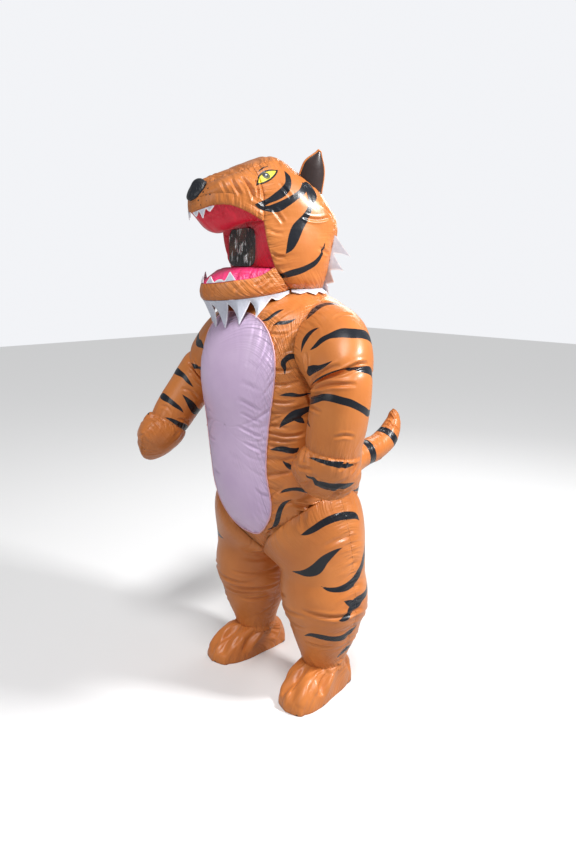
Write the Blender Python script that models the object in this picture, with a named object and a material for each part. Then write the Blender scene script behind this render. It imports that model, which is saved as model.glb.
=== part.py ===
"""An inflatable tiger costume: hollow cloth panels sewn edge to edge, standing on its two booties.

Metres, +Z up. The costume faces -Y and its left side is +X. Each panel is a grid of outer points
laid between its seams. Panels that share a seam share the seam's points, and sew() turns every
grid into a wall whose seam edges are mitred and stand a seam's gap apart.
"""

import math
from collections import namedtuple

import bmesh
import bpy
import numpy as np
from mathutils import Vector, kdtree

CENTRE = np.array([-0.03350, 0.12855, 0.0])  # the middle of the whole thing's box, put at the origin
WALL = 0.002  # cloth and air layer as one wall
SEAM = 0.0003  # gap between two pieces
PI = math.pi

# Heights of the body's seams
CROTCH_Z = 0.476
HIP_Z = 0.720
ARMPIT_Z = 1.080
SHOULDER_Z = 1.385
NECK_Z = 1.430

# Spans along the seams, the same on both panels that share one
GROIN_SPANS = 8
SIDE_SPANS = 6
ARM_SPANS = 8
SHOULDER_SPANS = 2
NECK_FRONT = 10
NECK_SIDE = 7
NECK_BACK = 8
CROTCH_SPANS = 2
CHEEK_SPANS = 10
CROWN_SPANS = 8

BODY_COLUMNS = ("height", "half_width", "half_depth", "centre_y", "power")
BODY = (
    (0.470, 0.150, 0.115, 0.000, 2.00),
    (0.500, 0.192, 0.146, 0.000, 2.00),
    (0.550, 0.235, 0.188, 0.000, 2.10),
    (0.620, 0.262, 0.228, -0.004, 2.15),
    (0.700, 0.276, 0.252, -0.008, 2.20),
    (0.800, 0.282, 0.266, -0.012, 2.20),
    (0.950, 0.290, 0.278, -0.019, 2.20),
    (1.100, 0.296, 0.292, -0.028, 2.20),
    (1.200, 0.290, 0.284, -0.029, 2.20),
    (1.300, 0.266, 0.257, -0.023, 2.15),
    (1.360, 0.232, 0.218, -0.017, 2.10),
    (1.388, 0.195, 0.182, -0.013, 2.00),
    (1.405, 0.158, 0.152, -0.010, 2.00),
    (1.430, 0.138, 0.133, -0.010, 2.00),
)
BELLY_COLUMNS = ("height_share", "half_angle")
BELLY = ((-1.0, 42), (-0.8, 45), (-0.36, 36), (0.0, 37.5), (0.3, 43), (0.65, 51), (1.0, 57))
RAY_TURNS = ((180, 125), (125, 75), (75, 28), (28, 22), (22, 0))  # degrees from the top, line by line
SHOULDER_POINT = 3  # the shoulder seam's place among the points of the neck's side
BELLY_Z = 0.952
BELLY_HALF = 0.398
ARMHOLE_REACH = math.radians(34)  # from the side seam to the armhole's front and back edge

LEG_COLUMNS = ("height", "centre_x", "half_width", "half_depth")
LEG = (
    (0.104, 0.190, 0.076, 0.076),
    (0.135, 0.193, 0.083, 0.084),
    (0.170, 0.196, 0.098, 0.098),
    (0.220, 0.198, 0.118, 0.118),
    (0.258, 0.198, 0.130, 0.130),
    (0.290, 0.197, 0.147, 0.145),
    (0.350, 0.194, 0.156, 0.153),
    (0.420, 0.187, 0.151, 0.150),
)
SLEEVE_COLUMNS = ("share", "across", "along", "height", "radius")
LEFT_SLEEVE = (
    (0.00, 0.290, -0.020, 1.2320, 0.152),
    (0.25, 0.372, -0.050, 1.2000, 0.138),
    (0.45, 0.388, -0.102, 1.1300, 0.108),
    (0.56, 0.391, -0.117, 1.0850, 0.099),
    (0.80, 0.384, -0.130, 0.9900, 0.0945),
    (1.00, 0.372, -0.137, 0.9080, 0.0895),
)
RIGHT_SLEEVE = (
    (0.00, -0.290, -0.020, 1.2320, 0.152),
    (0.25, -0.372, -0.055, 1.1850, 0.128),
    (0.45, -0.405, -0.105, 1.1050, 0.098),
    (0.56, -0.420, -0.132, 1.0530, 0.090),
    (0.80, -0.447, -0.192, 0.9580, 0.083),
    (1.00, -0.463, -0.236, 0.8840, 0.077),
)
TAIL_COLUMNS = ("share", "along", "height", "radius")
TAIL = (
    (0.00, 0.240, 0.690, 0.058),
    (0.20, 0.330, 0.708, 0.055),
    (0.40, 0.425, 0.730, 0.052),
    (0.60, 0.520, 0.745, 0.049),
    (0.76, 0.590, 0.785, 0.043),
    (0.90, 0.625, 0.845, 0.029),
    (0.97, 0.624, 0.880, 0.014),
    (1.00, 0.622, 0.893, 0.000),
)
HEAD_YAW = math.radians(10)

ORANGE = (0.66, 0.19, 0.035)
LILAC = (0.56, 0.44, 0.58)
WHITE = (0.78, 0.80, 0.84)
RED = (0.62, 0.02, 0.05)
PINK = (0.83, 0.06, 0.16)
DARK = (0.045, 0.026, 0.026)
BLACK = (0.03, 0.034, 0.045)
STEEL = (0.45, 0.45, 0.47)

Piece = namedtuple("Piece", "name grid core wrap finish")
Finish = namedtuple("Finish", "colour roughness metallic")
CLOTH = Finish(ORANGE, 0.38, 0.0)


def through(knots, values, at):
    """A smooth curve through values at rising knots: a cubic in each span, sloped as its neighbours lie."""
    knots = np.asarray(knots, float)
    values = np.asarray(values, float).reshape(len(knots), -1)
    at = np.clip(np.asarray(at, float), knots[0], knots[-1])
    slope = np.gradient(values, knots, axis=0)
    low = np.clip(np.searchsorted(knots, at, side="right") - 1, 0, len(knots) - 2)
    width = (knots[low + 1] - knots[low])[..., None]
    t = (at - knots[low])[..., None] / width
    start = (1 + 2 * t) * (1 - t) ** 2 * values[low] + t * (1 - t) ** 2 * width * slope[low]
    end = t**2 * (3 - 2 * t) * values[low + 1] - t**2 * (1 - t) * width * slope[low + 1]
    return start + end


def read(table, at):
    """The columns of a table after its first, at places along that first one."""
    rows = np.array(table, float)
    return np.moveaxis(through(rows[:, 0], rows[:, 1:], at), -1, 0)


def curve(points, spans):
    """A smooth line through points, as spans of nearly even length."""
    points = np.asarray(points, float)
    steps = np.linalg.norm(np.diff(points, axis=0), axis=1)
    knots = np.concatenate([[0.0], np.cumsum(steps)])
    return through(knots, points, np.linspace(0.0, knots[-1], spans + 1))


def mirrored(points):
    """The same points on the costume's other side."""
    return np.asarray(points) * np.array([-1.0, 1.0, 1.0])


def unit(vectors):
    """The vectors at length one, and zero where they have none."""
    size = np.linalg.norm(vectors, axis=-1, keepdims=True)
    return vectors / np.maximum(size, 1e-12)


def body(angle, height):
    """The body's outer point at an angle from its front, towards its left, and a height."""
    angle, height = np.broadcast_arrays(np.asarray(angle, float), np.asarray(height, float))
    half_width, half_depth, centre, power = read(BODY, height)
    side, front = np.sin(angle), np.cos(angle)
    reach = (np.abs(side / half_width) ** power + np.abs(front / half_depth) ** power) ** (-1 / power)
    return np.stack([reach * side, centre - reach * front, height], -1)


def groin(angle):
    """The height of the seam between the body and a leg: lowest at the crotch, highest at the hip."""
    return CROTCH_Z + (HIP_Z - CROTCH_Z) * np.abs(np.sin(angle)) ** 1.5


def groin_line(start, end):
    """(angle, height) along a quarter of the groin seam."""
    angle = np.linspace(start, end, GROIN_SPANS + 1)
    return np.stack([angle, groin(angle)], -1)


def side_line():
    """(angle, height) up the left side seam, from the hip to the armpit."""
    height = np.linspace(HIP_Z, ARMPIT_Z, SIDE_SPANS + 1)
    return np.stack([np.full_like(height, PI / 2), height], -1)


def armhole_line(way):
    """(angle, height) up the left armhole, by its front edge for way -1 and its back edge for 1."""
    turn = np.linspace(PI, 0.0, ARM_SPANS + 1)
    middle, half = (SHOULDER_Z + ARMPIT_Z) / 2, (SHOULDER_Z - ARMPIT_Z) / 2
    return np.stack([PI / 2 + way * ARMHOLE_REACH * np.sin(turn), middle + half * np.cos(turn)], -1)


def shoulder_line():
    """(angle, height) along the left shoulder seam, from the armhole to the neck."""
    height = np.linspace(SHOULDER_Z, NECK_Z, SHOULDER_SPANS + 1)
    return np.stack([np.full_like(height, PI / 2), height], -1)


def neck_angles():
    """The angles of the neck seam's points, from the front round the left side to the back."""
    front = np.radians(np.linspace(0.0, 56.25, NECK_FRONT // 2 + 1))
    side = np.radians(np.linspace(56.25, 135.0, NECK_SIDE + 1))
    side[SHOULDER_POINT] = PI / 2
    back = np.radians(np.linspace(135.0, 180.0, NECK_BACK // 2 + 1))
    return front, side, back


def neck_line(angles):
    """(angle, height) of the neck seam at some angles."""
    return np.stack([angles, np.full_like(angles, NECK_Z)], -1)


def front_neck_line():
    """(angle, height) of the neck seam from the left shoulder to the front."""
    front, side, _ = neck_angles()
    return neck_line(chain(front, side[: SHOULDER_POINT + 1])[::-1])


def back_neck_line():
    """(angle, height) of the neck seam from the left shoulder to the back."""
    _, side, back = neck_angles()
    return neck_line(chain(side[SHOULDER_POINT:], back))


def chain(*lines):
    """Lines that follow each other, as one, with each shared end once."""
    return np.concatenate([lines[0]] + [line[1:] for line in lines[1:]])


def coons(bottom, top, left, right):
    """A grid between four edges: rows run from bottom to top, and columns from left to right."""
    v = np.linspace(0.0, 1.0, len(left))[:, None, None]
    u = np.linspace(0.0, 1.0, len(bottom))[None, :, None]
    across = (1 - v) * bottom[None] + v * top[None]
    along = (1 - u) * left[:, None] + u * right[:, None]
    low = (1 - u) * bottom[0] + u * bottom[-1]
    high = (1 - u) * top[0] + u * top[-1]
    return across + along - (1 - v) * low - v * high


def normals(grid, wrap):
    """The unit normals of a grid's points, from their neighbours, with closed columns if wrap."""
    if wrap:
        padded = np.concatenate([grid[:, -1:], grid, grid[:, :1]], 1)
        across = padded[:, 2:] - padded[:, :-2]
    else:
        across = np.gradient(grid, axis=1)
    found = np.cross(across, np.gradient(grid, axis=0))
    bare = np.linalg.norm(found, axis=-1) < 1e-9
    for row in (0, -1):  # a pole takes the mean of the row beside it
        if bare[row].any():
            beside = found[1 if row == 0 else -2]
            found[row] = beside.mean(0) if bare[row].all() else found[row]
    for column in (0, -1):
        if bare[:, column].all():
            found[:, column] = found[:, 1 if column == 0 else -2].mean(0)
    if not wrap:  # a corner where the edges run nearly on has no sure normal of its own
        for row, column, r, c in ((0, 0, 1, 1), (0, -1, 1, -2), (-1, 0, -2, 1), (-1, -1, -2, -2)):
            one, other = unit(grid[r, column] - grid[row, column]), unit(grid[row, c] - grid[row, column])
            if abs(one @ other) > 0.7:
                found[row, column] = found[r, c]
    for row, column in np.argwhere(np.linalg.norm(found, axis=-1) < 1e-9):
        r = min(max(row, 1), len(grid) - 2)
        c = min(max(column, 1), grid.shape[1] - 2)
        found[row, column] = found[r, c]
    return unit(found)


def faced(grid, core, wrap):
    """The grid's normals, turned to point away from core."""
    found = normals(grid, wrap)
    return found if np.sum(found * (grid - core)) > 0 else -found


def swelled(grid, lift, power=0.6):
    """The grid moved by a lift that fades to none at its edges, as air fills it."""
    v = np.sin(PI * np.linspace(0.0, 1.0, len(grid)))[:, None]
    u = np.sin(PI * np.linspace(0.0, 1.0, grid.shape[1]))[None, :]
    return grid + lift * (np.clip(u * v, 0.0, 1.0) ** power)[..., None]


def puffed(grid, core, height):
    """The grid swelled outwards along its own normals."""
    return swelled(grid, faced(grid, core, False) * height)


def torso_pieces():
    """The body's front and belly on rays from the belly's middle, and its two back panels."""
    lines = (groin_line(0.0, PI / 2), side_line(), armhole_line(-1), shoulder_line(), front_neck_line())
    left = chain(*lines)
    turn = chain(*(np.linspace(*ends, len(line)) for ends, line in zip(RAY_TURNS, lines)))
    around = np.concatenate([left, left[-2:0:-1] * np.array([-1.0, 1.0])])
    turn = np.radians(np.concatenate([turn, -turn[-2:0:-1]]))
    share = np.cos(turn)
    half_angle = np.radians(read(BELLY, share)[0])
    oval = np.stack(
        [np.sign(np.sin(turn)) * np.abs(np.sin(turn)) ** 0.6 * half_angle, BELLY_Z + BELLY_HALF * share],
        -1,
    )
    core = np.array([0.0, 0.0, 0.95])
    rows = np.linspace(0.0, 1.0, 6)[:, None]
    bend = 1 + 1.6 * np.exp(-(((np.abs(np.degrees(turn)) - 28) / 18) ** 2))[None, :]
    front = oval[None] + (around - oval)[None] * np.stack([rows**bend, rows * np.ones_like(bend)], -1)
    rows = np.array([0.0, 0.16, 0.55, 1.0])[:, None, None]
    belly = oval[None] * (1 - rows) + np.array([0.0, BELLY_Z]) * rows
    outer = chain(side_line(), armhole_line(1), shoulder_line())
    zip_edge, tape = zip_lines(len(outer))
    back = coons(groin_line(PI / 2, PI), back_neck_line(), outer, zip_edge)
    back = body(back[..., 0], back[..., 1])
    tape = np.stack([body(tape[:, 0], tape[:, 1]), body(np.full(len(tape), PI), tape[:, 1])], 1)
    for row, end in ((0, ZIP_ROW), (-1, ZIP_TOP_ROW)):
        beside = end + 1 if row == 0 else end - 1
        tape[row, 0] = back[end, -1] * 0.85 + back[beside, -1] * 0.15
        tape[row, 1] = tape[row, 0] * np.array([0.0, 1.0, 1.0])
    return [
        Piece("torso_front", body(front[..., 0], front[..., 1]), core, True, CLOTH),
        Piece("belly", body(belly[..., 0], belly[..., 1]), core, True, Finish(LILAC, 0.4, 0.0)),
        Piece("torso_back_left", back, core, False, CLOTH),
        Piece("torso_back_right", mirrored(back), core, False, CLOTH),
        Piece("zip_tape_left", tape, core, False, Finish(BLACK, 0.7, 0.0)),
        Piece("zip_tape_right", mirrored(tape), core, False, Finish(BLACK, 0.7, 0.0)),
    ]


ZIP_ROW = 5  # the rows of the back panels where the zip begins and ends
ZIP_TOP_ROW = 15
TAPE_WIDTH = 0.013


def zip_lines(rows):
    """(angle, height) up the back panels' inner edges, and up the zip tape's outer edge."""
    height = np.linspace(CROTCH_Z, NECK_Z, rows)
    half_depth = read(BODY, height)[1]
    row = np.arange(rows)
    part = np.where((row > ZIP_ROW) & (row < ZIP_TOP_ROW), TAPE_WIDTH / half_depth, 0.0)
    edge = np.stack([PI - part, height], -1)
    return edge, edge[ZIP_ROW : ZIP_TOP_ROW + 1]


def leg_ring(height, turns, side):
    """A leg's ring at a height. The turn runs from the inseam round the front of a left leg."""
    centre, half_width, half_depth = read(LEG, np.full(len(turns), height))
    across = centre - half_width * np.cos(turns)
    return np.stack([side * across, -half_depth * np.sin(turns), np.full(len(turns), height)], -1)


LEG_ROWS = (0.420, 0.350, 0.290, 0.258, 0.220, 0.170, 0.135, 0.104)


def leg_piece(side, way, name):
    """Half a leg: a trouser leg cut from the groin and crotch seams to the hem, front for way 1."""
    crotch = np.linspace(0.0, 1.0, CROTCH_SPANS + 1)[:, None]
    low = body(0.0 if way > 0 else PI, CROTCH_Z)
    middle = np.array([0.0, 0.0, CROTCH_Z - 0.012])
    inner = middle + (low - middle) * crotch
    inner[:, 2] = middle[2] + (low[2] - middle[2]) * crotch[:, 0] ** 2
    line = groin_line(0.0, PI / 2) if way > 0 else groin_line(PI, PI / 2)
    top = chain(inner, body(line[:, 0], line[:, 1]))
    inner_turns = np.linspace(0.0, math.radians(42), CROTCH_SPANS + 1)
    outer_turns = np.linspace(math.radians(42), PI, GROIN_SPANS + 1)
    turns = way * chain(inner_turns, outer_turns)
    ring = leg_ring(LEG_ROWS[0], turns, 1)
    reach = np.linalg.norm(ring - top, axis=1, keepdims=True)
    out = np.stack([-np.cos(turns), -np.sin(turns), np.zeros(len(turns))], -1)
    out[: CROTCH_SPANS + 1, 0] = np.maximum(out[: CROTCH_SPANS + 1, 0], 0.45)
    leaving = unit(out * 0.42 - np.array([0.0, 0.0, 0.9])) * reach
    arriving = np.array([0.0, 0.0, -1.0]) * reach
    rows = []
    for t in np.linspace(0.0, 1.0, 5)[:-1]:
        start = (1 + 2 * t) * (1 - t) ** 2 * top + t * (1 - t) ** 2 * leaving
        rows.append(start + t**2 * (3 - 2 * t) * ring - t**2 * (1 - t) * arriving)
    rows += [leg_ring(height, turns, 1) for height in LEG_ROWS]
    grid = np.array(rows)
    core = np.array([0.19, 0.0, 0.4])
    if side < 0:
        grid, core = mirrored(grid), mirrored(core)
    return Piece(name, grid, core, False, CLOTH)


FOOT_LENGTH = 0.335
HEEL_Y = 0.132
FOOT_COLUMNS = ("share_from_toe", "half_width")
FOOT = ((0.0, 0.0), (0.03, 0.038), (0.12, 0.062), (0.3, 0.075), (0.55, 0.067), (0.8, 0.056), (0.95, 0.034),
        (1.0, 0.0))
TOE_HEIGHT = 0.052
PLEAT_DEPTH = 0.005


def foot_pieces(side, word):
    """A bootie: a pleated upper from the leg's hem to the floor, and a flat sole."""
    half = np.concatenate([np.linspace(0.0, math.radians(42), CROTCH_SPANS + 1),
                           np.linspace(math.radians(42), PI, GROIN_SPANS + 1)[1:]])
    turns = np.concatenate([half, -half[-2:0:-1]])
    hem = leg_ring(LEG_ROWS[-1], turns, 1)
    # The sole's outline: the same turns, sent to a long outline that is round at toe and heel
    front = np.clip(np.sin(turns), -1.0, 1.0)
    share = 0.5 - 0.5 * np.sign(front) * np.abs(front) ** 0.9
    share = 0.36 + (share - 0.5) * 2 * np.where(share < 0.5, 0.36, 0.64)
    width = read(FOOT, share)[0]
    lean = np.sign(-np.cos(turns)) * width
    centre_x = read(LEG, np.array([LEG_ROWS[-1]]))[0][0]
    y = HEEL_Y - FOOT_LENGTH + share * FOOT_LENGTH
    splay = (HEEL_Y - 0.05 - y) * math.tan(math.radians(5.5))
    edge = np.stack([centre_x + lean + splay - 0.005, y, np.zeros(len(turns))], -1)
    rows = []
    for t in np.linspace(0.0, 1.0, 7):
        flat = (edge - hem) * np.array([1.0, 1.0, 0.0])
        first = hem + flat * 0.30 - np.array([0.0, 0.0, 0.016])
        second = edge + np.array([0.0, 0.0, TOE_HEIGHT])
        blend = (1 - t) ** 3 * hem + 3 * t * (1 - t) ** 2 * first + 3 * t**2 * (1 - t) * second
        rows.append(blend + t**3 * edge)
    grid = np.array(rows)
    core = np.array([centre_x, 0.02, 0.03])
    fold = np.where(np.arange(len(turns)) % 2 == 0, 1.0, -1.0)[None, :]
    swell = np.sin(PI * np.linspace(0.0, 1.0, 7))[:, None] ** 1.5 * PLEAT_DEPTH
    grid = grid + faced(grid, core, True) * (fold * swell)[..., None]
    shares = np.array([0.0, 0.45, 1.0])[:, None, None]
    sole = edge[None] * (1 - shares) + np.array([edge[:, 0].mean(), edge[:, 1].mean(), 0.0]) * shares
    below = core + np.array([0.0, 0.0, 0.5])
    if side < 0:
        grid, core, sole, below = mirrored(grid), mirrored(core), mirrored(sole), mirrored(below)
    return [
        Piece(f"foot_upper_{word}", grid, core, True, CLOTH),
        Piece(f"foot_sole_{word}", sole, below, True, Finish(DARK, 0.8, 0.0)),
    ]


def frames(path):
    """For points along an arm: the way it runs, its front, and its outer side."""
    along = unit(np.gradient(path, axis=0))
    ahead = np.array([0.0, -1.0, 0.0])
    front = unit(ahead - along * (along @ ahead)[:, None])
    return along, front, np.cross(front, along)


SLEEVE_ROWS = (0.60, 0.68, 0.78, 0.89, 1.0)
SHOULDER_ROWS = (0.0, 0.17, 0.34, 0.50, 0.63, 0.72, 0.80, 0.88)
ELBOW = 0.76
UNDERARM_TWIST = 0.7  # how far the sleeve's columns turn back under the arm, in radians
ELBOW_FOLD = 0.012


def sleeve_grid(side, table):
    """A sleeve from the armhole's points to a round cuff, with a fold at the inside of the elbow."""
    rows = np.array(SLEEVE_ROWS)
    values = read(table, rows)
    path, radius = values[:3].T, values[3]
    along, front, outer = frames(path)
    outer = outer * side
    turn = np.arange(2 * ARM_SPANS) * PI / ARM_SPANS  # from the top, by the front
    under = (0.5 - 0.5 * np.cos(turn))[:, None]
    fade = (1 - rows) / (1 - rows[0])
    turns = turn + UNDERARM_TWIST * fade[:, None] * under[:, 0]
    spread = np.cos(turns)[..., None] * outer[:, None] + np.sin(turns)[..., None] * front[:, None]
    grid = path[:, None] + spread * radius[:, None, None]
    edge = np.concatenate([armhole_line(-1)[::-1], armhole_line(1)[1:-1]])
    hole = body(edge[:, 0], edge[:, 1])
    if side < 0:
        hole = mirrored(hole)
    reach = np.linalg.norm(grid[0] - hole, axis=1, keepdims=True)
    below = unit(grid[0] - hole) + np.array([0.35 * side, 0.0, 0.0])
    leaving = np.array([side, 0.0, 0.04]) * (1 - under) + below * under
    leaving = unit(leaving) * reach * (1.10 - 0.40 * under)
    arriving = along[0] * reach * (1.35 - 0.60 * under)
    folded = ELBOW_FOLD * (0.5 + 0.5 * np.cos(turn - 0.9))[:, None]
    shoulder = []
    for t in SHOULDER_ROWS:
        start = (1 + 2 * t) * (1 - t) ** 2 * hole + t * (1 - t) ** 2 * leaving
        ring = start + t**2 * (3 - 2 * t) * grid[0] - t**2 * (1 - t) * arriving
        fold = folded * math.exp(-(((t - ELBOW) / 0.05) ** 2))
        shoulder.append(ring - unit(ring - ring.mean(0)) * fold)
    return np.concatenate([shoulder, grid])


MITT_DROP = 0.165
MITT_SPANS = 6


def arm_pieces(side, word, table, steps):
    """A sleeve, and the back and palm of its mitt, turned inwards by steps round the cuff's seam."""
    grid = sleeve_grid(side, table)
    path = read(table, np.array(SLEEVE_ROWS))[:3].T
    along, front, outer = (value[-1] for value in frames(path))
    outer = outer * side
    turn = steps * PI / ARM_SPANS
    front, outer = (math.cos(turn) * front - math.sin(turn) * outer,
                    math.cos(turn) * outer + math.sin(turn) * front)
    cuff = grid[-1]
    quarter = ARM_SPANS // 2
    back_top = np.roll(cuff, quarter - steps, axis=0)[: ARM_SPANS + 1]
    palm_top = np.roll(cuff, -quarter - steps, axis=0)[: ARM_SPANS + 1][::-1]
    centre = path[-1]

    def at(across, down):
        return centre + front * across + along * down

    behind = curve([back_top[0], at(-0.100, 0.035), at(-0.106, 0.085), at(-0.074, 0.140)], MITT_SPANS)
    ahead = curve([back_top[-1], at(0.110, 0.030), at(0.126, 0.080), at(0.090, 0.138)], MITT_SPANS)
    tip = curve([behind[-1], at(-0.035, MITT_DROP), at(0.040, MITT_DROP), ahead[-1]], ARM_SPANS)
    core = centre + along * 0.07
    back = coons(tip, back_top, behind[::-1], ahead[::-1])
    palm = coons(tip, palm_top, behind[::-1], ahead[::-1])
    back = swelled(back, outer * 0.036)
    palm = swelled(palm, outer * -0.030)
    return [
        Piece(f"sleeve_{word}", grid, grid.mean(1, keepdims=True), True, CLOTH),
        Piece(f"mitt_back_{word}", back, core - outer * 0.1, False, CLOTH),
        Piece(f"mitt_palm_{word}", palm, core + outer * 0.1, False, CLOTH),
    ]


def tail_piece(side, name):
    """Half of the tail: half rings carried along a path that turns up, seamed above and below."""
    rows = np.linspace(0.0, 1.0, 11)
    along_y, height, radius = read(TAIL, rows)
    path = np.stack([np.zeros(len(rows)), along_y, height], -1)
    way = unit(np.gradient(path, axis=0))
    over = np.stack([np.zeros(len(rows)), -way[:, 2], way[:, 1]], -1)
    turn = np.linspace(0.0, PI, 7)
    across = np.array([side, 0.0, 0.0])
    spread = np.cos(turn)[None, :, None] * over[:, None] + np.sin(turn)[None, :, None] * across
    radius[-1] = 0.0
    grid = path[:, None] + spread * radius[:, None, None]
    half_width, half_depth, centre, power = read(BODY, grid[0, :, 2])
    share = np.abs(grid[0, :, 0] / half_width) ** power
    grid[0, :, 1] = centre + half_depth * (1 - share) ** (1 / power) + 2 * SEAM
    return Piece(name, grid, path[:, None], False, CLOTH)


def head(*points):
    """Points of the head, given as (to its left, forward, height), turned as the head is turned."""
    turn, ahead = math.cos(HEAD_YAW), math.sin(HEAD_YAW)
    left = np.array([turn, -ahead, 0.0])
    forward = np.array([-ahead, -turn, 0.0])
    return np.array([p[0] * left + p[1] * forward + np.array([0.0, 0.0, p[2]]) for p in points])


def flipped(points):
    """Head points on the head's other side."""
    return [(-p[0], p[1], p[2]) for p in points]


NOSE_TOP = (0.042, 0.366, 1.802)
GUSSET_JOIN = (0.105, 0.212, 1.868)
CROWN_END = (0.120, -0.115, 1.715)
MOUTH_TOP = (0.160, 0.199, 1.668)
MOUTH_LOW = (0.160, 0.154, 1.510)
LIP_FRONT = (0.0, 0.400, 1.700)
NOSE_LOW = (0.0, 0.400, 1.745)
HEAD_SEAMS = {
    "gusset_front": (NOSE_TOP, (0.075, 0.308, 1.826), GUSSET_JOIN),
    "gusset_back": (GUSSET_JOIN, (0.113, 0.116, 1.893), (0.130, 0.034, 1.845), (0.139, -0.045, 1.790),
                    CROWN_END),
    "muzzle": (GUSSET_JOIN, (0.150, 0.205, 1.800), (0.165, 0.199, 1.730), MOUTH_TOP),
    "upper_lip": (MOUTH_TOP, (0.152, 0.260, 1.700), (0.130, 0.317, 1.722), (0.100, 0.360, 1.722),
                  (0.050, 0.388, 1.710), LIP_FRONT),
    "nose_edge": (NOSE_LOW, (0.036, 0.392, 1.757), (0.050, 0.379, 1.778), NOSE_TOP),
    "mouth_edge": (MOUTH_TOP, (0.163, 0.185, 1.590), MOUTH_LOW),
    "lower_lip": (MOUTH_LOW, (0.142, 0.206, 1.479), (0.110, 0.290, 1.463), (0.055, 0.335, 1.454),
                  (0.0, 0.350, 1.451)),
}
NOSE_BRIDGE = (0.0, 0.372, 1.812)
CROWN_BACK = (0.0, -0.150, 1.738)
JAW_BOTTOM = ((0.142, 0.130, 1.418), (0.140, 0.195, 1.408), (0.118, 0.268, 1.399), (0.060, 0.325, 1.393),
              (0.0, 0.342, 1.392))
CHEEK_BACK = ((0.150, -0.112, 1.660), (0.146, -0.100, 1.580), (0.128, -0.090, 1.490))
UPPER_LIP_SPANS = 6
MUZZLE_SPANS = 4
MOUTH_SPANS = 4
LOWER_LIP_SPANS = 5
JAW_END_SPANS = 2


def head_seams():
    """Every seam of the head as points, by name, on the left and the right."""
    spans = {
        "gusset_front": UPPER_LIP_SPANS, "gusset_back": NECK_SIDE, "muzzle": MUZZLE_SPANS,
        "upper_lip": UPPER_LIP_SPANS, "nose_edge": MUZZLE_SPANS - 1, "mouth_edge": MOUTH_SPANS,
        "lower_lip": LOWER_LIP_SPANS,
    }
    front, side, _ = neck_angles()
    seams = {}
    for word, sign in (("left", 1), ("right", -1)):
        def place(points):
            return head(*(points if sign > 0 else flipped(points)))

        found = {name: curve(place(HEAD_SEAMS[name]), spans[name]) for name in HEAD_SEAMS}
        neck_front, neck_back = body(sign * front[-1], NECK_Z), body(sign * side[-1], NECK_Z)
        jaw_end = place([MOUTH_LOW, (0.158, 0.115, 1.462)])
        found["jaw_end"] = curve([*jaw_end, neck_front], JAW_END_SPANS)
        found["jaw_bottom"] = curve([neck_front, *place(JAW_BOTTOM)], LOWER_LIP_SPANS)
        found["cheek_back"] = curve([*place([CROWN_END]), *place(CHEEK_BACK), neck_back], CHEEK_SPANS)
        found["neck_side"] = body(sign * side, np.full(len(side), NECK_Z))
        found["philtrum"] = place([LIP_FRONT, NOSE_LOW])
        seams[word] = found
    return seams


def both(seams, name):
    """A seam that runs from the left to the middle and on to the right, as one line."""
    return chain(seams["left"][name], seams["right"][name][::-1])


def side_of_head(seams, word):
    """The cheek and the muzzle of one side."""
    s = seams[word]
    front = chain(s["muzzle"], s["mouth_edge"], s["jaw_end"])
    cheek = coons(s["neck_side"], s["gusset_back"], front[::-1], s["cheek_back"][::-1])
    middle = chain(s["philtrum"], s["nose_edge"])
    muzzle = coons(s["upper_lip"], s["gusset_front"][::-1], s["muzzle"][::-1], middle)
    core = head((0.0, 0.02, 1.62))[0]
    snout = head((0.0, 0.27, 1.76))[0]
    return [
        Piece(f"cheek_{word}", puffed(cheek, core, 0.016), core, False, CLOTH),
        Piece(f"muzzle_{word}", puffed(muzzle, snout, 0.014), snout, False, CLOTH),
    ]


def rayed(inner, outer, rows, lift, core):
    """Rings from one closed line out to another, swelled between them."""
    t = np.linspace(0.0, 1.0, rows + 1)
    grid = inner[None] * (1 - t[:, None, None]) + outer[None] * t[:, None, None]
    return grid + faced(grid, core, True) * (lift * np.sin(PI * t) ** 0.7)[:, None, None]


WINDOW = ((-0.128, 0.078), (1.512, 1.655))  # the clear window: across, and up
WINDOW_FORWARD = 0.186


def throat_pieces(seams):
    """The throat panel round its clear window, and the window."""
    left, right = seams["left"]["mouth_edge"], seams["right"]["mouth_edge"]
    top = curve([left[0], *head((0.0, 0.196, 1.678)), right[0]], 2 * UPPER_LIP_SPANS)
    low = curve([left[-1], *head((0.0, 0.168, 1.500)), right[-1]], 2 * LOWER_LIP_SPANS)
    outer = np.concatenate([top[:-1], right[:-1], low[:0:-1], left[:0:-1]])
    middle = outer.mean(0)
    (low_x, high_x), (low_z, high_z) = WINDOW
    centre = head(((low_x + high_x) / 2, WINDOW_FORWARD, (low_z + high_z) / 2))[0]
    leftward = head((1.0, 0.0, 0.0))[0]
    flat = (outer - middle) @ leftward
    rise = outer[:, 2] - middle[2]
    turn = np.arctan2(rise / 0.085, flat / 0.16)
    power = 0.42
    across = np.sign(np.cos(turn)) * np.abs(np.cos(turn)) ** power * (high_x - low_x) / 2
    up = np.sign(np.sin(turn)) * np.abs(np.sin(turn)) ** power * (high_z - low_z) / 2
    rim = centre + across[:, None] * leftward + up[:, None] * np.array([0.0, 0.0, 1.0])
    inside = head((0.0, -0.1, 1.6))[0]
    panel = rayed(rim, outer, 2, 0.002, inside)
    shares = np.array([0.0, 0.5, 1.0])[:, None, None]
    glass = rim[None] * (1 - shares) + centre * shares
    return top, low, [
        Piece("throat", panel, inside, True, Finish(RED, 0.45, 0.0)),
        Piece("window", glass, inside, True, Finish((0.75, 0.72, 0.75), 0.08, 0.0)),
    ]


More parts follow.
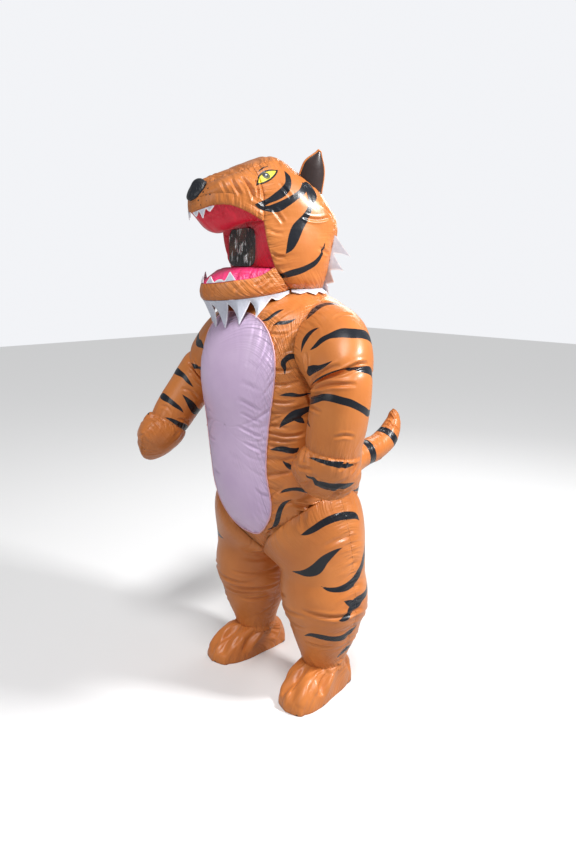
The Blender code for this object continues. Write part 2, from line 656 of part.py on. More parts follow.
def lens(first, second, rows, lift, core, power=1.0):
    """A panel between two lines that meet at both ends."""
    t = np.linspace(0.0, 1.0, rows + 1)
    grid = first[None] * (1 - t[:, None, None]) + second[None] * t[:, None, None]
    u = np.sin(PI * np.linspace(0.0, 1.0, len(first)))[None, :]
    swell = lift * (np.sin(PI * t)[:, None] * u) ** power
    flat = grid.copy()
    return grid + faced(flat, core, False) * swell[..., None]


def head_pieces():
    """The whole head: cheeks, muzzles, crown, back, nose, throat, palate, mouth floor and jaw."""
    seams = head_seams()
    left, right = seams["left"], seams["right"]
    core = head((0.0, 0.05, 1.66))[0]
    found = side_of_head(seams, "left") + side_of_head(seams, "right")
    bridge = curve([left["gusset_front"][0], *head(NOSE_BRIDGE), right["gusset_front"][0]], CROWN_SPANS)
    nape = curve([left["gusset_back"][-1], *head((0.07, -0.142, 1.733), CROWN_BACK, (-0.07, -0.142, 1.733)),
                  right["gusset_back"][-1]], CROWN_SPANS)
    crown = coons(nape, bridge, chain(left["gusset_front"], left["gusset_back"])[::-1],
                  chain(right["gusset_front"], right["gusset_back"])[::-1])
    found.append(Piece("crown", puffed(crown, core, 0.005), core, False, CLOTH))
    angles = neck_angles()[2]
    ring = body(np.concatenate([angles, 2 * PI - angles[-2::-1]]), NECK_Z)
    back = coons(ring, nape, left["cheek_back"][::-1], right["cheek_back"][::-1])
    found.append(Piece("head_back", puffed(back, core, 0.034), core, False, CLOTH))
    edge = np.concatenate([left["nose_edge"], bridge[1:], right["nose_edge"][::-1][1:-1]])
    shares = np.array([0.0, 0.35, 0.72, 1.0])
    middle = edge.mean(0)
    pad = edge[None] * (1 - shares[:, None, None]) + middle * shares[:, None, None]
    forward = head((0.0, 1.0, 0.0))[0]
    pad = pad + forward * (0.014 * np.sqrt(np.clip(1 - (1 - shares) ** 2, 0, 1)))[:, None, None]
    found.append(Piece("nose", pad, head((0.0, 0.3, 1.78))[0], True, Finish(BLACK, 0.35, 0.0)))
    top, low, throat = throat_pieces(seams)
    found += throat
    above = head((0.0, 0.28, 1.80))[0]
    lip = both(seams, "upper_lip")
    roof = lens(top, lip, 4, 0.050, above, 2.0)
    found.append(Piece("palate", roof, above, False, Finish(RED, 0.45, 0.0)))
    below = head((0.0, 0.26, 1.42))[0]
    gum = both(seams, "lower_lip")
    floor = lens(low, gum, 4, 0.014, below)
    found.append(Piece("mouth_floor", floor, below, False, Finish(PINK, 0.45, 0.0)))
    bottom = both(seams, "jaw_bottom")
    jaw = head((0.0, 0.2, 1.44))[0]
    band = coons(bottom, gum, left["jaw_end"][::-1], right["jaw_end"][::-1])
    found.append(Piece("jaw_band", puffed(band, jaw, 0.010), jaw, False, CLOTH))
    front = neck_angles()[0]
    arc = body(np.concatenate([front[::-1], -front[1:]]), NECK_Z)
    found.append(Piece("jaw_under", lens(arc, bottom, 4, 0.004, jaw), jaw, False, CLOTH))
    return found, seams


def finer(line, times):
    """The same bent line with each of its straight spans cut into equal parts."""
    place = np.linspace(0.0, len(line) - 1.0, (len(line) - 1) * times + 1)
    return np.stack([np.interp(place, np.arange(len(line)), line[:, k]) for k in range(3)], -1)


def zigzag(spans, points, short, tall, power=1.4):
    """Lengths along a strip that rise to points and fall between them, spans to each point."""
    place = np.arange(spans * points + 1) / spans
    peak = 1 - np.abs(2 * (place - np.floor(place)) - 1)
    return short + (np.interp(place, np.arange(len(tall)) + 0.5, tall) - short) * peak**power


RUFF_POINTS = (0.018, 0.066, 0.085, 0.095, 0.100, 0.100, 0.095, 0.085, 0.066, 0.018)
RUFF_CLEAR = 0.006
RUFF_GAP = 0.0008


def ruff_pieces(seams):
    """The white ruff: flame points under the jaw, and behind each cheek."""
    finish = Finish(WHITE, 0.8, 0.0)
    down = np.array([0.0, 0.0, -1.0])
    found = []
    for word, sign in (("left", 1), ("right", -1)):
        base = finer(seams[word]["cheek_back"][3:-1], 3)
        away = head((sign * 0.62, -0.78, 0.0))[0]
        reach = zigzag(6, 3, 0.010, (0.066, 0.050, 0.030))
        base = base + away * RUFF_GAP
        tip = base + away * reach[:, None] + down * (reach * 0.75)[:, None]
        grid = np.stack([base, (base + tip) / 2, tip])
        side = unit(np.cross(np.gradient(base, axis=0), away))
        found.append((f"ruff_{word}", grid, side * WALL, finish))
    line = finer(both(seams, "jaw_bottom")[1:-1], 5)
    reach = zigzag(len(line) // len(RUFF_POINTS), len(RUFF_POINTS), 0.010, RUFF_POINTS)
    flat = np.array([1.0, 1.0, 0.0])
    radial = unit(line * flat)
    start = line + down * RUFF_GAP
    angle = np.arctan2(line[:, 0], -line[:, 1])
    low = start + down * reach[:, None]
    target = body(angle, np.clip(low[:, 2], 1.25, NECK_Z)) + radial * RUFF_CLEAR
    pull = np.clip(reach / 0.1, 0.0, 1.0)[:, None]
    tip = low + (target - low) * flat * pull
    grid = np.stack([start, (start + tip) / 2, tip])
    _, _, centre, _ = read(BODY, grid[..., 2])
    axis = np.stack([np.zeros_like(centre), centre, grid[..., 2]], -1)
    spoke = grid - axis
    angle = np.arctan2(spoke[..., 0], -spoke[..., 1])
    limit = np.linalg.norm(body(angle, grid[..., 2]) - axis, axis=-1) + RUFF_CLEAR
    size = np.linalg.norm(spoke, axis=-1)
    grid[1:] = (axis + spoke * np.maximum(1.0, limit / size)[..., None])[1:]
    found.append(("ruff_front", grid, radial * WALL, finish))
    return found


def tooth_pieces(seams):
    """Felt teeth along the lips, three to a side above and below."""
    finish = Finish(WHITE, 0.8, 0.0)
    found = []
    middle = head((0.0, 0.22, 1.6))[0]
    for word in ("left", "right"):
        for place, name, way in (("upper", "upper_lip", -1.0), ("lower", "lower_lip", 1.0)):
            seam = seams[word][name]
            line = finer(seam[2:-1], 6) if place == "upper" else finer(seam[1:-1], 6)
            tall = (0.010, 0.042, 0.018) if place == "upper" else (0.012, 0.040, 0.016)
            reach = zigzag(6, 3, 0.0025, tall, 1.0)
            inward = unit((middle - line) * np.array([1.0, 1.0, 0.0]))
            up = np.array([0.0, 0.0, way])
            base = line + up * 0.0014 + inward * 0.0004
            tip = base + up * reach[:, None] + inward * (reach * 0.12)[:, None]
            grid = np.stack([base, (base + tip) / 2, tip])
            found.append((f"teeth_{place}_{word}", grid, -inward * 0.0024, finish))
    return found


EAR_WALL = 0.0015
EAR_LIFT = 0.0016
EAR_TIP = 0.006
EAR_SHARE = 0.30  # how far the ear's foot spreads over the panels beside its seam


def ear_pieces(seams, found):
    """The ears: an orange back and a dark front, open below, standing over the crown's seam."""
    grids = {piece.name: piece.grid for piece in found}
    ears = []
    for word, sign, beside in (("left", 1, 1), ("right", -1, -2)):
        lift = head((sign * 0.55, 0.0, 0.84))[0] * EAR_LIFT
        seam = finer(seams[word]["gusset_back"], 2)[7:12]
        cheek = finer(grids[f"cheek_{word}"][-2], 2)[7:12]
        crown = finer(grids["crown"][NECK_SIDE::-1, beside], 2)[7:12]
        tip = head((sign * 0.168, -0.030, 1.932))[0]
        fore = curve([seam[0] + lift, (seam[0] + tip) / 2 + head((0.0, 0.020, 0.004))[0], tip], 6)
        rear = curve([seam[-1] + lift, (seam[-1] + tip) / 2 + head((0.0, -0.016, 0.012))[0], tip], 6)
        blunt = unit(seam[-1] - seam[0]) * EAR_TIP
        fore[-1] -= blunt
        rear[-1] += blunt
        top = np.linspace(fore[-1], rear[-1], len(seam))
        bow = np.sin(PI * np.linspace(0.0, 1.0, len(seam)))[:, None] ** 0.7
        side = unit(np.cross(seam[0] - seam[-1], tip - seam[2]))
        side = side * np.sign(side[0] * sign)
        ramp = np.sin(PI * np.linspace(0.0, 1.0, 7))[:, None, None] ** 0.8
        for name, foot, way, finish in (
            ("ear_front", cheek, 1, Finish(DARK, 0.8, 0.0)),
            ("ear_back", crown, -1, CLOTH),
        ):
            base = seam + (foot - seam) * bow * EAR_SHARE + lift
            grid = coons(base, top, fore, rear)
            grid = grid + side * way * (SEAM / 2 + 0.010 * bow[None] * ramp)
            ears.append((f"{name}_{word}", grid, side[None] * way * EAR_WALL, finish))
    return ears


def made(name, vertices, faces, finish):
    """A mesh object of its own material from points and faces, with doubled points merged."""
    mesh = bpy.data.meshes.new(name)
    mesh.from_pydata([tuple(v - CENTRE) for v in vertices], [], [tuple(f) for f in faces])
    work = bmesh.new()
    work.from_mesh(mesh)
    bmesh.ops.remove_doubles(work, verts=work.verts, dist=1e-6)
    bmesh.ops.dissolve_degenerate(work, edges=work.edges, dist=1e-7)
    if work.calc_volume(signed=True) < 0:
        bmesh.ops.reverse_faces(work, faces=work.faces)
    work.to_mesh(mesh)
    work.free()
    thing = bpy.data.objects.new(name, mesh)
    bpy.context.scene.collection.objects.link(thing)
    material = bpy.data.materials.new(name)
    material.use_nodes = True
    shader = material.node_tree.nodes["Principled BSDF"]
    shader.inputs["Base Color"].default_value = (*finish.colour, 1.0)
    shader.inputs["Roughness"].default_value = finish.roughness
    shader.inputs["Metallic"].default_value = finish.metallic
    mesh.materials.append(material)
    mesh.shade_smooth()
    mesh.set_sharp_from_angle(angle=math.radians(50))
    return thing


RIM_ORDER = np.array([1.0, 1.618, 2.414])  # any direction that no seam crosses squarely


def wall_object(name, outer, inner, wrap, finish):
    """A closed wall between two matching grids, with a rim along every open edge."""
    rows, columns = outer.shape[:2]
    count = rows * columns
    faces = []
    last = columns if wrap else columns - 1
    for i in range(rows - 1):
        for j in range(last):
            k = (j + 1) % columns
            a, b, c, d = i * columns + j, i * columns + k, (i + 1) * columns + k, (i + 1) * columns + j
            flat = outer.reshape(-1, 3)
            if np.linalg.norm(flat[a] - flat[c]) <= np.linalg.norm(flat[b] - flat[d]):
                split = ((a, b, c), (a, c, d))
            else:
                split = ((a, b, d), (b, c, d))
            for face in split:
                faces.append(face)
                faces.append(tuple(count + v for v in reversed(face)))
    edges = []
    for j in range(last):
        k = (j + 1) % columns
        edges.append((k, j))
        edges.append(((rows - 1) * columns + j, (rows - 1) * columns + k))
    if not wrap:
        for i in range(rows - 1):
            edges.append((i * columns, (i + 1) * columns))
            edges.append(((i + 2) * columns - 1, (i + 1) * columns - 1))
    flat = outer.reshape(-1, 3)
    place = flat @ RIM_ORDER
    for a, b in edges:
        if np.linalg.norm(flat[a] - flat[b]) > 1e-6:
            if place[a] < place[b]:  # the same diagonal on both rims of a seam
                faces += [(a, b, count + b), (a, count + b, count + a)]
            else:
                faces += [(a, b, count + a), (b, count + b, count + a)]
    vertices = np.concatenate([outer.reshape(-1, 3), inner.reshape(-1, 3)])
    return made(name, vertices, faces, finish)


def rims(piece):
    """The (row, column) places on a grid's open edges."""
    rows, columns = piece.grid.shape[:2]
    places = [(i, j) for i in (0, rows - 1) for j in range(columns)]
    if not piece.wrap:
        places += [(i, j) for j in (0, columns - 1) for i in range(1, rows - 1)]
    return places


def between(sides):
    """The direction that leans least from every one of some directions."""
    way = unit(np.sum(sides, axis=0))
    for step in range(2, 80):
        way = unit(way + sides[np.argmin(sides @ way)] / step)
    return way


def sew(pieces):
    """Mitres the panels' walls where they share points: one offset direction for each point."""
    offsets = []
    facings = [faced(piece.grid, piece.core, piece.wrap) for piece in pieces]
    spots = [(n, place) for n, piece in enumerate(pieces) for place in rims(piece)]
    tree = kdtree.KDTree(len(spots))
    for number, (n, place) in enumerate(spots):
        tree.insert(Vector(pieces[n].grid[place]), number)
    tree.balance()
    for n, piece in enumerate(pieces):
        mitre = facings[n].copy()
        lean = np.ones(piece.grid.shape[:2])
        for place in rims(piece):
            meeting = {}
            for _, number, _ in tree.find_range(Vector(piece.grid[place]), 2e-5):
                other, spot = spots[number]
                meeting.setdefault(other, []).append(facings[other][spot])
            sides = np.array([unit(np.sum(found, axis=0)) for found in meeting.values()])
            mitre[place] = between(sides)
            lean[place] = np.clip(np.min(sides @ mitre[place]), 0.35, 1.0)
        thickness = WALL / np.maximum(lean, 0.5)
        offsets.append((mitre * thickness[..., None], lean))
    return offsets


def cornered(edge, inner):
    """The line beside an edge, with its ends taken from the corners' diagonals unless they are poles."""
    beside = inner.copy()
    for end, diagonal in ((0, 1), (-1, -2)):
        beyond = (inner[end] - edge[end], edge[diagonal] - edge[end])
        if min(np.linalg.norm(beyond, axis=-1)) > 1e-6:
            beside[end] = inner[diagonal]
    return beside


def parted(piece, offset, lean):
    """The panel's outer and inner points, drawn back from each edge by half a seam's gap."""
    grid = piece.grid
    outer = grid.copy()
    rows, columns = grid.shape[:2]
    gap = SEAM / 2

    def back(edge, beside, run, share):
        if np.linalg.norm(edge - edge[0], axis=-1).max() < 1e-6:
            pull = (beside.mean(0) - edge[0])[None] * np.ones((len(edge), 1))
        else:
            along = unit(run)
            pull = beside - edge
            pull = pull - along * np.sum(pull * along, -1, keepdims=True)
        return unit(pull) * (gap / share)[:, None]

    for row, inner in ((0, 1), (rows - 1, rows - 2)):
        beside = grid[inner].copy() if piece.wrap else cornered(grid[row], grid[inner])
        if piece.wrap:
            around = np.concatenate([grid[row, -1:], grid[row], grid[row, :1]])
            run = around[2:] - around[:-2]
            if np.linalg.norm(grid[row] - grid[row, 0], axis=-1).max() < 1e-6:
                continue
        else:
            run = np.gradient(grid[row], axis=0)
        outer[row] += back(grid[row], beside, run, lean[row])
    if not piece.wrap:
        for column, inner in ((0, 1), (columns - 1, columns - 2)):
            beside = cornered(grid[:, column], grid[:, inner])
            run = np.gradient(grid[:, column], axis=0)
            outer[:, column] += back(grid[:, column], beside, run, lean[:, column])
    return outer, outer - offset


FAN_ANGLE = math.radians(-140)
FAN_Z = 0.850
FAN_SPANS = 24
HOUSING_COLUMNS = ("radius", "out")
HOUSING = ((0.050, -0.038), (0.053, -0.038), (0.053, -0.012), (0.060, -0.012), (0.060, 0.005),
           (0.057, 0.008), (0.050, 0.008))
MOTOR = ((0.0, -0.036), (0.017, -0.036), (0.017, -0.020), (0.0, -0.020))
ROTOR_HUB = ((0.0, -0.0197), (0.016, -0.0197), (0.016, -0.0077), (0.013, -0.0057), (0.0, -0.0057))
ROTOR_MIDDLE = -0.0127
STRUT = ((0.012, -0.003, -0.034), (0.0515, 0.003, -0.029))
BLADE = ((0.010, -0.011, -0.0008), (0.045, 0.011, 0.0008))
BLADES = 5
BLADE_PITCH = math.radians(28)
GRILLE_RADII = (0.0, 0.014, 0.024, 0.027, 0.037, 0.040, 0.0492)
GRILLE_HOLES = (1, 3)  # the rows of the grille that are open between its spokes
GRILLE_SECTORS = 6
GRILLE_OUT = (0.003, 0.0055)
PLASTIC = Finish(BLACK, 0.5, 0.0)


def placed(local, centre, axes):
    """Points given along three axes from a centre."""
    return centre + np.asarray(local, float) @ axes


def turned(name, profile, frame, finish, ring=False):
    """A body turned from a profile of (radius, out), closed on itself for a ring."""
    turn = np.arange(FAN_SPANS) * 2 * PI / FAN_SPANS
    radius, out = np.array(profile).T
    local = [radius[:, None] * np.cos(turn), radius[:, None] * np.sin(turn), out[:, None] + 0 * turn]
    grid = placed(np.stack(local, -1), *frame)
    rows = len(profile)
    faces = []
    for i in range(rows if ring else rows - 1):
        for j in range(FAN_SPANS):
            k, above = (j + 1) % FAN_SPANS, (i + 1) % rows * FAN_SPANS
            faces.append((i * FAN_SPANS + j, i * FAN_SPANS + k, above + k, above + j))
    return made(name, grid.reshape(-1, 3), faces, finish)


def block(name, low, high, frame, finish):
    """A box between two corners, along a frame's axes."""
    corners = [(x, y, z) for x in (low[0], high[0]) for y in (low[1], high[1]) for z in (low[2], high[2])]
    faces = [(0, 1, 3, 2), (4, 6, 7, 5), (0, 4, 5, 1), (2, 3, 7, 6), (0, 2, 6, 4), (1, 5, 7, 3)]
    return made(name, placed(corners, *frame), faces, finish)


def fused(thing, others, operation="UNION"):
    """Joins hidden bodies to a thing, or cuts them out of it."""
    for other in others:
        other.hide_render = True
        other.display_type = "WIRE"
        step = thing.modifiers.new(other.name, "BOOLEAN")
        step.operation = operation
        step.solver = "EXACT"
        step.object = other


def turned_axes(axes, angle):
    """A frame's axes after a turn about its last one."""
    turn = np.array([[math.cos(angle), math.sin(angle), 0.0], [-math.sin(angle), math.cos(angle), 0.0],
                     [0.0, 0.0, 1.0]])
    return turn @ axes


def grille(frame):
    """A round plate with rings of openings between its spokes."""
    starts = np.arange(GRILLE_SECTORS) * 2 * PI / GRILLE_SECTORS
    turn = np.sort(np.concatenate([starts, starts + math.radians(5), starts + math.radians(32)]))
    columns, rows = len(turn), len(GRILLE_RADII)
    radius = np.array(GRILLE_RADII)[:, None]
    flat = np.stack([radius * np.cos(turn), radius * np.sin(turn)], -1)
    layers = [np.concatenate([flat, np.full((rows, columns, 1), out)], -1) for out in GRILLE_OUT]
    count = rows * columns

    def solid(i, j):
        return 0 <= i < rows - 1 and not (i in GRILLE_HOLES and j % columns % 3 != 0)

    faces = []
    for i in range(rows - 1):
        for j in range(columns):
            if not solid(i, j):
                continue
            k = (j + 1) % columns
            a, b, c, d = i * columns + j, i * columns + k, (i + 1) * columns + k, (i + 1) * columns + j
            faces += [(d, c, b, a), (count + a, count + b, count + c, count + d)]
            sides = ((a, b, (i - 1, j)), (b, c, (i, j + 1)), (c, d, (i + 1, j)), (d, a, (i, j - 1)))
            for here, near, way in sides:
                if not solid(*way) and not (i == 0 and here == a):
                    faces.append((here, near, count + near, count + here))
    points = placed(np.concatenate([layer.reshape(-1, 3) for layer in layers]), *frame)
    return made("fan_grille", points, faces, PLASTIC)


def fan_frame():
    """The fan's middle on the cloth, and its axes: across, up and out."""
    middle = body(FAN_ANGLE, FAN_Z)
    across = unit(body(FAN_ANGLE + 0.02, FAN_Z) - body(FAN_ANGLE - 0.02, FAN_Z))
    up = np.array([0.0, 0.0, 1.0])
    return middle, np.array([across, up, np.cross(across, up)])


def fan():
    """The fan that keeps the costume blown up, set in a round hole of the back's right panel."""
    middle, axes = fan_frame()
    frame = (middle, axes)
    cut = turned("fan_cut", ((0.0, -0.03), (0.0603, -0.03), (0.0603, 0.03), (0.0, 0.03)), frame, PLASTIC)
    fused(bpy.data.objects["torso_back_right"], [cut], "DIFFERENCE")
    housing = turned("fan_housing", HOUSING, frame, PLASTIC, ring=True)
    extras = [turned("fan_motor", MOTOR, frame, PLASTIC)]
    for number in range(3):
        spoke = (middle, turned_axes(axes, math.radians(30) + number * 2 * PI / 3))
        extras.append(block(f"fan_strut_{number}", *STRUT, spoke, PLASTIC))
    fused(housing, extras)
    rotor = turned("fan_rotor", ROTOR_HUB, frame, PLASTIC)
    blades = []
    for number in range(BLADES):
        side, up, out = turned_axes(axes, number * 2 * PI / BLADES)
        tilted = [side, math.cos(BLADE_PITCH) * up + math.sin(BLADE_PITCH) * out,
                  math.cos(BLADE_PITCH) * out - math.sin(BLADE_PITCH) * up]
        root = (middle + out * ROTOR_MIDDLE, np.array(tilted))
        blades.append(block(f"fan_blade_{number}", *BLADE, root, PLASTIC))
    fused(rotor, blades)
    grille(frame)


SLIDER_Z = 1.335
PIN_OUT = 0.0034  # from the zip tapes' surface to the pull's bar
SLIDER_PLATE = ((-0.0055, -0.007, 0.0), (0.0055, 0.007, 0.0016))
SLIDER_BRIDGE = ((-0.0013, -0.0045, 0.0010), (0.0013, 0.0045, 0.0060))
SLIDER_SLOT = ((-0.0030, -0.0016, 0.0019), (0.0030, 0.0016, 0.0048))
PULL = ((-0.0040, -0.0250, PIN_OUT - 0.0007), (0.0040, 0.0007, PIN_OUT + 0.0007))
PULL_HOLE = ((-0.0021, -0.0062, 0.0020), (0.0021, -0.0007, 0.0050))


def slider_frame():
    """The slider's middle on the zip, and its axes: across, up the zip and out."""
    rows = SIDE_SPANS + ARM_SPANS + SHOULDER_SPANS + 1
    heights = np.linspace(CROTCH_Z, NECK_Z, rows)
    above = np.searchsorted(heights, SLIDER_Z)
    low, high = body(PI, heights[above - 1]), body(PI, heights[above])
    middle = low + (high - low) * (SLIDER_Z - low[2]) / (high[2] - low[2])
    up = unit(high - low)
    across = np.array([1.0, 0.0, 0.0])
    out = np.cross(up, across)
    return middle + out * 0.0004, np.array([across, up, out])


def zip_ends():
    """The zip's slider, and the pull tab that hangs from the slider's bridge by its bar."""
    frame = slider_frame()
    metal = Finish(STEEL, 0.3, 1.0)
    slider = block("zip_slider", *SLIDER_PLATE, frame, metal)
    bridge = block("slider_bridge", *SLIDER_BRIDGE, frame, metal)
    slot = block("slider_slot", *SLIDER_SLOT, frame, metal)
    fused(bridge, [slot], "DIFFERENCE")
    fused(slider, [bridge])
    pull = block("zip_pull", *PULL, frame, metal)
    hole = block("pull_hole", *PULL_HOLE, frame, metal)
    fused(pull, [hole], "DIFFERENCE")


def remove_everything():
    """Starts from an empty scene."""
    for thing in list(bpy.data.objects):
        bpy.data.objects.remove(thing, do_unlink=True)


def main():
    """Cuts, sews and makes every piece."""
    remove_everything()
    head_found, seams = head_pieces()
    pieces = torso_pieces()
    for side, word in ((1, "left"), (-1, "right")):
        for way, half in ((1, "front"), (-1, "back")):
            pieces.append(leg_piece(side, way, f"leg_{half}_{word}"))
        pieces += foot_pieces(side, word)
        pieces.append(tail_piece(side, f"tail_{word}"))
    pieces += arm_pieces(1, "left", LEFT_SLEEVE, 2) + arm_pieces(-1, "right", RIGHT_SLEEVE, 1)
    pieces += head_found
    for piece, (offset, lean) in zip(pieces, sew(pieces)):
        outer, inner = parted(piece, offset, lean)
        wall_object(piece.name, outer, inner, piece.wrap, piece.finish)
    loose = ear_pieces(seams, head_found) + ruff_pieces(seams) + tooth_pieces(seams)
    for name, grid, thick, finish in loose:
        wall_object(name, grid, grid + thick[None], False, finish)
    fan()
    zip_ends()


main()
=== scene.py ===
"""The looks of an inflatable tiger costume: sewn satin panels, felt trim, a clear window, a zip and a fan.

Metres, +Z up. The costume faces -Y and its left side is +X. Every cloth piece is a panel: a fine grid
of points laid between its seams, swelled by the air inside, puckered along its seams and creased along
given lines. Shapes are worked out about the body's own axis, and MIDDLE takes them to the model's place.
"""

from __future__ import annotations

import logging
import math
from dataclasses import dataclass, field
from enum import Enum
from typing import Callable, Sequence

import bpy
import numpy as np
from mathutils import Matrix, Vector

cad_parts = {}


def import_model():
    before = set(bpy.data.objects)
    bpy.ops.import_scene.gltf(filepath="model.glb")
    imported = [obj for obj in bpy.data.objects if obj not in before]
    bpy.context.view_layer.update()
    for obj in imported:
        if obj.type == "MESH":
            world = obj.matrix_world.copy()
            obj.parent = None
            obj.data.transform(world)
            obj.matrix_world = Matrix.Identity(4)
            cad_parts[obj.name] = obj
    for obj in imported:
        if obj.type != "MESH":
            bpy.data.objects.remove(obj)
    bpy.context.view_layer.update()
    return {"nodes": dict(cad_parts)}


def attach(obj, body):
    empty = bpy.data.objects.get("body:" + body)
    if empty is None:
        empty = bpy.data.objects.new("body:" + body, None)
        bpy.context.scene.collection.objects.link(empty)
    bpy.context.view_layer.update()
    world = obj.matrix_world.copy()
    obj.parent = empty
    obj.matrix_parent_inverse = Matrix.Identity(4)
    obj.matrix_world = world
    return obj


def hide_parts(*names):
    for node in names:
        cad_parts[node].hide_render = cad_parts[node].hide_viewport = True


Array = np.ndarray
Knots = Sequence[Sequence[float]]
LOG = logging.getLogger("tiger_costume")
PI = math.pi
MIDDLE = np.array([-0.03350, 0.12855, 0.0])  # the box's middle, which stands at the origin
DOWN = np.array([0.0, 0.0, -1.0])
LEVEL = np.array([1.0, 1.0, 0.0])  # keeps what is level of a vector
SIDES = (("left", 1), ("right", -1))
EDGES = ("low", "high", "left", "right")
TINY = 1e-12  # keeps a division from nothing
BARE = 1e-10  # a slope's cross product shorter than this says nothing
PRINT_REACH = 0.03  # how far round a stripe its distance is worked out
WELD = 2e-6  # points nearer than this are one
POINT_EDGE = 1e-4  # a panel's edge shorter than this is a point
LEAST_FILL, MOST_FILL = 0.34, 0.98  # the shares of its width times its length that a cut may fill
DISC_HOLE, DISC_RISE = 0.8, 0.45  # a ring is cut as a disc when its hole and its rise are less than these


def through(knots: Array, values: Array, at: Array) -> Array:
    """A smooth curve: a cubic in each span, sloped at its ends as its neighbours lie.

    Args:
        knots: Rising places that the values stand at.
        values: One row of values for each knot.
        at: The places to read the curve at.

    Returns:
        The curve's values, with one more axis than at.
    """
    knots = np.asarray(knots, float)
    values = np.asarray(values, float).reshape(len(knots), -1)
    at = np.clip(np.asarray(at, float), knots[0], knots[-1])
    slope = np.gradient(values, knots, axis=0)
    low = np.clip(np.searchsorted(knots, at, side="right") - 1, 0, len(knots) - 2)
    width = (knots[low + 1] - knots[low])[..., None]
    t = (at - knots[low])[..., None] / width
    start = (1 + 2 * t) * (1 - t) ** 2 * values[low] + t * (1 - t) ** 2 * width * slope[low]
    end = t**2 * (3 - 2 * t) * values[low + 1] - t**2 * (1 - t) * width * slope[low + 1]
    return start + end


def read(table: Knots, at: Array) -> Array:
    """Reads a table's columns after its first at places along that first one.

    Args:
        table: Rows of (place, value, value, ...).
        at: The places to read.

    Returns:
        One array shaped as at for each value column.
    """
    rows = np.array(table, float)
    return np.moveaxis(through(rows[:, 0], rows[:, 1:], at), -1, 0)


def running(path: Array) -> Array:
    """The length run along a line at each of its points."""
    return np.concatenate([[0.0], np.cumsum(np.linalg.norm(np.diff(path, axis=0), axis=1))])


def along_line(place: Array, run: Array, values: Array) -> Array:
    """A line's points or normals, read straight between its knots at places along its running length."""
    return np.stack([np.interp(place, run, values[:, axis]) for axis in range(3)], -1)


def cubic(t: Array, start: Array, leaving: Array, end: Array, arriving: Array) -> Array:
    """One span of such a curve, from start to end, with the slopes it leaves and arrives by given.

    Args:
        t: The share of the way, from zero to one.
        start: Where it starts.
        leaving: Its slope there.
        end: Where it ends.
        arriving: Its slope there.

    Returns:
        Its points.
    """
    first = (1 + 2 * t) * (1 - t) ** 2 * start + t * (1 - t) ** 2 * leaving
    return first + t**2 * (3 - 2 * t) * end - t**2 * (1 - t) * arriving


def grid_area(grid: Array) -> float:
    """A grid's area: half the cross product of each cell's two diagonals, summed."""
    one = np.cross(grid[1:, 1:] - grid[:-1, :-1], grid[1:, :-1] - grid[:-1, 1:])
    return float(np.linalg.norm(one, axis=-1).sum() / 2)


def cut_size(width: float, length: float, area: float) -> tuple[float, float]:
    """A cut's width and length, grown or shrunk alike until its area fills a believable share of them.

    Args:
        width: The widest run across the cloth.
        length: The longest run down it.
        area: The cloth's area.

    Returns:
        The width and the length, in metres.
    """
    fill = area / (width * length)
    grow = math.sqrt(fill / min(max(fill, LEAST_FILL), MOST_FILL))
    return width * grow, length * grow


def curve(points: Knots, spans: int) -> Array:
    """A smooth line through points, cut into spans of nearly even length.

    Args:
        points: The points it passes.
        spans: How many spans it is cut into.

    Returns:
        spans + 1 points.
    """
    points = np.asarray(points, float)
    knots = running(points)
    return through(knots, points, np.linspace(0.0, knots[-1], spans + 1))


def spread(values: Array, times: int) -> Array:
    """Cuts each straight step between rows of values into equal parts.

    Args:
        values: Rows of numbers or points.
        times: Parts for each step.

    Returns:
        The longer array of rows.
    """
    values = np.asarray(values, float)
    place = np.linspace(0.0, len(values) - 1.0, (len(values) - 1) * times + 1)
    low = np.clip(place.astype(int), 0, len(values) - 2)
    share = (place - low).reshape((-1,) + (1,) * (values.ndim - 1))
    return values[low] * (1 - share) + values[low + 1] * share


def mirrored(points: Array) -> Array:
    """The same points on the costume's other side."""
    return np.asarray(points) * np.array([-1.0, 1.0, 1.0])


def unit(vectors: Array) -> Array:
    """The vectors at length one, and zero where they have none."""
    return vectors / np.maximum(np.linalg.norm(vectors, axis=-1, keepdims=True), TINY)


def arch(count: int) -> Array:
    """Half a sine wave at that many even places: from nothing up to one and back."""
    return np.sin(PI * np.linspace(0.0, 1.0, count))


def blend(start: Array, end: Array, shares: Array) -> Array:
    """Rows from a line to another line or a point, one for each share of the way."""
    share = shares[:, None, None]
    return start[None] * (1 - share) + end * share


def spokes(turn: Array, one: Array, other: Array) -> Array:
    """For each pair of ways, the spokes at each turn from the one towards the other."""
    return np.cos(turn)[..., None] * one[..., None, :] + np.sin(turn)[..., None] * other[..., None, :]


def chain(*lines: Array) -> Array:
    """Lines that follow each other, as one, with each shared end once."""
    return np.concatenate([lines[0]] + [line[1:] for line in lines[1:]])


def coons(bottom: Array, top: Array, left: Array, right: Array) -> Array:
    """Fills four edges: the two straight blends between facing edges, less the blend of the corners.

    Args:
        bottom: The first row's points.
        top: The last row's points.
        left: The first column's points.
        right: The last column's points.

    Returns:
        A grid of points, rows from bottom to top and columns from left to right.
    """
    v = np.linspace(0.0, 1.0, len(left))[:, None, None]
    u = np.linspace(0.0, 1.0, len(bottom))[None, :, None]
    across = (1 - v) * bottom[None] + v * top[None]
    along = (1 - u) * left[:, None] + u * right[:, None]
    low = (1 - u) * bottom[0] + u * bottom[-1]
    high = (1 - u) * top[0] + u * top[-1]
    return across + along - (1 - v) * low - v * high


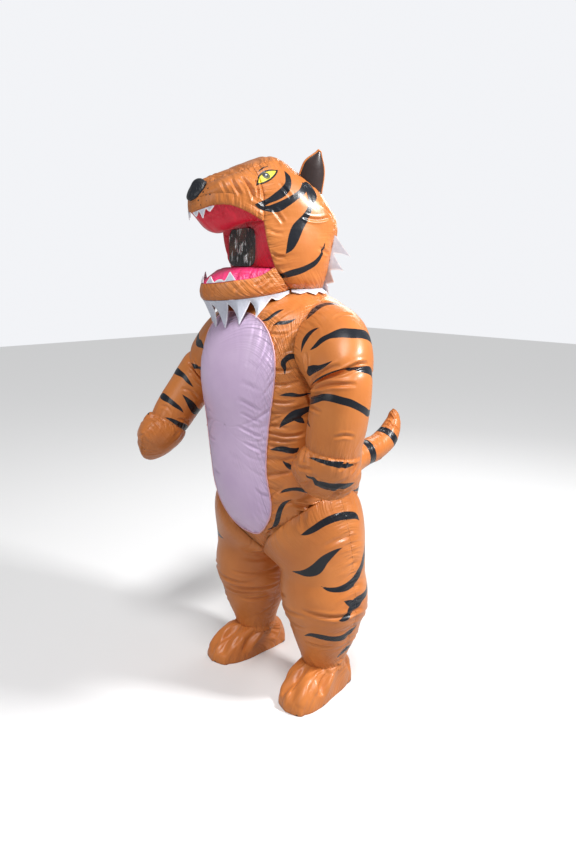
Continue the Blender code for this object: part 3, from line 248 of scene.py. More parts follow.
def facing(grid: Array, core: Array, wrap: bool) -> Array:
    """A grid's unit normals, as the cross product of its two slopes, turned to point away from core.

    Args:
        grid: Rows and columns of points.
        core: A point, or one for each row, that lies behind the cloth.
        wrap: Whether the last column is sewn to the first.

    Returns:
        A unit vector for each point.
    """
    if wrap:
        padded = np.concatenate([grid[:, -1:], grid, grid[:, :1]], 1)
        across = padded[:, 2:] - padded[:, :-2]
    else:
        across = np.gradient(grid, axis=1)
    found = np.cross(across, np.gradient(grid, axis=0))
    for row, beside in ((0, 1), (-1, -2)):
        bare = np.linalg.norm(found[row], axis=-1) < BARE
        if bare.all():
            found[row] = found[beside].mean(0)
        elif bare.any():
            found[row][bare] = found[beside][bare]
    for column, beside in ((0, 1), (-1, -2)):
        bare = np.linalg.norm(found[:, column], axis=-1) < BARE
        found[bare, column] = found[bare, beside]
    found = unit(found)
    return found if np.sum(found * (grid - core)) > 0 else -found


def swelled(grid: Array, lift: Array, power: float = 0.6) -> Array:
    """Moves a grid by a lift times the two sines across it, raised to a power, so its edges stay.

    Args:
        grid: Rows and columns of points.
        lift: A vector, or one for each point.
        power: Below one for a fuller pillow.

    Returns:
        The moved grid.
    """
    v, u = arch(len(grid))[:, None], arch(grid.shape[1])[None, :]
    return grid + lift * (np.clip(u * v, 0.0, 1.0) ** power)[..., None]


def puffed(grid: Array, core: Array, height: float) -> Array:
    """The grid swelled outwards along its own normals."""
    return swelled(grid, facing(grid, core, False) * height)


def lens(first: Array, second: Array, rows: int, lift: float, core: Array, power: float = 1.0) -> Array:
    """A panel between two lines that meet at both ends, swelled by the sines across it.

    Args:
        first: The first row's points.
        second: The last row's points.
        rows: Spans between them.
        lift: The swell's height.
        core: A point behind the cloth.
        power: What the sines are raised to; above one for a narrower swell.

    Returns:
        The grid.
    """
    grid = blend(first, second, np.linspace(0.0, 1.0, rows + 1))
    swell = lift * np.clip(arch(rows + 1)[:, None] * arch(len(first))[None, :], 0.0, 1.0) ** power
    return grid + facing(grid, core, False) * swell[..., None]


def rings(inner: Array, outer: Array, rows: int, lift: float, core: Array) -> Array:
    """Rings from one closed line out to another, swelled between them.

    Args:
        inner: The first ring.
        outer: The last ring.
        rows: Spans between them.
        lift: The swell's height.
        core: A point behind the cloth.

    Returns:
        The grid, with closed columns.
    """
    grid = blend(inner, outer, np.linspace(0.0, 1.0, rows + 1))
    return grid + facing(grid, core, True) * (lift * arch(rows + 1) ** 0.7)[:, None, None]


def axes_along(path: Array) -> tuple[Array, Array, Array]:
    """For points along a limb: the way it runs, its front, and its outer side on the left."""
    along = unit(np.gradient(path, axis=0))
    ahead = np.array([0.0, -1.0, 0.0])
    front = unit(ahead - along * (along @ ahead)[:, None])
    return along, front, np.cross(front, along)


def sampled(grid: Array, row: float, column: float, wrap: bool) -> Array:
    """The point between a grid's points at a row and a column that may be fractions."""
    rows, columns = grid.shape[:2]
    i = min(max(int(row), 0), rows - 2)
    if wrap:
        column = column % columns
        j, k = int(column) % columns, (int(column) + 1) % columns
    else:
        j = min(max(int(column), 0), columns - 2)
        k = j + 1
    v, u = row - i, column - int(column) if wrap else column - j
    near, far = (grid[i, one] * (1 - v) + grid[i + 1, one] * v for one in (j, k))
    return near * (1 - u) + far * u


class Cloth(Enum):
    """The finishes, each named for the record's material slot."""

    ORANGE = "orange_cloth"
    LILAC = "lilac_cloth"
    RED = "red_cloth"
    PINK = "pink_cloth"
    DARK = "dark_cloth"
    BLACK = "black_cloth"
    TAPE = "black_tape"
    FELT = "white_felt"
    FILM = "clear_film"
    PLASTIC = "black_plastic"
    METAL = "zip_metal"


class Look(Enum):
    """Finishes beside the record's slots."""

    PLAIN = "the orange cloth with no print"
    FACE = "the orange cloth with the eyes and whisker dots printed on it"
    PIPING = "the belly's pale piping"
    THREAD_ORANGE = "orange sewing thread"
    THREAD_DARK = "dark sewing thread"


FACE_GROUPS = ("head_left", "head_right")


@dataclass(frozen=True)
class Gather:
    """How the cloth puckers along a seam: spacing, depth and reach in metres, and the lean of each pucker."""

    spacing: float = 0.022
    depth: float = 0.0016
    reach: float = 0.055
    lean: float = 0.0
    shift: float = 0.38  # how far a pucker may stand off its place, in spacings
    least: float = 0.25  # the smallest pucker's share of the depth and of the reach
    sway: float = 0.22  # the spread of the lean
    widths: tuple = (0.26, 0.46)  # in spacings
    start: float = 0.004  # how far in from the seam they reach their depth

    def lift(self, seam: Array, depth: Array, loop: bool, rng: np.random.Generator) -> Array:
        """Troughs that run in from a seam: each a Gaussian across, fading inwards, and nothing on the seam.

        Args:
            seam: The place along the seam of each point.
            depth: The distance in from the seam of each point.
            loop: Whether the seam closes on itself.
            rng: The source of unevenness.

        Returns:
            The lift along the normal at each point, below zero in a trough.
        """
        length = float(seam.max())
        count = max(2, int(length / self.spacing))
        place = (np.arange(count) + 0.5 + rng.uniform(-self.shift, self.shift, count)) * length / count
        deep = self.depth * (self.least + 0.95 * rng.random(count) ** 1.4)
        reach = self.reach * (self.least + 1.0 * rng.random(count) ** 1.8)
        lean = self.lean + rng.normal(0.0, self.sway, count)
        width = self.spacing * rng.uniform(*self.widths, count)
        seam, depth = np.broadcast_arrays(seam, depth)
        total = np.zeros(depth.shape)
        near = depth < self.reach * 2.2
        s, d = seam[near], depth[near]
        sunk = np.zeros(len(s))
        for number in range(count):
            off = s + lean[number] * d - place[number]
            if loop:
                off = (off + length / 2) % length - length / 2
            sunk -= deep[number] * np.exp(-((off / width[number]) ** 2) - (d / reach[number]) ** 1.6)
        total[near] = sunk * (1 - np.exp(-d / self.start))
        return total


@dataclass
class Panel:
    """One cut piece of cloth, as a grid of points between its seams."""

    name: str
    grid: Array
    core: Array
    wrap: bool
    cloth: Cloth
    group: str = ""
    gathers: dict[str, Gather] = field(default_factory=dict)
    bulge: float = 0.0025
    ripple: float = 0.0016
    hem: float = 0.005
    lip: float = 0.0
    normal: Array = field(init=False)

    def __post_init__(self) -> None:
        """Keeps the smooth cloth's normals, which every fold is measured along."""
        self.normal = facing(self.grid, self.core, self.wrap)

    def lengths(self) -> tuple[Array, Array]:
        """Running lengths down the rows and along the columns, in metres, one for each point."""
        down = np.linalg.norm(np.diff(self.grid, axis=0), axis=-1)
        across = np.linalg.norm(np.diff(self.grid, axis=1), axis=-1)
        rows, columns = self.grid.shape[:2]
        down = np.concatenate([np.zeros((1, columns)), np.cumsum(down, axis=0)])
        across = np.concatenate([np.zeros((rows, 1)), np.cumsum(across, axis=1)], 1)
        return down, across

    def area(self) -> float:
        """The smooth cloth's area: the cut's, before air and puckers."""
        return grid_area(np.concatenate([self.grid, self.grid[:, :1]], 1) if self.wrap else self.grid)

    def cut(self) -> tuple[float, float]:
        """The cut's width and length, in metres: its girth and height, or its two spans if it is a disc."""
        down, across = self.lengths()
        area = self.area()
        if not self.wrap:
            width, length = float(across[:, -1].max()), float(down[-1].max())
        else:
            girth = across[:, -1] + np.linalg.norm(self.grid[:, -1] - self.grid[:, 0], axis=-1)
            width, length = float(girth.max()), float(down[-1].max())
            if girth.min() < DISC_HOLE * girth.max() and length < DISC_RISE * width:
                hole = girth.min() / PI
                length = hole + 2 * float(down[-1].mean())
                width = max(hole + 2 * float(down[-1].max()), area / length)
        return cut_size(width, length, area)


def ripple_field(points: Array, wavelength: float, seed: int, waves: int = 7) -> Array:
    """Soft unevenness: the mean of plane sine waves that run in seeded directions.

    Args:
        points: Where to read it.
        wavelength: The waves' mean length, in metres.
        seed: The seed.
        waves: How many there are.

    Returns:
        Values between about minus one and one.
    """
    rng = np.random.default_rng(seed)
    ways = unit(rng.normal(size=(waves, 3)))
    total = np.zeros(points.shape[:-1])
    for way, phase, stretch in zip(ways, rng.uniform(0, 2 * PI, waves), rng.uniform(0.7, 1.5, waves)):
        total += np.sin(points @ way * (2 * PI / (wavelength * stretch)) + phase)
    return total / 3.0


def line_field(points: Array, line: Array, extra: Array, margin: float) -> tuple[Array, Array, Array]:
    """For each point near a line: its distance to the line, and the line's own value there.

    Args:
        points: Points, as rows.
        line: The line's points.
        extra: A value for each of the line's points.
        margin: How far from the line a point still counts.

    Returns:
        The numbers of the points that count, their distances, and the values.
    """
    low, high = line.min(0) - margin, line.max(0) + margin
    near = np.flatnonzero(((points > low) & (points < high)).all(1))
    spot = points[near]
    best = np.full(len(near), 1e9)
    score = np.full(len(near), 1e9)
    value = np.zeros(len(near))
    for a, b, one, other in zip(line[:-1], line[1:], extra[:-1], extra[1:]):
        run = b - a
        t = np.clip((spot - a) @ run / max(run @ run, TINY), 0.0, 1.0)
        gap = np.linalg.norm(spot - a - t[:, None] * run, axis=1)
        here = one + (other - one) * t
        better = gap - here < score
        best[better], value[better], score[better] = gap[better], here[better], (gap - here)[better]
    return near, best, value


@dataclass(frozen=True)
class Crease:
    """A listed fold: its knots in its group's own measures, and its depth and half width in metres."""

    knots: Knots
    depth: float
    width: float


class Lay:
    """Lays lines on a group of panels: smooths the knots, then drops each point onto the nearest cloth."""

    def __init__(self, panels: Sequence[Panel], place: Callable[..., Array]) -> None:
        """Keeps the cloth's points.

        Args:
            panels: The group's panels.
            place: Takes a knot's measures to a point near the cloth.
        """
        self.points = np.concatenate([panel.grid.reshape(-1, 3) for panel in panels])
        self.normals = np.concatenate([panel.normal.reshape(-1, 3) for panel in panels])
        self.place = place

    def dropped(self, points: Array) -> Array:
        """The points moved along the nearest cloth point's normal until they lie on its plane."""
        found = []
        for point in points:
            nearest = int(np.argmin(((self.points - point) ** 2).sum(1)))
            normal = self.normals[nearest]
            found.append(point - normal * ((point - self.points[nearest]) @ normal))
        return np.array(found)

    def line(self, knots: Knots, step: float = 0.009) -> tuple[Array, Array]:
        """A smooth line on the cloth.

        Args:
            knots: (measure, measure, ..., value) rows; the value is in millimetres.
            step: The distance between its points.

        Returns:
            The points, and the value at each in metres.
        """
        rows = [list(knot) for knot in knots]
        spots = self.dropped(np.array([self.place(*row[:-1]) for row in rows]))
        values = np.array([row[-1] / 1000 for row in rows])
        length = float(np.linalg.norm(np.diff(spots, axis=0), axis=1).sum())
        line = curve(np.concatenate([spots, values[:, None]], 1), max(4, int(length / step)))
        return self.dropped(line[:, :3]), np.maximum(line[:, 3], 0.0)


def creased(panel: Panel, lay: Lay, crease: Crease) -> Array:
    """The lift of a listed fold: a soft trough with a lower ridge on each side, fading at both ends.

    Args:
        panel: The panel.
        lay: The line's cloth.
        crease: The fold.

    Returns:
        The lift along the normal for each of the panel's points.
    """
    points = panel.grid.reshape(-1, 3)
    total = np.zeros(len(points))
    line, _ = lay.line([(*knot, 0.0) for knot in crease.knots])
    fade = arch(len(line)) ** 0.6  # goes in as millionths, so that it doesn't sway which step is nearest
    near, gap, share = line_field(points, line, fade * 1e-6, crease.width * 4)
    x = gap / crease.width
    shape = -np.exp(-(x**2)) + 0.42 * np.exp(-(((x - 1.9) / 0.75) ** 2))
    total[near] = crease.depth * shape * share * 1e6
    return total.reshape(panel.grid.shape[:2])


def printed(panel: Panel, lines: Sequence[tuple[Array, Array]]) -> Array:
    """How far each point lies outside the printed stripes, in metres, and below zero inside them."""
    points = panel.grid.reshape(-1, 3)
    total = np.full(len(points), PRINT_REACH)
    for line, half in lines:
        near, gap, value = line_field(points, line, half, float(half.max()) + PRINT_REACH)
        total[near] = np.minimum(total[near], gap - value)
    return total.reshape(panel.grid.shape[:2])


BODY = (  # height, half width, half depth, middle's y, power
    (0.470, 0.150, 0.115, 0.000, 2.00),
    (0.500, 0.192, 0.146, 0.000, 2.00),
    (0.550, 0.235, 0.188, 0.000, 2.10),
    (0.620, 0.262, 0.228, -0.004, 2.15),
    (0.700, 0.276, 0.252, -0.008, 2.20),
    (0.800, 0.282, 0.266, -0.012, 2.20),
    (0.950, 0.290, 0.278, -0.019, 2.20),
    (1.100, 0.296, 0.292, -0.028, 2.20),
    (1.200, 0.290, 0.284, -0.029, 2.20),
    (1.300, 0.266, 0.257, -0.023, 2.15),
    (1.360, 0.232, 0.218, -0.017, 2.10),
    (1.388, 0.195, 0.182, -0.013, 2.00),
    (1.405, 0.158, 0.152, -0.010, 2.00),
    (1.430, 0.138, 0.133, -0.010, 2.00),
)
BELLY = ((-1.0, 42), (-0.8, 45), (-0.36, 36), (0.0, 37.5), (0.3, 43), (0.65, 51), (1.0, 57))
LEG = (  # height, middle's x, half width, half depth
    (0.104, 0.190, 0.076, 0.076),
    (0.135, 0.193, 0.083, 0.084),
    (0.170, 0.196, 0.098, 0.098),
    (0.220, 0.198, 0.118, 0.118),
    (0.258, 0.198, 0.130, 0.130),
    (0.290, 0.197, 0.147, 0.145),
    (0.350, 0.194, 0.156, 0.153),
    (0.420, 0.187, 0.151, 0.150),
)
LEFT_SLEEVE = (  # share, x, y, height, radius
    (0.00, 0.290, -0.020, 1.2320, 0.152),
    (0.25, 0.372, -0.050, 1.2000, 0.138),
    (0.45, 0.388, -0.102, 1.1300, 0.108),
    (0.56, 0.391, -0.117, 1.0850, 0.099),
    (0.80, 0.384, -0.130, 0.9900, 0.0945),
    (1.00, 0.372, -0.137, 0.9080, 0.0895),
)
RIGHT_SLEEVE = (
    (0.00, -0.290, -0.020, 1.2320, 0.152),
    (0.25, -0.372, -0.055, 1.1850, 0.128),
    (0.45, -0.405, -0.105, 1.1050, 0.098),
    (0.56, -0.420, -0.132, 1.0530, 0.090),
    (0.80, -0.447, -0.192, 0.9580, 0.083),
    (1.00, -0.463, -0.236, 0.8840, 0.077),
)
TAIL = (  # share, y, height, radius
    (0.00, 0.240, 0.690, 0.058),
    (0.20, 0.330, 0.708, 0.055),
    (0.40, 0.425, 0.730, 0.052),
    (0.60, 0.520, 0.745, 0.049),
    (0.76, 0.590, 0.785, 0.043),
    (0.90, 0.625, 0.845, 0.029),
    (0.97, 0.624, 0.880, 0.014),
    (1.00, 0.622, 0.893, 0.000),
)

SEAM_GATHER = Gather(0.021, 0.0042, 0.060)
LONG_GATHER = Gather(0.024, 0.0060, 0.12, 0.1)
WAIST_GATHER = Gather(0.026, 0.0056, 0.13, -0.15)


@dataclass
class Trunk:
    """The body: its front, the belly oval, two backs and the zip's tapes."""

    fine: int = 15
    crotch_z: float = 0.476
    hip_z: float = 0.720
    armpit_z: float = 1.080
    shoulder_z: float = 1.385
    neck_z: float = 1.430
    belly_z: float = 0.952
    belly_half: float = 0.398
    armhole_reach: float = math.radians(34)
    groin_spans: int = 8
    side_spans: int = 6
    arm_spans: int = 8
    shoulder_spans: int = 2
    neck_front: int = 10
    neck_side: int = 7
    neck_back: int = 8
    neck_turns: tuple = (56.25, 135.0)  # degrees from the front, where the neck's front and back end
    zip_row: int = 5
    zip_top: int = 15
    tape_width: float = 0.013
    ray_turns: tuple = ((180, 125), (125, 75), (75, 28), (28, 22), (22, 0))

    def point(self, angle: Array, height: Array) -> Array:
        """The body's surface: a rounded ring for each height, by |s/w|^p + |c/d|^p = 1.

        Args:
            angle: The angle from the front, towards the costume's left.
            height: The height.

        Returns:
            The points.
        """
        angle, height = np.broadcast_arrays(np.asarray(angle, float), np.asarray(height, float))
        half_width, half_depth, centre, power = read(BODY, height)
        side, front = np.sin(angle), np.cos(angle)
        reach = (np.abs(side / half_width) ** power + np.abs(front / half_depth) ** power) ** (-1 / power)
        return np.stack([reach * side, centre - reach * front, height], -1)

    def laid(self, pairs: Array) -> Array:
        """The body's points at (angle, height) pairs."""
        return self.point(pairs[..., 0], pairs[..., 1])

    def groin_line(self, start: float, end: float) -> Array:
        """(angle, height) along a quarter of the groin seam, lowest at the crotch."""
        angle = np.linspace(start, end, self.groin_spans * self.fine + 1)
        rise = (self.hip_z - self.crotch_z) * np.abs(np.sin(angle)) ** 1.5
        return np.stack([angle, self.crotch_z + rise], -1)

    def side_line(self) -> Array:
        """(angle, height) up the left side seam, from the hip to the armpit."""
        height = np.linspace(self.hip_z, self.armpit_z, self.side_spans * self.fine + 1)
        return np.stack([np.full_like(height, PI / 2), height], -1)

    def armhole_line(self, way: int) -> Array:
        """(angle, height) up the left armhole, by its front edge for way -1 and its back edge for 1."""
        turn = np.linspace(PI, 0.0, self.arm_spans * self.fine + 1)
        middle, half = (self.shoulder_z + self.armpit_z) / 2, (self.shoulder_z - self.armpit_z) / 2
        return np.stack([PI / 2 + way * self.armhole_reach * np.sin(turn), middle + half * np.cos(turn)], -1)

    def shoulder_line(self) -> Array:
        """(angle, height) along the left shoulder seam, from the armhole to the neck."""
        height = np.linspace(self.shoulder_z, self.neck_z, self.shoulder_spans * self.fine + 1)
        return np.stack([np.full_like(height, PI / 2), height], -1)

    def neck_angles(self, fine: int) -> tuple[Array, Array, Array]:
        """The angles of the neck seam's points: its front, left side and back."""
        ahead, behind = self.neck_turns
        front = np.radians(np.linspace(0.0, ahead, self.neck_front // 2 * fine + 1))
        side = np.radians(np.linspace(ahead, behind, self.neck_side * fine + 1))
        back = np.radians(np.linspace(behind, 180.0, self.neck_back // 2 * fine + 1))
        return front, side, back

    def neck_lines(self) -> tuple[Array, Array]:
        """(angle, height) of the neck seam from the left shoulder to the front, and to the back."""
        front, side, back = self.neck_angles(self.fine)
        top = 3 * self.fine  # the shoulder seam's place along the neck's side
        lines = (chain(front, side[: top + 1])[::-1], chain(side[top:], back))
        return tuple(np.stack([line, np.full_like(line, self.neck_z)], -1) for line in lines)

    def zip_lines(self, rows: int) -> Array:
        """(angle, height) up a back panel's inner edge, drawn aside along the zip."""
        height = np.linspace(self.crotch_z, self.neck_z, rows)
        row = np.arange(rows) / self.fine
        open_share = np.clip(np.minimum(row - self.zip_row, self.zip_top - row), 0.0, 1.0)
        return np.stack([PI - open_share * self.tape_width / read(BODY, height)[1], height], -1)

    def oval(self) -> tuple[Array, Array, Array]:
        """(angle, height) round the belly's edge, round the front's outer edge, and each ray's turn."""
        lines = (self.groin_line(0.0, PI / 2), self.side_line(), self.armhole_line(-1), self.shoulder_line(),
                 self.neck_lines()[0])
        left = chain(*lines)
        turn = chain(*(np.linspace(*ends, len(line)) for ends, line in zip(self.ray_turns, lines)))
        around = np.concatenate([left, left[-2:0:-1] * np.array([-1.0, 1.0])])
        turn = np.radians(np.concatenate([turn, -turn[-2:0:-1]]))
        half_angle = np.radians(read(BELLY, np.cos(turn))[0])
        across = np.sign(np.sin(turn)) * np.abs(np.sin(turn)) ** 0.6 * half_angle
        return np.stack([across, self.belly_z + self.belly_half * np.cos(turn)], -1), around, turn

    def panels(self) -> list[Panel]:
        """The trunk's panels."""
        oval, around, turn = self.oval()
        core = np.array([0.0, 0.0, 0.95])
        rows = np.linspace(0.0, 1.0, 5 * self.fine + 1)[:, None]
        bend = 1 + 1.6 * np.exp(-(((np.abs(np.degrees(turn)) - 28) / 18) ** 2))[None, :]
        front = oval[None] + (around - oval)[None] * np.stack([rows**bend, rows * np.ones_like(bend)], -1)
        belly = blend(oval, np.array([0.0, self.belly_z]), spread([0.0, 0.16, 0.55, 1.0], self.fine))
        outer = chain(self.side_line(), self.armhole_line(1), self.shoulder_line())
        edge = self.zip_lines(len(outer))
        back = coons(self.groin_line(PI / 2, PI), self.neck_lines()[1], outer, edge)
        inset = self.fine // 4
        tape = edge[self.zip_row * self.fine + inset : self.zip_top * self.fine - inset + 1]
        middle = np.stack([np.full(len(tape), PI), tape[:, 1]], -1)
        tape = tape[:, None] + (middle - tape)[:, None] * np.array([0.0, 0.5, 1.0])[None, :, None]
        back, tape = self.laid(back), self.laid(tape)
        ends = {"low": SEAM_GATHER, "high": SEAM_GATHER}
        sides = {**ends, "left": LONG_GATHER, "right": Gather(0.02, 0.0012, 0.03)}
        flat = {"bulge": 0.0, "ripple": 0.0, "hem": 0.0004}
        return [
            Panel("torso_front", self.laid(front), core, True, Cloth.ORANGE, "trunk",
                  {**ends, "low": WAIST_GATHER}),
            Panel("belly", self.laid(belly), core, True, Cloth.LILAC, "belly",
                  {"low": Gather(0.024, 0.0052, 0.095, 0.6)}, 0.0035, 0.0012),
            Panel("torso_back_left", back, core, False, Cloth.ORANGE, "trunk", sides),
            Panel("torso_back_right", mirrored(back), core, False, Cloth.ORANGE, "trunk", sides),
            Panel("zip_tape_left", tape, core, False, Cloth.TAPE, **flat),
            Panel("zip_tape_right", mirrored(tape), core, False, Cloth.TAPE, **flat),
        ]


LEG_ROWS = (0.420, 0.350, 0.290, 0.258, 0.220, 0.170, 0.135, 0.104)
CROTCH_SPANS = 2
FOOT = ((0.0, 0.0), (0.03, 0.038), (0.12, 0.062), (0.3, 0.075), (0.55, 0.067), (0.8, 0.056), (0.95, 0.034),
        (1.0, 0.0))  # share from the toe, half width


@dataclass
class Leg:
    """A trouser leg of two halves, and its bootie: a pleated upper and a flat sole."""

    trunk: Trunk
    side: int
    word: str
    fine: int = 13
    foot_length: float = 0.335
    heel_y: float = 0.132
    toe_height: float = 0.052
    pleat: float = 0.0030
    inseam: float = math.radians(42)  # how far round the close steps go
    ankle_at: float = 0.36
    splay: float = math.radians(5.5)

    def ring(self, height: float, turns: Array) -> Array:
        """A left leg's ring at a height. The turn runs from the inseam round the front."""
        centre, half_width, half_depth = read(LEG, np.full(len(turns), height))
        across = centre - half_width * np.cos(turns)
        return np.stack([across, -half_depth * np.sin(turns), np.full(len(turns), height)], -1)

    def half_turns(self) -> Array:
        """The turns of half a ring: close steps along the inseam, then even ones to the outer side."""
        spans = self.trunk.groin_spans * self.fine
        inner = np.linspace(0.0, self.inseam, CROTCH_SPANS * self.fine + 1)
        return chain(inner, np.linspace(self.inseam, PI, spans + 1))

    def half(self, way: int, name: str) -> Panel:
        """Half a leg, cut from the groin and crotch seams to the hem, the front for way 1."""
        trunk = Trunk(fine=self.fine)
        crotch = np.linspace(0.0, 1.0, CROTCH_SPANS * self.fine + 1)[:, None]
        low = trunk.point(0.0 if way > 0 else PI, trunk.crotch_z)
        middle = np.array([0.0, 0.0, trunk.crotch_z - 0.012])
        inner = middle + (low - middle) * crotch
        inner[:, 2] = middle[2] + (low[2] - middle[2]) * crotch[:, 0] ** 2
        line = trunk.groin_line(0.0, PI / 2) if way > 0 else trunk.groin_line(PI, PI / 2)
        top = chain(inner, trunk.laid(line))
        turns = way * self.half_turns()
        ring = self.ring(LEG_ROWS[0], turns)
        reach = np.linalg.norm(ring - top, axis=1, keepdims=True)
        out = np.stack([-np.cos(turns), -np.sin(turns), np.zeros(len(turns))], -1)
        inside = slice(0, CROTCH_SPANS * self.fine + 1)
        out[inside, 0] = np.maximum(out[inside, 0], 0.45)
        leaving = unit(out * 0.42 + DOWN * 0.9) * reach
        arriving = DOWN * reach
        t = np.linspace(0.0, 1.0, 4 * self.fine + 1)[:-1, None, None]
        upper = cubic(t, top, leaving, ring, arriving)
        lower = np.array([self.ring(height, turns) for height in spread(LEG_ROWS, self.fine)])
        grid, core = np.concatenate([upper, lower]), np.array([0.19, 0.0, 0.4])
        if self.side < 0:
            grid, core = mirrored(grid), mirrored(core)
        gathers = {"low": Gather(0.024, 0.0022, 0.07, 0.3), "high": Gather(0.02, 0.0014, 0.03),
                   "left": SEAM_GATHER, "right": SEAM_GATHER}
        return Panel(name, grid, core, False, Cloth.ORANGE, f"leg_{self.word}", gathers, lip=0.014)

    def bootie(self) -> list[Panel]:
        """The upper, on cubic curves from the hem to the floor, waved by pleats; and the sole."""
        half = self.half_turns()
        turns = np.concatenate([half, -half[-2:0:-1]])
        hem = self.ring(LEG_ROWS[-1], turns)
        front = np.clip(np.sin(turns), -1.0, 1.0)
        share = 0.5 - 0.5 * np.sign(front) * np.abs(front) ** 0.9
        share = self.ankle_at + (share - 0.5) * 2 * np.where(share < 0.5, self.ankle_at, 1 - self.ankle_at)
        lean = np.sign(-np.cos(turns)) * read(FOOT, share)[0]
        centre_x = LEG[0][1]
        y = self.heel_y - self.foot_length + share * self.foot_length
        splay = (self.heel_y - 0.05 - y) * math.tan(self.splay)
        edge = np.stack([centre_x + lean + splay - 0.005, y, np.zeros(len(turns))], -1)
        t = np.linspace(0.0, 1.0, 6 * self.fine + 1)[:, None, None]
        flat = (edge - hem) * LEVEL
        first, second = hem + flat * 0.30 + DOWN * 0.016, edge - DOWN * self.toe_height
        grid = (1 - t) ** 3 * hem + 3 * t * (1 - t) ** 2 * first + 3 * t**2 * (1 - t) * second + t**3 * edge
        core = np.array([centre_x, 0.02, 0.03])
        column = np.arange(len(turns)) / self.fine
        fold = np.cos(PI * column)
        swell = np.sin(PI * t[:, 0, 0]) ** 1.2 * self.pleat
        grid = grid + facing(grid, core, True) * (swell[:, None] * fold[None])[..., None]
        middle = np.array([edge[:, 0].mean(), edge[:, 1].mean(), 0.0])
        sole, below = blend(edge, middle, spread([0.0, 0.45, 1.0], self.fine)), core - DOWN * 0.5
        if self.side < 0:
            grid, core, sole, below = (mirrored(part) for part in (grid, core, sole, below))
        gathers = {"low": Gather(0.055, 0.0012, 0.05), "high": Gather(0.022, 0.0018, 0.03)}
        return [
            Panel(f"foot_upper_{self.word}", grid, core, True, Cloth.ORANGE, f"foot_{self.word}", gathers),
            Panel(f"foot_sole_{self.word}", sole, below, True, Cloth.DARK, bulge=0.0, ripple=0.0),
        ]

    def panels(self) -> list[Panel]:
        """The leg's two halves and its bootie."""
        halves = [self.half(way, f"leg_{half}_{self.word}") for way, half in ((1, "front"), (-1, "back"))]
        return halves + self.bootie()


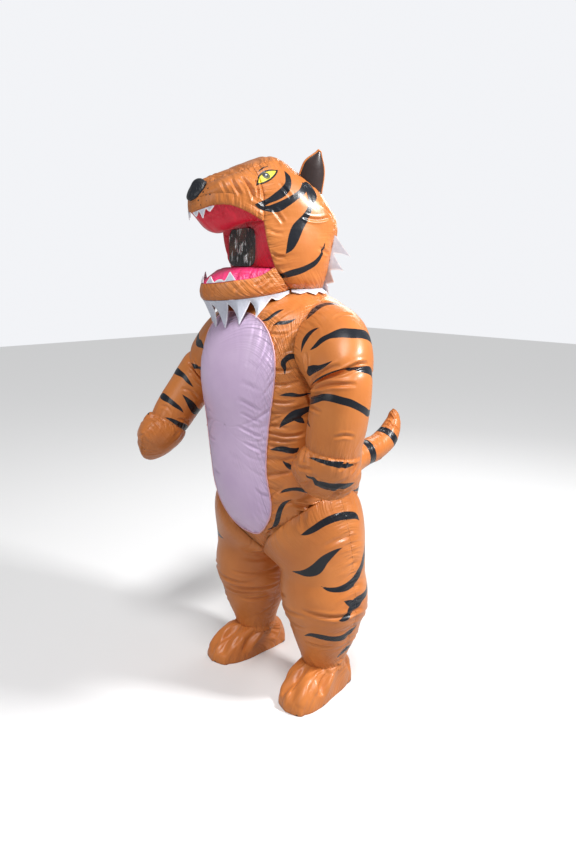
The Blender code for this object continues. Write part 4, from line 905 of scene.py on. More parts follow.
@dataclass
class Arm:
    """A sleeve from the armhole to a round cuff, and a mitt of a back and a palm."""

    trunk: Trunk
    side: int
    word: str
    table: Knots
    steps: int
    fine: int = 15
    sleeve_rows: tuple = (0.60, 0.68, 0.78, 0.89, 1.0)
    shoulder_rows: tuple = (0.0, 0.17, 0.34, 0.50, 0.63, 0.72, 0.80, 0.88)
    elbow: float = 0.76
    elbow_fold: float = 0.012
    twist: float = 0.7
    leave: tuple = (1.10, 0.40)  # how hard it leaves the armhole at the top, and how much less below
    arrive: tuple = (1.35, 0.60)  # the same where it meets the sleeve's own rings
    mitt_drop: float = 0.165
    mitt_spans: int = 6

    def cuff_axes(self) -> tuple[Array, Array, Array, Array]:
        """The path's points at the coarse rows, with the way it runs, its front and its outer side."""
        path = read(self.table, np.array(self.sleeve_rows))[:3].T
        along, front, outer = axes_along(path)
        return path, along, front, outer * self.side

    def sleeve(self) -> Array:
        """Rings about the arm's path, joined to the armhole by cubics, with a fold inside the elbow."""
        spans = self.trunk.arm_spans
        rows = spread(self.sleeve_rows, self.fine)
        values = read(self.table, rows)
        _, along, front, outer = (unit(spread(part, self.fine)) for part in self.cuff_axes())
        turn = np.arange(2 * spans * self.fine) * PI / (spans * self.fine)  # from the top, by the front
        under = (0.5 - 0.5 * np.cos(turn))[:, None]
        fade = (1 - rows) / (1 - rows[0])
        turns = turn + self.twist * fade[:, None] * under[:, 0]
        grid = values[:3].T[:, None] + spokes(turns, outer, front) * values[3][:, None, None]
        trunk = Trunk(fine=self.fine)
        hole = trunk.laid(np.concatenate([trunk.armhole_line(-1)[::-1], trunk.armhole_line(1)[1:-1]]))
        hole = mirrored(hole) if self.side < 0 else hole
        reach = np.linalg.norm(grid[0] - hole, axis=1, keepdims=True)
        below = unit(grid[0] - hole) + np.array([0.35 * self.side, 0.0, 0.0])
        leaving = np.array([self.side, 0.0, 0.04]) * (1 - under) + below * under
        leaving = unit(leaving) * reach * (self.leave[0] - self.leave[1] * under)
        arriving = along[0] * reach * (self.arrive[0] - self.arrive[1] * under)
        folded = self.elbow_fold * (0.5 + 0.5 * np.cos(turn - 0.9))[None, :, None]
        t = spread(self.shoulder_rows + (1.0,), self.fine)[:-1, None, None]
        shoulder = cubic(t, hole, leaving, grid[0], arriving)
        fold = folded * np.exp(-(((t - self.elbow) / 0.05) ** 2))
        shoulder = shoulder - unit(shoulder - shoulder.mean(1, keepdims=True)) * fold
        return np.concatenate([shoulder, grid])

    def panels(self) -> list[Panel]:
        """The sleeve, and the mitt's back and palm between the cuff's two halves and its own edge."""
        grid = self.sleeve()
        spans = self.trunk.arm_spans
        path, along, front, outer = (part[-1] for part in self.cuff_axes())
        turn = self.steps * PI / spans
        front, outer = (math.cos(turn) * front - math.sin(turn) * outer,
                        math.cos(turn) * outer + math.sin(turn) * front)
        quarter, steps = spans // 2 * self.fine, self.steps * self.fine
        back_top = np.roll(grid[-1], quarter - steps, axis=0)[: spans * self.fine + 1]
        palm_top = np.roll(grid[-1], -quarter - steps, axis=0)[: spans * self.fine + 1][::-1]

        def at(across: float, down: float) -> Array:
            """A point of the mitt's edge."""
            return path + front * across + along * down

        count = self.mitt_spans * self.fine
        behind = curve([back_top[0], at(-0.100, 0.035), at(-0.106, 0.085), at(-0.074, 0.140)], count)
        ahead = curve([back_top[-1], at(0.110, 0.030), at(0.126, 0.080), at(0.090, 0.138)], count)
        tip = curve([behind[-1], at(-0.035, self.mitt_drop), at(0.040, self.mitt_drop), ahead[-1]],
                    spans * self.fine)
        core = path + along * 0.07
        back = swelled(coons(tip, back_top, behind[::-1], ahead[::-1]), outer * 0.036)
        palm = swelled(coons(tip, palm_top, behind[::-1], ahead[::-1]), outer * -0.030)
        group = f"arm_{self.word}"
        hand = {**dict.fromkeys(EDGES, SEAM_GATHER), "high": Gather(0.02, 0.003, 0.045)}
        cuffs = {"low": Gather(0.024, 0.0024, 0.07), "high": Gather(0.022, 0.0014, 0.03)}
        sleeve_core, mitt_group = grid.mean(1, keepdims=True), f"mitt_{self.word}"
        return [
            Panel(f"sleeve_{self.word}", grid, sleeve_core, True, Cloth.ORANGE, group, cuffs, lip=0.011),
            Panel(f"mitt_back_{self.word}", back, core - outer * 0.1, False, Cloth.ORANGE, mitt_group, hand),
            Panel(f"mitt_palm_{self.word}", palm, core + outer * 0.1, False, Cloth.ORANGE, "", hand),
        ]


@dataclass
class Tail:
    """Two halves of a tail that turns up at its end."""

    trunk: Trunk
    fine: int = 15

    def half(self, side: int, name: str) -> Panel:
        """Half rings carried along the tail's path, the first laid on the trunk's back."""
        rows = np.linspace(0.0, 1.0, 10 * self.fine + 1)
        along_y, height, radius = read(TAIL, rows)
        path = np.stack([np.zeros(len(rows)), along_y, height], -1)
        way = unit(np.gradient(path, axis=0))
        over = np.stack([np.zeros(len(rows)), -way[:, 2], way[:, 1]], -1)
        turn = np.linspace(0.0, PI, 6 * self.fine + 1)
        radius[-1] = 0.0
        grid = path[:, None] + spokes(turn, over, np.array([side, 0.0, 0.0])) * radius[:, None, None]
        half_width, half_depth, centre, power = read(BODY, grid[0, :, 2])
        share = np.abs(grid[0, :, 0] / half_width) ** power
        root = grid[0].copy()
        root[:, 1] = centre + half_depth * (1 - share) ** (1 / power)
        fade = np.clip(1 - np.arange(len(rows)) / self.fine, 0.0, 1.0)[:, None, None]
        grid = grid + (root - grid[0])[None] * fade
        gathers = {"low": Gather(0.022, 0.002, 0.04),
                   **dict.fromkeys(("left", "right"), Gather(0.018, 0.0018, 0.045))}
        return Panel(name, grid, path[:, None], False, Cloth.ORANGE, "tail", gathers)

    def panels(self) -> list[Panel]:
        """Both halves."""
        return [self.half(1, "tail_left"), self.half(-1, "tail_right")]


NOSE_TOP = (0.042, 0.366, 1.802)
GUSSET_JOIN = (0.105, 0.212, 1.868)
CROWN_END = (0.120, -0.115, 1.715)
MOUTH_TOP = (0.160, 0.199, 1.668)
MOUTH_LOW = (0.160, 0.154, 1.510)
LIP_FRONT = (0.0, 0.400, 1.700)
NOSE_LOW = (0.0, 0.400, 1.745)
HEAD_SEAMS = {  # left, forward, height
    "gusset_front": (NOSE_TOP, (0.075, 0.308, 1.826), GUSSET_JOIN),
    "gusset_back": (GUSSET_JOIN, (0.113, 0.116, 1.893), (0.130, 0.034, 1.845), (0.139, -0.045, 1.790),
                    CROWN_END),
    "muzzle": (GUSSET_JOIN, (0.150, 0.205, 1.800), (0.165, 0.199, 1.730), MOUTH_TOP),
    "upper_lip": (MOUTH_TOP, (0.152, 0.260, 1.700), (0.130, 0.317, 1.722), (0.100, 0.360, 1.722),
                  (0.050, 0.388, 1.710), LIP_FRONT),
    "nose_edge": (NOSE_LOW, (0.036, 0.392, 1.757), (0.050, 0.379, 1.778), NOSE_TOP),
    "mouth_edge": (MOUTH_TOP, (0.163, 0.185, 1.590), MOUTH_LOW),
    "lower_lip": (MOUTH_LOW, (0.142, 0.206, 1.479), (0.110, 0.290, 1.463), (0.055, 0.335, 1.454),
                  (0.0, 0.350, 1.451)),
}
JAW_BOTTOM = ((0.142, 0.130, 1.418), (0.140, 0.195, 1.408), (0.118, 0.268, 1.399), (0.060, 0.325, 1.393),
              (0.0, 0.342, 1.392))
CHEEK_BACK = ((0.150, -0.112, 1.660), (0.146, -0.100, 1.580), (0.128, -0.090, 1.490))
SEAM_SPANS = {"gusset_front": 6, "gusset_back": 7, "muzzle": 4, "upper_lip": 6, "nose_edge": 3,
              "mouth_edge": 4, "lower_lip": 5}


@dataclass
class Head:
    """The roaring head, turned towards its right: cheeks, muzzles, crown, back, nose, mouth and jaw."""

    trunk: Trunk
    fine: int = 13
    yaw: float = math.radians(10)
    window: tuple = ((-0.128, 0.078), (1.512, 1.655))
    window_forward: float = 0.186
    window_power: float = 0.42  # below one for squarer corners
    mouth_halves: tuple = (0.16, 0.085)
    nose_stretch: float = 0.45
    nose_spread: float = 1.08
    nose_slope: float = 0.010
    nose_height: float = 0.026
    seams: dict = field(default_factory=dict)
    found: dict = field(default_factory=dict)

    def at(self, *points: Sequence[float]) -> Array:
        """Points of the head, given as (to its left, forward, height), turned as the head is turned."""
        turn, ahead = math.cos(self.yaw), math.sin(self.yaw)
        points = np.asarray(points, float)
        left, forward = np.array([turn, -ahead, 0.0]), np.array([-ahead, -turn, 0.0])
        return points[:, :1] * left + points[:, 1:2] * forward - points[:, 2:] * DOWN

    def on_side(self, sign: int, *points: Sequence[float]) -> Array:
        """Points of the head's left side, or for sign -1 the same ones on its right."""
        return self.at(*((sign * left, forward, height) for left, forward, height in points))

    def seam_lines(self) -> dict:
        """Every seam of the head as points, by name, on the left and the right."""
        front, side, _ = self.trunk.neck_angles(self.fine)
        neck_z, seams = self.trunk.neck_z, {}
        for word, sign in SIDES:
            found = {name: curve(self.on_side(sign, *HEAD_SEAMS[name]), count * self.fine)
                     for name, count in SEAM_SPANS.items()}
            neck_front = self.trunk.point(sign * front[-1], neck_z)
            neck_back = self.trunk.point(sign * side[-1], neck_z)
            end = self.on_side(sign, MOUTH_LOW, (0.158, 0.115, 1.462))
            found["jaw_end"] = curve([*end, neck_front], 2 * self.fine)
            found["jaw_bottom"] = curve([neck_front, *self.on_side(sign, *JAW_BOTTOM)], 5 * self.fine)
            back = self.on_side(sign, CROWN_END, *CHEEK_BACK)
            found["cheek_back"] = curve([*back, neck_back], 10 * self.fine)
            found["neck_side"] = self.trunk.point(sign * side, np.full(len(side), neck_z))
            found["philtrum"] = spread(self.on_side(sign, LIP_FRONT, NOSE_LOW), self.fine)
            seams[word] = found
        return seams

    def both(self, name: str) -> Array:
        """A seam that runs from the left to the middle and on to the right, as one line."""
        return chain(self.seams["left"][name], self.seams["right"][name][::-1])

    def sides(self) -> list[Panel]:
        """The cheeks and the muzzles."""
        made = []
        core, snout = self.at((0.0, 0.02, 1.62))[0], self.at((0.0, 0.27, 1.76))[0]
        for word in ("left", "right"):
            s = self.seams[word]
            front = chain(s["muzzle"], s["mouth_edge"], s["jaw_end"])
            cheek = coons(s["neck_side"], s["gusset_back"], front[::-1], s["cheek_back"][::-1])
            middle = chain(s["philtrum"], s["nose_edge"])
            muzzle = coons(s["upper_lip"], s["gusset_front"][::-1], s["muzzle"][::-1], middle)
            ends = {"low": Gather(0.02, 0.0040, 0.05), "high": SEAM_GATHER,
                    "left": Gather(0.02, 0.0036, 0.05), "right": Gather(0.022, 0.0040, 0.07)}
            lips = {"low": Gather(0.014, 0.0034, 0.040), "high": Gather(0.02, 0.0034, 0.05, 0.3),
                    "left": Gather(0.02, 0.0042, 0.055), "right": Gather(0.016, 0.001, 0.02)}
            made.append(Panel(f"cheek_{word}", puffed(cheek, core, 0.016), core, False, Cloth.ORANGE,
                              f"head_{word}", ends))
            made.append(Panel(f"muzzle_{word}", puffed(muzzle, snout, 0.014), snout, False, Cloth.ORANGE,
                              f"head_{word}", lips))
        return made

    def top(self) -> list[Panel]:
        """The crown's gusset, the back of the head and the nose."""
        left, right = self.seams["left"], self.seams["right"]
        core = self.at((0.0, 0.05, 1.66))[0]
        spans = 8 * self.fine
        bridge = curve([left["gusset_front"][0], *self.at((0.0, 0.372, 1.812)), right["gusset_front"][0]],
                       spans)
        nape = curve([left["gusset_back"][-1],
                      *self.at((0.07, -0.142, 1.733), (0.0, -0.150, 1.738), (-0.07, -0.142, 1.733)),
                      right["gusset_back"][-1]], spans)
        crown = coons(nape, bridge, chain(left["gusset_front"], left["gusset_back"])[::-1],
                      chain(right["gusset_front"], right["gusset_back"])[::-1])
        angles = self.trunk.neck_angles(self.fine)[2]
        ring = self.trunk.point(np.concatenate([angles, 2 * PI - angles[-2::-1]]), self.trunk.neck_z)
        back = coons(ring, nape, left["cheek_back"][::-1], right["cheek_back"][::-1])
        edge = np.concatenate([left["nose_edge"], bridge[1:], right["nose_edge"][::-1][1:-1]])
        shares = spread([0.0, 0.35, 0.72, 1.0], self.fine)
        taller = 1.0 + self.nose_stretch * (edge[:, 2:] - edge[:, 2].min()) / np.ptp(edge[:, 2])
        edge = edge.mean(0) + (edge - edge.mean(0)) * self.nose_spread * (LEVEL - DOWN * taller)
        edge = edge + self.at((0.0, -self.nose_slope, 0.0))[0] * (taller - 1.0)
        dome = self.nose_height * np.sqrt(np.clip(1 - (1 - shares) ** 2, 0, 1))
        pad = blend(edge, edge.mean(0), shares) + self.at((0.0, 1.0, 0.0))[0] * dome[:, None, None]
        return [
            Panel("crown", puffed(crown, core, 0.005), core, False, Cloth.ORANGE, "crown",
                  dict.fromkeys(EDGES, Gather(0.022, 0.0038, 0.05))),
            Panel("head_back", puffed(back, core, 0.034), core, False, Cloth.ORANGE, "head_back",
                  dict.fromkeys(EDGES, Gather(0.022, 0.0040, 0.07))),
            Panel("nose", pad, self.at((0.0, 0.3, 1.78))[0], True, Cloth.BLACK, "", {}, 0.001, 0.0006),
        ]

    def throat(self) -> list[Panel]:
        """The throat round its window, the window, the palate and the mouth's floor."""
        left, right = self.seams["left"]["mouth_edge"], self.seams["right"]["mouth_edge"]
        top = curve([left[0], *self.at((0.0, 0.196, 1.678)), right[0]], 12 * self.fine)
        low = curve([left[-1], *self.at((0.0, 0.168, 1.500)), right[-1]], 10 * self.fine)
        outer = np.concatenate([top[:-1], right[:-1], low[:0:-1], left[:0:-1]])
        (low_x, high_x), (low_z, high_z) = self.window
        centre = self.at(((low_x + high_x) / 2, self.window_forward, (low_z + high_z) / 2))[0]
        leftward = self.at((1.0, 0.0, 0.0))[0]
        middle = outer.mean(0)
        half_width, half_height = self.mouth_halves
        turn = np.arctan2((outer[:, 2] - middle[2]) / half_height, (outer - middle) @ leftward / half_width)
        across = np.sign(np.cos(turn)) * np.abs(np.cos(turn)) ** self.window_power * (high_x - low_x) / 2
        up = np.sign(np.sin(turn)) * np.abs(np.sin(turn)) ** self.window_power * (high_z - low_z) / 2
        rim = centre + across[:, None] * leftward - up[:, None] * DOWN
        inside = self.at((0.0, -0.1, 1.6))[0]
        panel = rings(rim, outer, 2 * self.fine, 0.002, inside)
        window = blend(rim, centre, np.linspace(0.0, 1.0, 2 * self.fine + 1))
        above, below = self.at((0.0, 0.28, 1.80))[0], self.at((0.0, 0.26, 1.42))[0]
        roof = lens(top, self.both("upper_lip"), 4 * self.fine, 0.056, above, 1.5)
        floor = lens(low, self.both("lower_lip"), 4 * self.fine, 0.026, below)
        gum = {"low": Gather(0.022, 0.0030, 0.04), "high": Gather(0.015, 0.0056, 0.065)}
        return [
            Panel("throat", panel, inside, True, Cloth.RED, "throat",
                  {"low": SEAM_GATHER, "high": SEAM_GATHER}),
            Panel("window", window, inside, True, Cloth.FILM, "", {}, 0.0, 0.0022),
            Panel("palate", roof, above, False, Cloth.RED, "palate", gum),
            Panel("mouth_floor", floor, below, False, Cloth.PINK, "floor", gum),
        ]

    def jaw(self) -> list[Panel]:
        """The band round the lower jaw and the jaw's underside."""
        left, right = self.seams["left"], self.seams["right"]
        bottom = self.both("jaw_bottom")
        core = self.at((0.0, 0.2, 1.44))[0]
        band = coons(bottom, self.both("lower_lip"), left["jaw_end"][::-1], right["jaw_end"][::-1])
        front = self.trunk.neck_angles(self.fine)[0]
        arc = self.trunk.point(np.concatenate([front[::-1], -front[1:]]), self.trunk.neck_z)
        return [
            Panel("jaw_band", puffed(band, core, 0.010), core, False, Cloth.ORANGE, "jaw",
                  {**dict.fromkeys(EDGES, Gather(0.016, 0.0036, 0.04)), "low": Gather(0.018, 0.0028, 0.03),
                   "high": Gather(0.016, 0.0030, 0.04)}),
            Panel("jaw_under", lens(arc, bottom, 4 * self.fine, 0.004, core), core, False, Cloth.ORANGE, "",
                  {"low": SEAM_GATHER, "high": SEAM_GATHER}),
        ]

    def panels(self) -> list[Panel]:
        """Every cloth panel of the head."""
        self.seams = self.seam_lines()
        made = self.sides() + self.top() + self.throat() + self.jaw()
        self.found = {panel.name: panel for panel in made}
        return made


@dataclass
class Plate:
    """A flat cut piece with a real thickness: an outer grid and the same grid moved by its thickness."""

    name: str
    grid: Array
    thick: Array
    cloth: Cloth


def zigzag(spans: int, points: int, short: float, tall: Sequence[float], power: float = 1.4) -> Array:
    """Lengths along a strip: short plus the height times a triangle wave raised to a power.

    Args:
        spans: Spans for each point of the strip.
        points: How many points it has.
        short: The length between points.
        tall: The length at each point's tip.
        power: Above one for points with hollow sides.

    Returns:
        A length for each place along the strip.
    """
    place = np.arange(spans * points + 1) / spans
    peak = 1 - np.abs(2 * (place - np.floor(place)) - 1)
    return short + (np.interp(place, np.arange(len(tall)) + 0.5, tall) - short) * peak**power


@dataclass
class Trim:
    """The felt ruff and teeth, and the ears."""

    trunk: Trunk
    head: Head
    wall: float = 0.002
    ruff_points: tuple = (0.022, 0.074, 0.090, 0.100, 0.100, 0.090, 0.074, 0.022)
    low_ruff: tuple = (0.030, 0.028, 0.030, 0.024)
    tooth_rows: tuple = (  # lip, way up, start and end in spans, and each tooth's height
        ("upper", -1.0, 3.8, 5.8, (0.018, 0.034, 0.020)),
        ("lower", 1.0, 2.62, 4.75, (0.034, 0.010, 0.026)),
    )
    clear: float = 0.006
    gap: float = 0.0008
    rows: int = 12
    tooth_wall: float = 0.0024
    tooth_lean: float = 0.12
    ear_tip: tuple = (0.168, -0.030, 1.932)
    ear_blunt: float = 0.006
    ear_foot: float = 0.30
    ear_bow: float = 0.010
    ear_gap: float = 0.00015
    ear_wall: float = 0.0015

    def strip(self, start: Array, end: Array) -> Array:
        """Rows from one line to another."""
        return blend(start, end, np.linspace(0.0, 1.0, self.rows + 1))

    def ruff(self) -> list[Plate]:
        """Flame points under the jaw, hanging clear of the chest, and behind each cheek."""
        made, fine = [], self.head.fine
        for word, sign in SIDES:
            cheek, neck = (self.head.seams[word][name] for name in ("cheek_back", "neck_side"))
            base = np.concatenate([cheek[3 * fine :], neck[-2::-1]])
            turned = np.clip((np.arange(len(base)) / fine - 6.0) / 1.6, 0.0, 1.0)[:, None]
            away = self.head.on_side(sign, (0.62, -0.78, 0.0))[0] * (1 - turned) + unit(base * LEVEL) * turned
            reach = np.concatenate([zigzag(2 * fine, 3, 0.010, (0.066, 0.052, 0.030)),
                                    zigzag(2 * fine, 4, 0.014, self.low_ruff, 1.1)[1:]])
            base = base + away * (self.gap + 0.0016 * turned)
            tip = base + (away * (1 - 0.25 * turned) + DOWN * (0.75 - 0.09 * turned)) * reach[:, None]
            side = unit(np.cross(np.gradient(base, axis=0), away))
            made.append(Plate(f"ruff_{word}", self.strip(base, tip), side * self.wall, Cloth.FELT))
        spans = 3 * fine
        line = curve(self.head.both("jaw_bottom")[2:-2], spans * len(self.ruff_points))
        reach = zigzag(spans, len(self.ruff_points), 0.012, self.ruff_points, 1.15)
        radial = unit(line * LEVEL)
        start = line + DOWN * self.gap
        angle = np.arctan2(line[:, 0], -line[:, 1])
        low = start + DOWN * reach[:, None]
        target = self.trunk.point(angle, np.clip(low[:, 2], 1.25, self.trunk.neck_z)) + radial * self.clear
        tip = low + (target - low) * LEVEL * np.clip(reach / 0.1, 0.0, 1.0)[:, None]
        grid = self.strip(start, tip)
        centre = read(BODY, grid[..., 2])[2]
        axis = np.stack([np.zeros_like(centre), centre, grid[..., 2]], -1)
        spoke = grid - axis
        angle = np.arctan2(spoke[..., 0], -spoke[..., 1])
        limit = np.linalg.norm(self.trunk.point(angle, grid[..., 2]) - axis, axis=-1) + self.clear
        size = np.linalg.norm(spoke, axis=-1)
        grid[1:] = (axis + spoke * np.maximum(1.0, limit / size)[..., None])[1:]
        made.append(Plate("ruff_front", grid, radial * self.wall, Cloth.FELT))
        return made

    def teeth(self) -> list[Plate]:
        """Felt teeth along the lips, three to a side above and below."""
        made, fine = [], self.head.fine
        middle = self.head.at((0.0, 0.22, 1.6))[0]
        for word in ("left", "right"):
            for place, way, first, last, tall in self.tooth_rows:
                seam = self.head.seams[word][f"{place}_lip"]
                line = curve(seam[round(first * fine) : round(last * fine) + 1], fine * len(tall))
                reach = zigzag(fine, len(tall), 0.002, tall, 1.0)
                inward = unit((middle - line) * LEVEL)
                up = -DOWN * way
                base = line + up * 0.0014 + inward * 0.0004
                tip = base + up * reach[:, None] + inward * (reach * self.tooth_lean)[:, None]
                wall = -inward * self.tooth_wall
                made.append(Plate(f"teeth_{place}_{word}", self.strip(base, tip), wall, Cloth.FELT))
        return made

    def ears(self) -> list[Plate]:
        """The ears: an orange back and a dark front, bowed apart, standing over the crown's seam."""
        made, fine = [], self.head.fine
        span = slice(7 * fine // 2, 11 * fine // 2 + 1)
        for word, sign in SIDES:
            beside = fine if sign > 0 else -1 - fine
            lift = self.head.on_side(sign, (0.55, 0.0, 0.84))[0] * 0.0016
            seam = self.head.seams[word]["gusset_back"][span]
            cheek = self.head.found[f"cheek_{word}"].grid[-1 - fine][span]
            crown = self.head.found["crown"].grid[7 * fine :: -1, beside][span]
            tip = self.head.on_side(sign, self.ear_tip)[0]
            ahead, behind = self.head.at((0.0, 0.020, 0.004), (0.0, -0.016, 0.012))
            fore = curve([seam[0] + lift, (seam[0] + tip) / 2 + ahead, tip], 6 * fine)
            rear = curve([seam[-1] + lift, (seam[-1] + tip) / 2 + behind, tip], 6 * fine)
            blunt = unit(seam[-1] - seam[0]) * self.ear_blunt * spread([0.0, 1.0], 6 * fine)[:, None] ** 6
            fore, rear = fore - blunt, rear + blunt
            top = np.linspace(fore[-1], rear[-1], len(seam))
            bow = arch(len(seam))[:, None] ** 0.7
            side = unit(np.cross(seam[0] - seam[-1], tip - seam[len(seam) // 2]))
            side = side * np.sign(side[0] * sign)
            ramp = arch(6 * fine + 1)[:, None, None] ** 0.8
            for name, foot, way, cloth in (("ear_front", cheek, 1, Cloth.DARK),
                                           ("ear_back", crown, -1, Cloth.ORANGE)):
                base = seam + (foot - seam) * bow * self.ear_foot + lift
                grid = coons(base, top, fore, rear)
                grid = grid + side * way * (self.ear_gap + self.ear_bow * bow[None] * ramp)
                made.append(Plate(f"{name}_{word}", grid, side[None] * way * self.ear_wall, cloth))
        return made


def grid_faces(rows: int, columns: int, wrap: bool) -> Array:
    """The four corners of each cell of a grid, as numbers of its points.

    Args:
        rows: Rows of points.
        columns: Columns of points.
        wrap: Whether the last column is sewn to the first.

    Returns:
        One row of four numbers for each cell.
    """
    j = np.arange(columns if wrap else columns - 1)
    k = (j + 1) % columns
    i = np.arange(rows - 1)[:, None] * columns
    return np.stack([i + j, i + k, i + columns + k, i + columns + j], -1).reshape(-1, 4)


def build_mesh(name: str, points: Array, faces: Array, uv: Array | None = None,
               values: dict[str, Array] | None = None) -> bpy.types.Object:
    """A smooth mesh object from points and four-sided faces; a face with a doubled corner gets three.

    Args:
        name: The object's name.
        points: The points, in the costume's own place.
        faces: Numbers of four points to a face.
        uv: Two measures in metres for each face's corners, or none.
        values: Named numbers for each point.

    Returns:
        The object, linked to the scene.
    """
    mesh = bpy.data.meshes.new(name)
    points = points.reshape(-1, 3)
    keys = np.round(points / WELD).astype(np.int64)
    _, first, inverse = np.unique(keys, axis=0, return_index=True, return_inverse=True)
    same = first[inverse.ravel()]
    faces = same[faces]
    kept = faces != np.roll(faces, -1, axis=1)
    whole = kept.sum(1) >= 3
    faces, kept = faces[whole], kept[whole]
    used, flat = np.unique(faces[kept], return_inverse=True)
    totals = kept.sum(1)
    mesh.vertices.add(len(used))
    mesh.vertices.foreach_set("co", (points[used] - MIDDLE).astype(np.float32).ravel())
    mesh.loops.add(int(totals.sum()))
    mesh.loops.foreach_set("vertex_index", flat.astype(np.int32).ravel())
    mesh.polygons.add(len(totals))
    mesh.polygons.foreach_set("loop_start", np.concatenate([[0], np.cumsum(totals)[:-1]]).astype(np.int32))
    if uv is not None:
        layer = mesh.uv_layers.new(name="cloth")
        layer.data.foreach_set("uv", uv[whole][kept].astype(np.float32).ravel())
    mesh.update(calc_edges=True)
    mesh.validate()
    for key, value in (values or {}).items():
        held = mesh.attributes.new(key, "FLOAT", "POINT")
        held.data.foreach_set("value", value.ravel()[used].astype(np.float32))
    mesh.shade_smooth()
    thing = bpy.data.objects.new(name, mesh)
    bpy.context.scene.collection.objects.link(thing)
    return thing


def corners_uv(down: Array, across: Array, wrap: bool) -> Array:
    """The two running lengths at each cell's corners, with the seam column measured on round the ring."""
    if wrap:
        step = across[:, -1:] + (across[:, -1:] - across[:, -2:-1])
        across = np.concatenate([across, step], 1)
        down = np.concatenate([down, down[:, :1]], 1)
    both = np.stack([across, down], -1)
    cells = [both[:-1, :-1], both[:-1, 1:], both[1:, 1:], both[1:, :-1]]
    return np.stack(cells, 2).reshape(-1, 4, 2)


